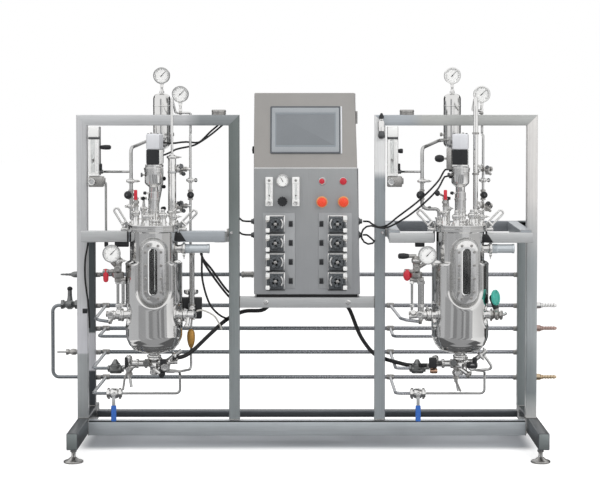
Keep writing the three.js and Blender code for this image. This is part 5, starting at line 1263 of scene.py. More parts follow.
def ball_grip(piece, centre, through, out, radius):
    """A small ball valve with a round black grip."""
    way = out.normalized()
    valve_body(piece, centre, through, 38, 11)
    piece.rod(centre, centre + way * (out.length - radius * 0.6), 4.5, "cast")
    piece.ball(centre + way * out.length, radius, "black", 0.86, way, 24)
    piece.rod(centre + way * (out.length + radius * 0.7), centre + way * (out.length + radius * 0.92), 3,
              "dark_steel")


def build_condenser(side):
    column = station_piece(side, "condenser", "polished_steel")
    x, y = side * STATION_X + (10 if side < 0 else -10), 60
    axis = v(x, y, 0)
    column.lathe(axis, Z, [
        (0, 1117.6), (9, 1118), (9, 1128), (14, 1131), (24, 1138), (31, 1146), (33, 1153), (33, 1176),
        (33.8, 1177), (33.8, 1180), (33, 1181), (33, 1292), (33.8, 1293), (33.8, 1296),
        (33, 1297), (33, 1322), (31.5, 1330), (26, 1337), (18, 1341), (11, 1342), (9, 1344),
        (9, 1350), (0, 1350),
    ], "polished", 56)
    for sign in STATIONS:
        stub = v(x + sign * 33, y, 1186)
        column.rod(stub - X * (sign * 4), stub + X * (sign * 9), 5, "bright")
        hexagon(column, stub + X * (sign * 5), X * sign, 8, 8.5, "cast")
    column.rod(axis + Z * 1342, axis + Z * 1384, 4.5, "pipe")
    hexagon(column, axis + Z * 1349, Z, 10, 8.5)
    hexagon(column, axis + Z * 1368, Z, 8, 7.5)
    gauge(column, v(x, y, 1410), 32, 26, 132, -Z)
    line = from_axis(side, RETURN_DX[side], 24, 0)
    port = from_axis(side, RETURN_PORT[side], 24, 0)
    path = [v(x - 20, y, 1165), v(x - 52, y - 10, 1163), line + Z * 1140]
    path += [port + Z * 905, port + Z * 884] if side < 0 else [line + Z * 915, port + Z * 915, port + Z * 884]
    column.pipe(path, 6.5, "pipe", 22)
    foot_dx = 24 if side < 0 else 8
    column.pipe([v(x, y, 1126), v(x, y, 1075), from_axis(side, foot_dx, 70, 1055),
                 from_axis(side, foot_dx, 62, 1010), from_axis(side, 8, 62, 930),
                 from_axis(side, 8, 62, 894)], 6.2, "pipe", 12)
    if side < 0:
        for z, radius in ((1026, 8), (996, 7), (915, 8)):
            valve = from_axis(side, 30, 52, z)
            column.rod(from_axis(side, foot_dx, 62, z), valve + X * 4, 6, "iron")
            knob(column, valve, v(0.5, -0.8, 0), radius, 10, "black", 6)
    else:
        column.rod(line + Z * 919, line + v(24, 0, 919), 4, "cast")
        column.ball(line + v(28, 0, 919), 7, "iron")
    tri_clamp(column, line + Z * 1018, Z, 16, v(0.3, -1, 0))
    wing = line + v(0, -4, 1018)
    column.rod(wing + X * 14, wing + X * 34, 3, "bright")
    column.rod(wing + X * 20, wing + X * 29, 5.2, "cast", 4)
    if side < 0:
        tri_clamp(column, line + Z * 925, Z, 16, v(-1, -0.4, 0))
    ball_grip(column, line + Z * 968, Z, v(-8, -30, 0), 15)
    column.make()


# ---------------------------------------------------------------- vent line

OVER_BAR_Y, OVER_BAR_Z = 30, 1268


def build_vent(side):
    vent = station_piece(side, "vent_line", "polished_steel")
    foot = from_axis(side, VENT_DX[side], 31, 0)
    left = side < 0
    gauge_x = foot.x + (18 if left else 40)
    down_x = foot.x + (56 if left else 42)
    down_y = foot.y + 22
    line = v(down_x + (10 if left else -12), down_y, 0)
    if left:
        vent.lathe(foot, Z, [
            (11, 891.3), (15, 896), (15, 897), (14, 899), (14, 905), (15, 906), (15, 1100),
            (13.5, 1106), (9, 1112), (4.6, 1117), (4.6, 1120),
        ], "bright", 32)
        for z in (903, 1106):
            tri_clamp(vent, foot + Z * z, Z, 18, v(0.8, -0.6, 0))
        vent.lathe(foot, Z, [(15.8, 1046), (16.4, 1047), (16.4, 1054), (15.8, 1055)], "satin_z", 32)
        vent.pipe([foot + Z * 1115, foot + Z * 1327, v(foot.x, OVER_BAR_Y, OVER_BAR_Z),
                   v(down_x, OVER_BAR_Y, OVER_BAR_Z)],
                  4.6, "bright", 12)
    else:
        vent.pipe([foot + Z * 892, foot + Z * 1326, v(foot.x + 10, OVER_BAR_Y, 1282)], 9, "bright", 26, 28)
        tri_clamp(vent, foot + Z * 905, Z, 16, v(0.8, -0.6, 0))
        for z in (1040, 1190):
            vent.lathe(foot + Z * z, Z, [(10.5, 0), (12.5, 1), (12.5, 7), (10.5, 8)], "cast", 28)
        vent.pipe([foot + v(4, 0, 1300), v(foot.x + 10, OVER_BAR_Y, 1282), v(gauge_x, OVER_BAR_Y, 1274),
                   v(down_x, OVER_BAR_Y, OVER_BAR_Z)], 4.6, "pipe", 8)
    foot_z = 545 if left else 880
    vent.pipe([v(down_x - 12, OVER_BAR_Y, OVER_BAR_Z), v(down_x, OVER_BAR_Y, OVER_BAR_Z),
               v(down_x, OVER_BAR_Y, 1185), line + Z * 1185, line + Z * foot_z], 4.6, "pipe", 12)
    dial = v(gauge_x, OVER_BAR_Y, 1339)
    gauge(vent, dial, 32, 26, 135, -Z)
    vent.rod(v(gauge_x, OVER_BAR_Y, 1266), v(gauge_x, OVER_BAR_Y, 1300), 5, "bright")
    hexagon(vent, v(gauge_x, OVER_BAR_Y, 1276), Z, 9, 8.5)
    vent.ball(v(gauge_x, OVER_BAR_Y, OVER_BAR_Z), 7.4, "cast")
    for z in (1061, 925):
        middle = (foot + line) / 2 + Z * z if left else line + v(14, -4, z)
        valve_body(vent, middle, line - foot, 44, 11)
        vent.rod(foot + Z * z, line + Z * z, 6, "bright")
        size = 0.72 if left else 0.5
        needle_valve(vent, middle, line - foot, v(0, -26, 16), size, "dark_steel")
        vent.rod(middle - Z * 20, middle, 6, "cast", 8)
        knob(vent, middle + v(8, -12, -14), v(0.3, -0.8, -0.5), 11 * size, 9,
             "dark_steel" if left else "cast", 5)
        tri_clamp(vent, foot + Z * z + (line - foot) * 0.32, line - foot, 12, v(0, -0.3, 1))
    tri_clamp(vent, line + Z * 1020, Z, 14, v(0.4, -1, 0))
    vent.rod(line + v(8, -2, 1020), line + v(18, -2, 1020), 3, "cast")
    vent.ball(line + v(20, -2, 1020), 8, "dark_steel", 0.8, X)
    ball_grip(vent, line + Z * 966, Z, v(2, -22, 0), 13)
    if left:
        lower_right_line(vent, side, line)
    vent.make()


def lower_right_line(piece, side, line):
    """The left station's sampling line, from its wide tube down to the bottom cluster."""
    x, y = line.x + 7, line.y
    out = nozzle_way(1)
    at = from_axis(side, 0, 0, NOZZLE_Z)
    piece.rod(v(x, y, 560), v(x, y, 748), 7.5, "pipe")
    hexagon(piece, v(x, y, 742), Z, 10, 10, "cast")
    piece.lathe(at, out, [(20, 118.3), (22, 119), (22, 124), (19, 126), (14, 132), (14, 148),
                          (17, 150), (17, 158), (12, 160), (0, 160)], "bright", 28)
    tri_clamp(piece, at + out * 127, out, 19, v(0, -0.5, -1))
    lever = at + out * 136
    piece.rod(lever, lever + v(-6, -20, -34), 6, "bright", 8)
    piece.ball(lever + v(-7, -22, -38), 10, "bright")
    piece.rod(at + out * 150, v(x, y, 545), 8, "bright")
    valve_body(piece, v(x, y, 543), Z, 30, 12)
    needle_valve(piece, v(x, y, 545), Z, -Y, 0.8)
    piece.rod(v(x, y, 540), v(x - 6, y, 468), 4, "pipe")
    piece.lathe(v(x - 6, y, 0), Z, [(4, 466), (8, 464), (13.4, 455), (15, 441), (14.6, 426),
                                    (11.4, 410), (7, 399), (4, 396)], "tan", 28)
    piece.pipe([v(x - 6, y, 412), v(x - 6, y, 316), from_axis(side, 94, 6, 316), from_axis(side, 74, 6, 316)],
               4.6, "pipe", 14)
    piece.block(v(x - 46, y + 16, 502), v(x + 32, y + 62, 580), "black", 4, 3)
    piece.block(v(x - 18, y + 12, 524), v(x + 6, y + 18, 560), "dark_steel", 2)
    piece.rod(v(x - 8, y + 38, 580), v(x - 8, y + 38, 594), 10, "cast")
    knob(piece, v(x - 8, y + 38, 591), Z, 26, 19, "bright", 8)
    piece.rod(v(x, y + 2, 548), v(x, y + 20, 548), 8, "cast")


# ---------------------------------------------------------------- rotameters on the posts

ROTAMETER_X = {-1: -828.2, 1: 295.3}
LOWER_GAUGE = {-1: (-149, -52, 757, 33), 1: (-124, -52, 751, 34)}


def build_rotameter(side):
    meter = station_piece(side, "rotameter", "glass")
    x0, x1 = ROTAMETER_X[side] + 7, ROTAMETER_X[side] + 46
    middle = ROTAMETER_X[side] + 21
    meter.block(v(x0, -6, 1033), v(x1 + 3, 4, 1216), "dark_steel", 1.5)
    meter.block(v(x0, -44, 1178), v(x1, -6, 1216), "white", 2.5, 3)
    meter.block(v(x0, -43, 1170), v(x1, -6, 1178), "dark_steel", 1)
    meter.block(v(x0, -44, 1031), v(x1, -6, 1042), "white", 1)
    meter.block(v(x0, -42, 1042), v(x1, -8, 1170), "white", 3, 3)
    meter.lathe(v((x0 + x1) / 2 - 2, -42, 0), Z, [(0, 1046), (6, 1046), (7, 1168), (0, 1168)], "clear", 20)
    meter.lathe(v((x0 + x1) / 2 - 2, -45, 1088), Z, [(0, -7), (3.4, 3), (3.4, 7), (0, 8)], "cast", 16)
    for i in range(21):
        z = 1052 + 5.2 * i
        wide = 7 if i % 5 == 0 else 4
        meter.block(v(x1 - 10, -42.4, z), v(x1 - 10 + wide, -41.6, z + 0.6), "faint", 0.2, 1)
    meter.block(v(x0, -40, 990), v(x1 + 16, 4, 1030), "cast", 3, 3)
    meter.block(v(x1, -34, 1000), v(x1 + 22, -4, 1024), "cast", 3)
    seat = v(middle, -38, 1010)
    meter.rod(seat, seat - Y * 10, 9, "bright")
    meter.lathe(seat + Y * 0.5, -Y, [(14, 0), (14, 4), (12, 5), (0, 5)], "dark_steel", 28)
    target = from_axis(side, RETURN_DX[side], 24, 1047)
    reach = v(target.x - 6.8, target.y, 1052.5)
    meter.pipe([v(x1 - 6, -20, 1047), v(x1 + 20, -20, 1047), v(reach.x - 20, reach.y, 1052.5), reach],
               4.6, "pipe", 10)
    hexagon(meter, v(x1 + 2, -20, 1047), X, 12, 9, "dark_steel")
    meter.block(v(x1 + 1, -30, 1052), v(x1 + 10, -12, 1078), "black", 3)
    dial_dx, dial_dy, dial_z, _ = LOWER_GAUGE[side]
    dial = from_axis(side, dial_dx, dial_dy, dial_z)
    if side < 0:
        down = x1 + 24
        meter.pipe([v(x1 + 8, -20, 1008), v(down, -20, 1008), v(down, -20, dial.z + 10),
                    v(dial.x, -60, dial.z), v(dial.x, dial.y + 12, dial.z)], 4.4, "pipe", 10)
    far = x1 + (44 if side < 0 else 20)
    knob_z = 1139 if side < 0 else 1125
    meter.rod(v(x1 - 4, -20, knob_z), v(x1 + 12, -20, knob_z), 4, "cast")
    meter.lathe(v(x1 + 2, -20, knob_z), X, [
        (0, 0), (6, 0), (8, (far - x1) * 0.2), (9.2, (far - x1) * 0.5), (8.6, (far - x1) * 0.85),
        (5, far - x1 - 2), (0, far - x1 - 2),
    ], "black", 24)
    if side > 0:
        regulator_bowl(meter)
    meter.make()

    dial = station_piece(side, "rotameter_knob", "brushed_steel", True)
    knob(dial, v(middle, -48.3, 1010), -Y, 14, 16, "bright", 12)
    dial.lathe(v(middle, -63, 1010), -Y, [(0, 0), (8, 0), (8, 1.2), (0, 1.2)], "satin_x", 24)
    dial.make()


def regulator_bowl(piece):
    """The small filter regulator in front of the right station's middle post."""
    axis = v(279.5, -40, 0)
    piece.lathe(axis, Z, [(0, 1171), (8, 1172), (12, 1177), (13, 1184), (11, 1196), (11, 1199)],
                "dark_steel", 28)
    piece.lathe(axis, Z, [(11, 1199), (13, 1201), (13, 1232), (10, 1238), (6, 1241), (6, 1246)], "bright", 28)
    piece.lathe(axis, Z, [(6, 1246), (9, 1248), (9, 1255), (6, 1262), (3, 1268), (0, 1268)], "black", 24)
    piece.block(v(266, -30, 1205), v(293, -25.5, 1235), "cast", 1.5)


# ---------------------------------------------------------------- side manifolds

MANIFOLD_DY = -35
BODY_DX = {-1: -128, 1: -163}
TWIN = {-1: ((-129, 5.5), (-110, 6)), 1: ((-179, 4.6), (-146, 11))}
STEAM_DX = {-1: -173, 1: -197}


def manifold_body(piece, side, left, at):
    """The gauge, the round body under it and the twin tubes down from it."""
    dial_dx, dial_dy, dial_z, radius = LOWER_GAUGE[side]
    gauge(piece, at(dial_dx, dial_z, dial_dy), radius, 26, 134, v(0.5, 0.1, -0.8))
    body = BODY_DX[side]
    piece.rod(at(dial_dx, 725, -50), at(body, 700), 7, "cast")
    piece.lathe(at(body, 0), Z, [
        (0, 650), (11, 650), (13, 653), (13, 664), (20, 668), (22, 671), (22, 685), (19, 688),
        (13, 690), (13, 718), (17, 722), (18, 725), (18, 735), (15, 738), (11, 740), (9, 746), (0, 747),
    ], "cast", 28)
    tri_clamp(piece, at(body, 730), Z, 17, v(0.6, -0.8, 0))
    hexagon(piece, at(body, 700), Z, 12, 15, "bright")
    piece.rod(at(body, 700), at(body, 704, MANIFOLD_DY + 30), 10, "cast")
    piece.rod(at(body, 700), at(body, 702, MANIFOLD_DY - 18), 8, "cast")
    knob(piece, at(body, 702, MANIFOLD_DY - 16), -Y, 12, 9, "cast", 6)
    (a_dx, a_r), (b_dx, b_r) = TWIN[side]
    piece.rod(at(min(a_dx, body) - 8, 660), at(max(b_dx, body) + 10, 660), 9, "cast")
    for dx, r in TWIN[side]:
        hexagon(piece, at(dx, 644), Z, 12, r + 5)
        hexagon(piece, at(dx, 560), Z, 10, r + 4.5)
    piece.rod(at(a_dx, 662), at(a_dx, 545), a_r, "pipe")
    piece.pipe([at(b_dx, 662), at(b_dx, 576), at(-134 if left else b_dx - 1, 540)], b_r, "pipe", 12)


def nozzle_valves(piece, side, left, at):
    """The vessel's lower nozzle with its two valves, and the pipe from the water header."""
    out = nozzle_way(-1)
    nozzle = from_axis(side, 0, 0, NOZZLE_Z)
    piece.lathe(nozzle, out, [(20, 118.3), (24, 119), (24, 124), (20, 127), (16, 132), (16, 144), (18, 146),
                              (18, 151), (12, 153), (0, 153)], "bright", 28)
    tri_clamp(piece, nozzle + out * 128, out, 21, v(0, -0.6, 1))
    piece.rod(nozzle + out * 140, at(-166 if left else -190, 524), 9, "bright")
    needle_valve(piece, at(-152, 534), X, -Y, 1.0, "bright")
    needle_valve(piece, at(-152 + (26 if left else -24), 536), X, v(0, -1, 0.3), 0.7, "bright")
    x, y, z = MANIFOLD_END[side]
    joint = v(x + GAP, y, z)
    piece.rod(joint, joint + X * 12, 9, "cast")
    hexagon(piece, joint + X, X, 9, 11)
    piece.rod(joint + X * 8, at(-146 if left else -142, 526), 6, "pipe")


def steam_branch(piece, side, left, at):
    """The pipe from the body to the steam valve, and the black fittings above."""
    body, hub = BODY_DX[side], STEAM_DX[side]
    piece.rod(at(body, 690), at(hub + 10 + GAP, 690), 7, "cast")
    hexagon(piece, at(hub + 20, 690), X, 9, 10, "cast")
    for near, far in ((-144, -92), (-182, -168)) if left else ((-166, -131),):
        piece.block(at(near, 777, -8), at(far, 796, 6), "black", 3)
    if not left:
        piece.rod(at(body, 746), at(-192, 746), 7, "cast")
        piece.lathe(at(-190, 746), -X, [(0, 0), (7, 0), (9, 6), (11, 20), (10, 36), (6, 40), (0, 40)],
                    "black", 24)


def steam_handle(side, left, at):
    grip = station_piece(side, "steam_handle", "red_plastic", True)
    centre = at(STEAM_DX[side], 690)
    grip.bar(centre, X, 20, 9, "cast", 24)
    if left:
        grip.lathe(centre, -Z, [(0, -10), (6, -9), (9, -4), (9.6, 6), (10.2, 20), (9.6, 32), (7, 38),
                                (3, 40), (0, 40)],
                   "red", 24)
    else:
        grip.lathe(centre, -Z, [(0, -8), (8, -7), (12, -1), (14, 10), (13.6, 22), (9, 31), (3, 35), (0, 35)],
                   "red", 28)
    hexagon(grip, centre - X * 9, -X, 4, 5)
    grip.make()


def build_manifold(side):
    piece = station_piece(side, "side_manifold", "polished_steel")
    left = side < 0

    def at(dx, z, dy=MANIFOLD_DY):
        return from_axis(side, dx, dy, z)

    manifold_body(piece, side, left, at)
    nozzle_valves(piece, side, left, at)
    steam_branch(piece, side, left, at)
    piece.make()
    steam_handle(side, left, at)


# ---------------------------------------------------------------- below the vessels

HARVEST = {-1: (-92, 330), 1: (-14, 316)}
HOSE_PORT = {-1: (86, 352), 1: (-122, 340)}


def outlet_cluster(piece, left, at):
    """The bottom valve with its clamps, knobs and side branches."""
    piece.lathe(at(0, 0), Z, [
        (0, 369.7), (23, 369.7), (24, 368), (24, 362), (20, 359), (17, 352), (21, 346), (21, 336), (16, 330),
        (15, 318), (17, 316), (17, 308), (12, 305), (0, 305),
    ], "bright", 32)
    piece.rod(at(0, 346), at(-100, 346), 12, "bright", 12)
    for dx in (-30, -62, -90):
        tri_clamp(piece, at(dx, 346), X, 16, v(0, -0.8, 0.5))
    piece.lathe(at(-92, 348, -8), (at(-92, 376, -22) - at(-92, 348, -8)), [
        (0, 0), (10, 0), (13, 3), (13, 24), (11, 30), (6, 33), (0, 33),
    ], "bright", 24)
    piece.rod(at(0, 350), at(62, 354), 11, "bright")
    for dx in (24, 54):
        tri_clamp(piece, at(dx, 352), X, 15, v(0, -0.7, -0.6))
    piece.lathe(at(42, 346, -6), at(42, 338, -38) - at(42, 346, -6), [
        (0, 0), (10, 0), (14, 6), (14, 30), (12, 34), (0, 34),
    ], "bright", 24)
    knob(piece, at(42, 339, -34), v(0, -1, -0.25), 15, 10, "bright", 7)
    piece.rod(at(50, 356), at(100, 394), 9, "bright", 8)
    tri_clamp(piece, at(76, 376), v(50, 0, 38), 14, v(0, -1, 0))
    piece.lathe(at(-26, 352, -4), v(0, -36, 2), [
        (0, 0), (9, 0), (12, 6), (12, 33), (10, 37), (0, 37)], "cast", 24)
    piece.rod(at(0, 330, -8), at(26, 312, -24), 9, "bright")
    knob(piece, at(26, 312, -24), v(26, -16, -18), 13, 12, "black" if left else "cast", 7)
    knob(piece, at(-26, 354, -40), v(0, -1, 0), 11, 8, "iron", 7)
    if left:
        piece.block(at(24, 318, -40), at(48, 366, -18), "black", 5, 4)
        piece.block(at(-106, 328, -34), at(-95, 374, -18), "black", 4, 4)


def harvest_line(piece, side, at):
    dx, z = HARVEST[side]
    valve_body(piece, at(dx, z - 3), Z, 46, 14)
    piece.rod(at(dx, z), at(dx, z, -40.7), 8, "cast", 7)
    hexagon(piece, at(dx, z, -18), -Y, 10, 11, "bright")
    piece.rod(at(dx, z), at(-60 if side < 0 else 0, 340), 10, "bright", 5)
    piece.rod(at(dx, z - 24), at(dx, z - 40), 8, "bright", 6)
    piece.rod(at(dx + 2, z - 36), at(dx + 8, z - 70, -8), 5, "pipe")


def steam_trap(piece, side, at):
    """The trap on the steam header's branch, and its pipe to the outlet."""
    def trap(dx, z=STEAM_Z):
        return v(TRAP_X[side] + dx, TRAP_Y, z)

    piece.lathe(trap(GAP, STEAM_Z - 4), X, [
        (0, 0), (9, 0), (10, 6), (15, 10), (16, 14), (16, 46), (15, 50), (10, 54), (9, 60), (0, 60),
    ], "iron", 24)
    hexagon(piece, trap(GAP), X, 8, 12, "iron")
    hexagon(piece, trap(60), -X, 8, 12, "iron")
    piece.lathe(trap(29, STEAM_Z - 8), Z, [
        (24, 0), (24, 5), (20, 8), (20, 20), (18, 22), (13, 25), (12, 31), (8, 37), (6, 41), (0, 42),
    ], "iron", 28)
    for i in range(4):
        a = math.radians(45 + 90 * i)
        spot = trap(29, STEAM_Z - 8) + v(17 * math.cos(a), 17 * math.sin(a), 0)
        piece.rod(spot + Z * 18, spot + Z * 26, 3.4, "iron")
    piece.pipe([trap(56), trap(84), at(-120, 328, 10), at(-88, 342, 0)], 5.5, "pipe", 8)


def drain_valve(piece, side, left, at):
    """The ball valve on the water header's lower branch, and its pipe to the outlet."""
    def valve(dx, z=DRAIN_Z):
        return v(VALVE_X[side] + dx, TRAP_Y, z)

    for near, far in ((GAP, 13), (45, 58)):
        piece.rod(valve(near), valve(far), 15, "bright")
        hexagon(piece, valve(near + 1), X, far - near - 2, 18, "bright")
    piece.lathe(valve(12), X, [(12, 0), (18, 4), (20, 12), (20, 22), (18, 30), (12, 34)], "bright", 28)
    for near in (8, 50):
        for sz in STATIONS:
            piece.rod(valve(near, DRAIN_Z + sz * 15) - Y * 3, valve(near, DRAIN_Z + sz * 21) - Y * 3,
                      4.5, "cast")
    piece.rod(valve(29), valve(29) - Y * 23.7, 9, "cast", 8)
    turn = 90 if left else 98
    piece.pipe([
        valve(54), v(at(turn, 0).x, TRAP_Y, DRAIN_Z), v(at(turn, 0).x, TRAP_Y, 300),
        at(turn - 4, 312, 40), at(52 if left else 60, 318, 20), at(40, 338, 0),
    ], 4.6, "pipe", 16)


def cluster_ends(piece, left, at):
    """The fittings of the bottom cluster that only one station has."""
    if left:
        piece.pipe([at(20, 330), at(46, 316, 6), at(74, 316, 6)], 6, "pipe", 8)
        piece.lathe(at(40, 352, -4), X,
                    [(9, 0), (9, 20), (7, 22), (9, 27), (7, 29), (9, 34), (7, 36), (8, 46), (0, 46)],
                    "bright", 24)
    else:
        piece.pipe([at(62, 318, 20), at(126, 324, 10), at(100, 362, 4), at(92, 372, 4), at(90, 404, 8)], 5,
                   "bright", 12)
        piece.lathe(at(-96, 340, -4), -X, [(10, 0), (10, 8), (8, 10), (10, 15), (8, 17), (9, 26), (0, 26)],
                    "bright", 24)
        piece.lathe(at(-84, 322, -20), -X, [(0, 0), (8, 0), (10, 4), (10, 20), (8, 27), (0, 27)],
                    "copper", 20)
        piece.rod(at(-60, 346), at(-98, 350, -24), 7, "iron")
        piece.block(at(-116, 335, -44), at(-88, 373, -22), "black", 4, 3)
        piece.rod(at(36, 340), at(42, 344, -26), 8, "iron")
        piece.block(at(22, 334, -46), at(62, 356, -22), "black", 6, 4)
        piece.block(at(44, 350, -40), at(60, 374, -26), "black", 4, 3)


def drain_lever(side):
    hub = v(VALVE_X[side] + 29, TRAP_Y - 28, DRAIN_Z)
    lever = station_piece(side, "drain_handle", "blue_plastic", True)
    lever.bar(hub, Y, 8, 9, "bright", 24)
    hexagon(lever, hub - Y * 4, -Y, 4, 6)
    lever.block(hub + v(-6, -3, -44), hub + v(6, 3, -4), "satin_z", 1.2)
    lever.block(hub + v(-9.6, -5.6, -100), hub + v(9.6, 5.6, -40), "blue", 4, 4)
    for z in (-52, -65, -78, -90):
        lever.block(hub + v(-10, -6, z - 2), hub + v(10, 6, z + 2), "blue", 3, 3)
    lever.make()


def harvest_lever(side, at):
    lever = station_piece(side, "harvest_handle", "polished_steel", True)
    dx, z = HARVEST[side]
    hub = at(dx, z, -46)
    tip = v(-18, 0, -70) if side < 0 else v(12, 0, -62)
    lever.bar(hub, Y, 10, 9, "bright", 24)
    bend = v(-4, 0, 0) if side < 0 else v(-8, 0, 2)
    lever.pipe([hub, hub + tip * 0.5 + bend, hub + tip], 3.8, "cast", 20)
    lever.ball(hub + tip, 4.6, "cast")
    lever.make()


def build_drain(side):
    piece = station_piece(side, "drain_line", "polished_steel")
    left = side < 0

    def at(dx, z, dy=0.0):
        return from_axis(side, dx, dy, z)

    outlet_cluster(piece, left, at)
    harvest_line(piece, side, at)
    steam_trap(piece, side, at)
    drain_valve(piece, side, left, at)
    cluster_ends(piece, left, at)
    piece.make()
    drain_lever(side)
    harvest_lever(side, at)


# ---------------------------------------------------------------- cabinet

CABINET_HALF, CABINET_FRONT, CABINET_BACK = 200, -40, 260
CABINET_LOW, CABINET_FOLD, CABINET_HIGH, LEAN = 585, 1062, 1344, 17
HIGH_GLAND, LOW_GLAND = 854, 802
NARROWING = 9


def on_front(x, z, out):
    return v(x, CABINET_FRONT - out, z)


def prism(outline, x0, x1, edge):
    """Rings of a solid from an outline of (y, z), corners and ends rounded, without its two end faces."""
    corners = [v(0, y, z) for y, z in outline]
    loop = []
    n = len(corners)
    for i, corner in enumerate(corners):
        before, after = corners[i - 1], corners[(i + 1) % n]
        into, out = (corner - before).normalized(), (after - corner).normalized()
        turn = into.angle(out)
        back = edge * math.tan(turn / 2)
        side = (out - into * out.dot(into)).normalized()
        loop += arc(corner - into * back, into, side, turn, edge, 4)
    centre = sum(loop, v(0, 0, 0)) / len(loop)
    points, m = [], len(loop)
    rings = [(x0, 1), (x0 + edge * 0.3, 0.3), (x0 + edge, 0), (x1 - edge, 0), (x1 - edge * 0.3, 0.3), (x1, 1)]
    for x, share in rings:
        for p in loop:
            inward = (centre - p).normalized() * (edge * share)
            points.append(v(x, p.y + inward.y, p.z + inward.z))
    return points, ring_faces(len(rings), m), m, len(rings)


def cabinet_box(shell):
    """The folded sheet, open at the back; its front faces have a finish of their own, with painted reflection
    in two tones either side of the fold.
    """
    top_y = CABINET_FRONT + (CABINET_HIGH - CABINET_FOLD) * math.tan(math.radians(LEAN))
    outline = [(CABINET_FRONT, CABINET_LOW), (CABINET_BACK, CABINET_LOW), (CABINET_BACK, CABINET_HIGH),
               (top_y, CABINET_HIGH), (CABINET_FRONT, CABINET_FOLD)]
    points, faces, m, rings = prism(outline, -CABINET_HALF, CABINET_HALF, 3.5)
    faces = [f for f in faces if not all(abs(points[i].y - CABINET_BACK) < 0.01 for i in f)]
    faces += [list(range(m)), [(rings - 1) * m + j for j in range(m)]]
    lean = math.tan(math.radians(LEAN))
    near = {i for i, p in enumerate(points) if p.y < CABINET_FRONT + 4 + max(0, p.z - CABINET_FOLD) * lean}
    front = [face for face in faces if near.issuperset(face)]
    shell.add(points, [face for face in faces if face not in front], "cabinet")
    # the front faces take the finish with the painted reflection tones
    shell.add(points, front, "cabinet_front")
    # a bright strip along the fold line: a painted highlight
    shell.block(v(-199, CABINET_FRONT - 0.6, CABINET_FOLD - 2.4),
                v(199, CABINET_FRONT + 3, CABINET_FOLD + 1.2), "fold_highlight", 0.5)
    # a black slab fills the gap between the shelf and the cabinet: the rubber pads, and painted shade in the
    # rest of the gap
    shell.block(v(-190, -25, 573.6), v(190, 230, 585.6), "rubber", 1)
    for x0, x1, z0, z1 in ((-200, -170, 585, 1344), (170, 200, 585, 1344), (-171, 171, 585, 660),
                           (-171, 171, 1320, 1344)):
        shell.block(v(x0 + 1, 256, z0 + 1), v(x1 - 1, 259.8, z1 - 1), "cabinet", 1)
    for x in STATIONS:
        shell.block(v(x * 197 - 1.4, -30, 590), v(x * 197 + 1.4, 255, 1058), "cabinet", 1)


def cabinet_inside(shell):
    """The mounting plate behind the door, with rows of plain modules on rails."""
    shell.block(v(-195, 236, 590), v(195, 240, 1338), "satin_z", 1)
    for z in (760, 900, 1040, 1180):
        shell.block(v(-168, 241, z - 17), v(168, 248, z + 17), "satin_x", 1)
        for i in range(12):
            x = -154 + 26 * i
            shell.block(v(x, 246, z - 36), v(x + 23, 254, z + 36), "white" if i % 4 else "black", 2)


def cabinet_fittings(shell):
    """What is fixed to the cabinet's sides and front."""
    shell.block(v(-207, 10, 1114), v(-199.5, 28, 1142), "black", 3, 3)
    shell.rod(v(-199, 19, 1128), v(-208, 19, 1128), 6, "black")
    for side in STATIONS:
        for z in (HIGH_GLAND, LOW_GLAND):
            start = v(side * 199.4, 60, z)
            shell.lathe(start, X * side,
                        [(15, 0), (15, 3), (12, 4), (9.4, 5), (9.4, 12), (7, 14.6), (0, 14.6)],
                        "dark_steel", 24)
            hexagon(shell, start + X * (side * 2), X * side, 5, 13, "dark_steel")
    for x in (56, 137):
        shell.lathe(on_front(x, 934, -0.4), -Y,
                    [(0, 0), (20, 0), (21, 1), (21, 3), (19.5, 4.3), (9, 4.3), (9, 2), (0, 2)],
                    "stop_ring", 48)
    for x, cap, shift in ((58, 10.6, -2.4), (136, 13.4, 0)):
        shell.lathe(on_front(x, 1012, -0.4), -Y, [(0, 0), (14.4, 0), (14.4, 2.6), (13, 4), (0, 4)],
                    "bright", 40)
        shell.lathe(on_front(x + shift, 1012, 0), -Y,
                    [(cap, 3), (cap - 0.6, 5.4), (cap - 3, 6.8), (0, 7.2)], "red", 40)
    regulator = on_front(-92, 1014, 6)
    gauge(shell, regulator, 24, 13, 60)
    shell.lathe(on_front(-92, 937, -0.3), -Y, [(15, 0), (15, 2), (9, 3), (9, 8)], "dark_steel", 32)
    for x in (-142, -42):
        panel_meter(shell, x)


def build_cabinet():
    shell = stand_piece("cabinet_shell", "cabinet_steel")
    cabinet_box(shell)
    cabinet_inside(shell)
    cabinet_fittings(shell)
    for p in shell.points:
        if p.x > 150:
            p.x -= NARROWING * (p.z - CABINET_LOW) / (CABINET_HIGH - CABINET_LOW) * min(1, (p.x - 150) / 40)
    shell.make(30)
    build_screen()
    for name, x0, x1, pump_x, switch_x, out in (
        ("left", -167, -45, -118.6, -61, -1), ("right", 43, 169, 114, 54, 1),
    ):
        build_pumps(name, x0, x1, pump_x, switch_x, out)
    build_stops()
    build_dial()
    build_door()


def build_stops():
    for name, x in (("left", 56), ("right", 137)):
        button = Piece(f"e_stop_{name}_look", f"e_stop_{name}_body", [f"e_stop_{name}"], "red_plastic")
        button.lathe(on_front(x, 934, 0), -Y, [
            (0, -14), (7, -14), (7, 12), (13, 14), (17, 15), (18, 17), (18, 21), (16.6, 25),
            (12, 27.4), (0, 28),
        ], "stop_red", 48)
        button.make()


def build_dial():
    dial = Piece("regulator_knob_look", "regulator_knob_body", ["regulator_knob"], "black_plastic")
    knob(dial, on_front(-92, 937, 8.3), -Y, 18, 22, "black", 12)
    dial.lathe(on_front(-92, 937, 28), -Y, [(0, 0), (10, 0), (10, 2.2), (0, 2.6)], "black", 32)
    dial.make()


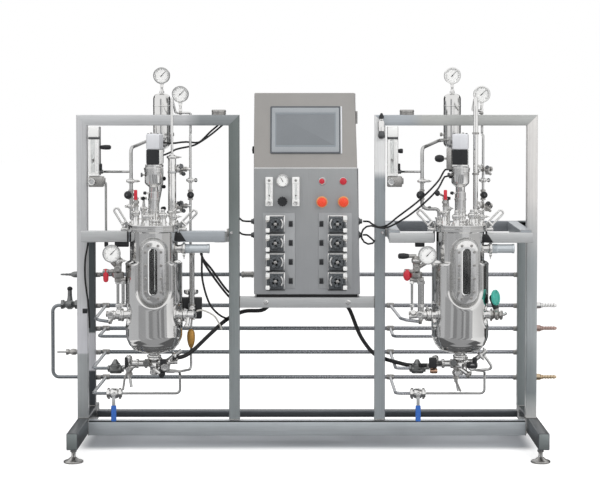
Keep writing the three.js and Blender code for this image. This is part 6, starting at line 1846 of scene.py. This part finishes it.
def panel_meter(piece, x):
    """A small purge rotameter: white block, clear bore with its float, and the needle valve at its foot."""
    front = CABINET_FRONT
    piece.block(v(x - 14, front - 8, 919), v(x + 14, front + 0.3, 1028), "white", 2, 3)
    piece.block(v(x - 14, front - 17.6, 1004), v(x + 14, front - 7, 1028), "white", 2, 3)
    piece.block(v(x - 14, front - 17.6, 919), v(x + 14, front - 7, 944), "white", 2, 3)
    piece.block(v(x - 13, front - 15, 943), v(x + 13, front - 7.4, 1005), "white", 2, 3)
    piece.lathe(v(x, front - 14.6, 0), Z, [(0, 944), (3, 944), (3.8, 1003), (0, 1003)], "clear", 16)
    piece.lathe(v(x, front - 15.4, 958), Z, [(0, -3), (2.4, 0), (2.4, 3), (0, 4)], "faint", 12)
    for i in range(11):
        z = 949 + 5 * i
        piece.block(v(x + 5, front - 15.5, z), v(x + (10 if i % 5 == 0 else 8), front - 14.8, z + 0.7),
                    "faint", 0.2, 1)
    hexagon(piece, v(x, front - 17.4, 1016), -Y, 2.4, 5.4, "cast")
    piece.rod(v(x, front - 17, 931), v(x, front - 18, 931), 9, "cast", 8)
    knob(piece, v(x, front - 17.8, 931), -Y, 7.4, 8, "bright", 8)


def build_screen():
    panel = stand_piece("touch_screen", "screen")
    panel.place = turned(v(0, CABINET_FRONT, CABINET_FOLD), -LEAN, "X")
    cx, cz = -6, CABINET_FOLD + 148
    wide, tall = 266, 186
    panel.plate(rounded_rectangle(wide, tall, 5, 4), rounded_rectangle(wide - 14, tall - 14, 3, 4),
                v(cx, CABINET_FRONT - 5, cz), 4.6, "bezel_edge", 1)
    panel.plate(rounded_rectangle(wide - 12, tall - 12, 4, 4), rounded_rectangle(wide - 40, tall - 52, 3, 4),
                v(cx, CABINET_FRONT - 5.3, cz), 5, "bezel_pale", 1.2)
    panel.plate(rounded_rectangle(wide - 38, tall - 50, 3, 4), rounded_rectangle(wide - 46, tall - 66, 2, 4),
                v(cx, CABINET_FRONT - 4.6, cz), 3, "bezel", 0.6)
    panel.plate(rounded_rectangle(wide - 42, tall - 62, 2, 4), None, v(cx, CABINET_FRONT - 4, cz), 3,
                "screen", 0.4)
    panel.block(v(cx + wide / 2 - 0.4, CABINET_FRONT - 4.6, cz - tall / 2),
                v(cx + wide / 2 + 5.6, CABINET_FRONT - 0.3, cz + tall / 2), "cap", 1)
    panel.block(v(cx - wide / 2 + 9, CABINET_FRONT - 0.6, cz - 84),
                v(cx + wide / 2 - 9, CABINET_FRONT + 33, cz + 84), "black", 3)
    panel.make()


def build_pumps(name, x0, x1, pump_x, switch_x, out):
    bank = Piece(f"pump_bank_{name}_look", "stand", [f"pump_bank_{name}"], "dark_steel")
    face = CABINET_FRONT - 0.3
    front = face - 3
    middle, tall = (x0 + x1) / 2, 893 - 607.6
    bank.plate(rounded_rectangle(x1 - x0, tall, 3, 4), None, v(middle, front, 607.6 + tall / 2), 3,
               "cabinet", 0.8)
    for i in range(4):
        z = 852 - 71.7 * i
        low = v(pump_x - 36, front - 3, z - 32)
        bank.block(low, v(pump_x + 36, front + 0.6, z + 32), "bright", 1.4)
        bank.block(v(pump_x - 33, front - 22, z - 29), v(pump_x + 31, front - 2.4, z + 29), "pump", 3, 3)
        # a dark strip under each pump head: a painted shadow
        bank.block(v(pump_x - 35, front - 6, z - 37), v(pump_x + 35, front - 0.6, z - 32), "dark_steel", 1)
        hub = v(pump_x, front - 22, z)
        bank.lathe(hub, -Y, [(0, 0), (25, 0), (25, 3), (23, 4), (0, 4)], "pump", 40)
        bank.lathe(hub - Y * 4, -Y, [(25.5, -4), (26.6, -3), (26.6, 3), (24.4, 4.4), (24.4, 1)], "pump", 40)
        for k in range(4):
            a = math.radians(45 + 90 * k + 11 * i)
            spot = hub + v(16 * math.cos(a), -4, 16 * math.sin(a))
            bank.lathe(spot, -Y, [(0, 0), (6.6, 0), (6.6, 5), (5.4, 6), (2, 6), (2, 4.6), (0, 4.6)], "pump",
                       20)
            bank.block_at(hub + v(8 * math.cos(a), -5, 8 * math.sin(a)), v(math.cos(a), 0, math.sin(a)),
                          v(-math.sin(a), 0, math.cos(a)), 16, 7, 3, "pump", 1)
        bank.lathe(hub - Y * 4, -Y, [(0, 0), (6, 0), (6, 7), (4.4, 8), (0, 8)], "cast", 24)
        # a bright arc beside each rotor: a painted highlight
        sweep = [hub + v(-out * 27 * math.cos(math.radians(t)), -6, 27 * math.sin(math.radians(t)))
                 for t in range(-34, 50, 7)]
        section = [(4 * math.cos(math.pi * j / 6), 4 * math.sin(math.pi * j / 6)) for j in range(12)]
        bank.sweep(sweep, section, "bright")
        for sz in STATIONS:
            latch = v(pump_x + out * 29, front - 18, z + sz * 23)
            bank.block(latch - v(8, 13, 8), latch + v(8, 0, 8), "white", 3, 3)
            hexagon(bank, v(pump_x - out * 30, front - 2.8, z + sz * 28), -Y, 2, 3, "cast")
        tube_x = pump_x + out * 31
        bank.pipe([v(tube_x, front - 12, z + 8), v(tube_x + out * 4, front - 22, z + 10),
                   v(tube_x - out * 12, front - 25, z + 14)], 3.4, "tube_pale", 6, 12)
        bank.block(v(switch_x - 8, front - 2.4, z - 11.4), v(switch_x + 8, front + 0.6, z + 11.4),
                   "dark_steel", 1.4)
        bank.block(v(switch_x - 6, front - 6, z - 9.6), v(switch_x + 6, front - 2, z + 9.6), "black", 1.6, 3)
    bank.make()


def build_door():
    door = Piece("cabinet_door_look", "cabinet_door_body", ["cabinet_door"], "cabinet_steel")
    z0, z1 = 650, 1334
    door.block(v(-190, 260.3, z0), v(190, 263.3, z1), "cabinet", 1.2)
    door.block(v(-184, 258.6, z0 + 8), v(184, 260.6, z1 - 18), "cabinet", 0.8)
    for z in (730, 1224):
        door.rod(v(194, 264.6, z), v(194, 264.6, z + 50), 4.6, "cast", None, 20)
        door.rod(v(194, 264.6, z + 24.4), v(194, 264.6, z + 25.6), 5, "dark_steel", None, 20, 0.2)
        door.block(v(160, 263, z + 4), v(191, 265.2, z + 46), "cast", 1)
    door.block(v(-170, 263, 960), v(-156, 266.5, 1010), "black", 1.4)
    door.block(v(-168, 266, 968), v(-158, 276.3, 1004), "black", 3, 3)
    door.lathe(v(-163, 266, 978), Y, [(0, 0), (4, 0), (4, 1.4), (0, 1.4)], "bright", 16)
    for k in range(9):
        z = 1230 - 9 * k
        door.block(v(-60, 262.8, z), v(60, 264.2, z + 3), "dark_steel", 0.6)
    door.make()


# ---------------------------------------------------------------- cables and hoses

CABLE_R, HOSE_R = 3.5, 7.5


def spline_through(points, count):
    """A centripetal Catmull-Rom curve, sampled evenly along its length."""
    ends = [points[0] * 2 - points[1], *points, points[-1] * 2 - points[-2]]
    fine = []
    for p0, p1, p2, p3 in zip(ends, ends[1:], ends[2:], ends[3:]):
        d0, d1, d2 = (max((b - a).length ** 0.5, 1e-3) for a, b in ((p0, p1), (p1, p2), (p2, p3)))
        m1 = ((p1 - p0) / d0 - (p2 - p0) / (d0 + d1) + (p2 - p1) / d1) * d1
        m2 = ((p2 - p1) / d1 - (p3 - p1) / (d1 + d2) + (p3 - p2) / d2) * d1
        for i in range(12):
            t = i / 12
            a, b = 2 * t ** 3 - 3 * t ** 2 + 1, t ** 3 - 2 * t ** 2 + t
            c, d = -2 * t ** 3 + 3 * t ** 2, t ** 3 - t ** 2
            fine.append(p1 * a + m1 * b + p2 * c + m2 * d)
    fine.append(points[-1])
    along = [0.0]
    for a, b in zip(fine, fine[1:]):
        along.append(along[-1] + (b - a).length)
    samples, place = [], 0
    for i in range(count):
        want = along[-1] * i / (count - 1)
        while place < len(fine) - 2 and along[place + 1] < want:
            place += 1
        share = (want - along[place]) / max(along[place + 1] - along[place], 1e-9)
        samples.append(fine[place].lerp(fine[place + 1], min(1, share)))
    return samples, along[-1]


def lead(name, points, radius, finish, stands_for=(), count=32):
    """A flexible line as one open curve from its first point to its last."""
    samples, long = spline_through(points, count)
    curve = bpy.data.curves.new(name, "CURVE")
    curve.dimensions = "3D"
    curve.bevel_depth = radius * MM
    curve.bevel_resolution = 5
    curve.use_fill_caps = True
    spline = curve.splines.new("POLY")
    spline.points.add(len(samples) - 1)
    for spot, p in zip(spline.points, samples):
        spot.co = (*(p * MM), 1)
    spline.use_smooth = True
    curve.materials.append(MATERIALS[finish])
    made = bpy.data.objects.new(name, curve)
    bpy.context.scene.collection.objects.link(made)
    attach(made, "stand")
    if stands_for:
        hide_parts(*stands_for)
    return made


def gland(side, z, away=0.0):
    return v(side * (214.3 + away), 60, z)


def build_leads():
    def left_plug(z, away=0.0):
        return v(-551, -138.7 + away, z)

    def right_plug(z, away=0.0):
        return v(520.7 - away, VESSEL_Y, z)

    def plinth(x, away=0.0):
        return v(x, 100, SHELF_TOP - away)

    def cable(name, points):
        lead(f"{name}_look", points, CABLE_R, "rubber", stands_for=[name], count=40)

    cable("cable_left_upper", [
        gland(-1, HIGH_GLAND), gland(-1, HIGH_GLAND, 12), v(-250, 36, 860), v(-268, 23, 890),
        v(-270, 21, 960), v(-270, 21, 1080), v(-278, 21, 1190),
        v(-296, 24, 1232), v(-318, 25, 1238), v(-340, 22, 1219), v(-364, 0, 1198), v(-390, -30, 1171),
        v(-406, -60, 1158), v(-454, -100, 1161), v(-505, -112, 1156), left_plug(1163, 14), left_plug(1163),
    ])
    cable("cable_left_lower", [
        gland(-1, LOW_GLAND), gland(-1, LOW_GLAND, 12), v(-250, 38, 808), v(-282, 23, 846), v(-286, 21, 940),
        v(-286, 21, 1080), v(-287, 22, 1180),
        v(-292, 24, 1218), v(-306, 24, 1233), v(-324, 20, 1219), v(-359, -5, 1189), v(-398, -40, 1161),
        v(-424, -70, 1147), v(-488, -110, 1133), v(-520, -112, 1116), left_plug(1110, 14), left_plug(1110),
    ])
    cable("cable_right_upper", [
        gland(1, HIGH_GLAND), gland(1, HIGH_GLAND, 10), v(236, 20, 855), v(246, -34, 850), v(268, -54, 840),
        v(296, -66, 846),
        v(335, -104, 880), v(418, -188, 954), v(482, -200, 1022), right_plug(1062, 12), right_plug(1062),
    ])
    cable("cable_right_lower", [
        gland(1, LOW_GLAND), gland(1, LOW_GLAND, 10), v(228, 30, 804), v(242, -20, 795), v(253, -52, 783),
        v(226, -54, 777), v(206, -54, 796), v(207, -54, 826), v(230, -54, 845), v(256, -56, 842),
        v(290, -70, 838), v(352, -126, 872), v(418, -190, 928), v(478, -204, 990), right_plug(1038, 12),
        right_plug(1038),
    ])
    lamp = (
        ("lamp_lead_a", [v(-390, -189, 753), v(-382, -170, 730), v(-360, -120, 695), v(-302, -4, 596),
                         v(-286, 20, 580), v(-272, 24, 574)]),
        ("lamp_lead_b", [v(-388, -190, 753), v(-382, -176, 726), v(-364, -124, 684), v(-302, -4, 580),
                         v(-286, 20, 562), v(-272, 24, 556)]),
        ("lamp_lead_c", [v(-386, -188, 753), v(-387, -180, 720), v(-386, -170, 658), v(-364, -110, 561),
                         v(-337, -60, 517), v(-306, 0, 490), v(-284, 22, 486)]),
    )
    for name, points in lamp:
        lead(name, points, 3.8 if name.endswith("c") else 4.2, "rubber")
    lead("post_lead", [
        v(-824, -20, 792), v(-828, -29, 762), v(-836, -30.5, 716), v(-837, -30.5, 650), v(-832, -30, 600),
        v(-826, -28, 556), v(-823, -24, 500), v(-822, -20, 456),
    ], 3.4, "rubber")
    lead("sample_tube", [
        v(-406, -174, 539), v(-394, -160, 541), v(-378, -140, 535), v(-346, -100, 511), v(-331, -60, 479),
        v(-322, -30, 452),
    ], 3.2, "tube_pale", count=24)

    def hose_port(side, away=0.0):
        dx, z = HOSE_PORT[side]
        return from_axis(side, dx - side * (GAP + away), -4, z)

    lead("hose_left_look", [
        plinth(-135), plinth(-135, 24), v(-165, 96, 512), v(-240, 70, 508), v(-302, 10, 486),
        v(-365, -70, 438), v(-420, -150, 392), v(-448, -170, 374), v(-474, -190, 369), v(-494, -196, 368),
    ], HOSE_R, "rubber", stands_for=["hose_left"], count=40)
    lead("hose_right_look", [
        plinth(138), plinth(138, 24), v(163, 100, 512), v(208, 98, 405), v(255, 72, 346), v(296, 10, 334),
        v(332, -45, 331), v(376, -86, 326), v(404, -100, 326), v(424, -150, 334), hose_port(1, 14),
        hose_port(1),
    ], HOSE_R, "rubber", stands_for=["hose_right"], count=40)


# ---------------------------------------------------------------- studio

# the floor's white, and the grey of the shadow painted under the stand
FLOOR_WHITE, FLOOR_SHADOW = (0.93, 0.93, 0.93, 1), (0.56, 0.58, 0.61, 1)
FLOOR_GLOW, WORLD_LIGHT = 0.5, 0.55
# the edges of the floor's painted shadow under the stand: an axis, and where the grey starts and is full, in
# metres
SHADOW_PATCH = (("Y", -0.1, 0.03), ("Y", 0.3, 0.24), ("X", -0.9, -0.82), ("X", 0.9, 0.82))
# screens that start this near the stand end this far from it, in metres
NEAR, FAR = 1.4, 7.8
ARC_STEPS = 24


def floor_paint():
    """White to the camera, with a painted grey shadow under the stand, where the glow to the camera fades out
    too.
    """
    paint = bpy.data.materials.new("floor_white")
    paint.use_nodes = True
    tree = paint.node_tree
    shader = tree.nodes["Principled BSDF"]
    shader.inputs["Roughness"].default_value = 0.6
    shader.inputs["Specular IOR Level"].default_value = 0
    shader.inputs["Emission Color"].default_value = (1, 1, 1, 1)
    rays = tree.nodes.new("ShaderNodeLightPath")
    split = object_axes(tree)
    shade = None
    for axis, start, full in SHADOW_PATCH:
        edge = range_node(tree, split[axis], start, full, curve="SMOOTHSTEP")
        shade = math_node(tree, "MULTIPLY", shade, edge) if shade else edge
    glow = range_node(tree, shade, low=FLOOR_GLOW, high=0.0)
    lift = math_node(tree, "MULTIPLY", rays.outputs["Is Camera Ray"], glow)
    tree.links.new(lift, shader.inputs["Emission Strength"])
    tree.links.new(mix_node(tree, shade, FLOOR_WHITE, FLOOR_SHADOW), shader.inputs["Base Color"])
    return paint


def build_world():
    """A white world: full strength to the camera, in metal and through glass, and dimmer as light."""
    world = bpy.data.worlds.new("studio")
    bpy.context.scene.world = world
    world.use_nodes = True
    tree = world.node_tree
    fill = tree.nodes["Background"]
    fill.inputs["Color"].default_value = (1, 1, 1, 1)
    rays = tree.nodes.new("ShaderNodeLightPath")
    mirror = math_node(tree, "MAXIMUM", rays.outputs["Is Glossy Ray"], rays.outputs["Is Transmission Ray"])
    seen = math_node(tree, "MAXIMUM", rays.outputs["Is Camera Ray"], mirror)
    tree.links.new(range_node(tree, seen, low=WORLD_LIGHT), fill.inputs["Strength"])


def screen(name, points, faces, shade):
    """An even grey sheet that only glossy rays see."""
    mesh = bpy.data.meshes.new(name)
    mesh.from_pydata(points, [], faces)
    grey = bpy.data.materials.new(name)
    grey.use_nodes = True
    skin = grey.node_tree.nodes["Principled BSDF"]
    skin.inputs["Base Color"].default_value = (0, 0, 0, 1)
    skin.inputs["Specular IOR Level"].default_value = 0
    skin.inputs["Emission Color"].default_value = (shade, shade * 1.01, shade * 1.03, 1)
    skin.inputs["Emission Strength"].default_value = 1
    mesh.materials.append(grey)
    made = bpy.data.objects.new(name, mesh)
    made.visible_camera = False
    made.visible_diffuse = False
    made.visible_shadow = False
    made.visible_transmission = False
    bpy.context.scene.collection.objects.link(made)


def flag(name, first, last, shade, near=1.6, high=5.0, low=0.004, far=9.0):
    """A screen on an arc round the stand: a strip of floor from near to far, and a wall at its far edge.

    The angles run from the front, positive to the right.
    """
    points = []
    for radius, height in ((near, low), (far, low), (far, high)):
        for i in range(ARC_STEPS + 1):
            angle = math.radians(first + (last - first) * i / ARC_STEPS)
            points.append((radius * math.sin(angle), -radius * math.cos(angle), height))
    row = ARC_STEPS + 1
    faces = [[k * row + i, k * row + i + 1, (k + 1) * row + i + 1, (k + 1) * row + i]
             for k in range(2) for i in range(ARC_STEPS)]
    screen(name, points, faces, shade)


def build_screens():
    for name, near, far, shade in (("front", -1.5, -0.5, 0.36), ("rear", -0.5, 0.3, 0.12)):
        sheet = [(-1.2, near, 0.003), (1.2, near, 0.003), (1.2, far, 0.003), (-1.2, far, 0.003)]
        screen(f"flag_below_{name}", sheet, [[0, 1, 2, 3]], shade)
    stripes = ((-62, -34, 0.38), (-34, -23, 0.52), (-23, -8, 0.27), (-8, 9, 0.4), (9, 17, 0.22),
               (17, 24, 0.5), (24, 38, 0.27), (38, 50, 0.5))
    for i, (first, last, shade) in enumerate(stripes):
        flag(f"flag_front_{i}", first, last, shade, NEAR, 0.01, 0.006, FAR)
    walls = ((-112, -96, 0.06), (-96, -70, 0.35), (-70, 8, 0.45), (8, 40, 0.68))
    for i, (first, last, shade) in enumerate(walls):
        flag(f"flag_high_{i}", first, last, shade, FAR, 0.95)
    flag("flag_front_high", -24, -4, 0.4, 8.9, 3.0, 0.9)
    flag("flag_left", -112, -62, 0.55, NEAR, 0.01, 0.006, FAR)
    flag("flag_left_rear", -165, -112, 0.06, 1.3)
    flag("flag_right_rear", 106, 165, 0.06, 1.3)


def lamp(name, place, aim, size, power):
    light = bpy.data.lights.new(name, "AREA")
    light.shape = "RECTANGLE"
    light.size, light.size_y = size
    light.energy = power
    made = bpy.data.objects.new(name, light)
    made.location = place
    made.rotation_euler = (Vector(aim) - Vector(place)).to_track_quat("-Z", "Y").to_euler()
    made.visible_glossy = False
    bpy.context.scene.collection.objects.link(made)


def build_studio():
    floor = bpy.data.meshes.new("floor")
    floor.from_pydata([(-30, -14, 0), (30, -14, 0), (30, 30, 0), (-30, 30, 0)], [], [[0, 1, 2, 3]])
    floor.materials.append(floor_paint())
    ground = bpy.data.objects.new("floor", floor)
    bpy.context.scene.collection.objects.link(ground)
    build_world()
    build_screens()
    lamp("key", (2.6, -4.2, 3.6), (0, 0, 0.7), (2.2, 2.2), 95)
    lamp("fill", (-3.2, -4.0, 2.6), (0, 0, 0.7), (2.0, 2.6), 45)
    lamp("top", (0, 0.2, 4.2), (0, 0, 0.6), (3.5, 2.5), 60)
    bpy.context.scene.view_settings.view_transform = "Standard"


def build_camera():
    camera = bpy.data.cameras.new("camera")
    camera.sensor_width = 36
    camera.lens = 100.4
    camera.shift_x = -0.0117
    camera.shift_y = -0.146
    camera.clip_end = 60
    made = bpy.data.objects.new("camera", camera)
    made.location = (0, -6.32, 1.302)
    made.rotation_euler = (math.radians(88), 0, 0)
    bpy.context.scene.collection.objects.link(made)
    bpy.context.scene.camera = made


def build_all():
    make_materials()
    build_camera()
    build_studio()
    build_leads()
    build_base()
    build_shelf()
    build_headers()
    build_cabinet()
    for side in STATIONS:
        build_portal(side)
        build_cradle(side)
        for end, way in (("front", -1), ("rear", 1)):
            build_foot(f"foot_{end}_{NAME[side]}", side * (OUTER_X - 20), way * 280)
        build_vessel(side)
        build_sight(side)
        build_lid(side)
        build_drive(side)
        build_condenser(side)
        build_vent(side)
        build_rotameter(side)
        build_manifold(side)
        build_drain(side)


build_all()
bpy.context.view_layer.update()
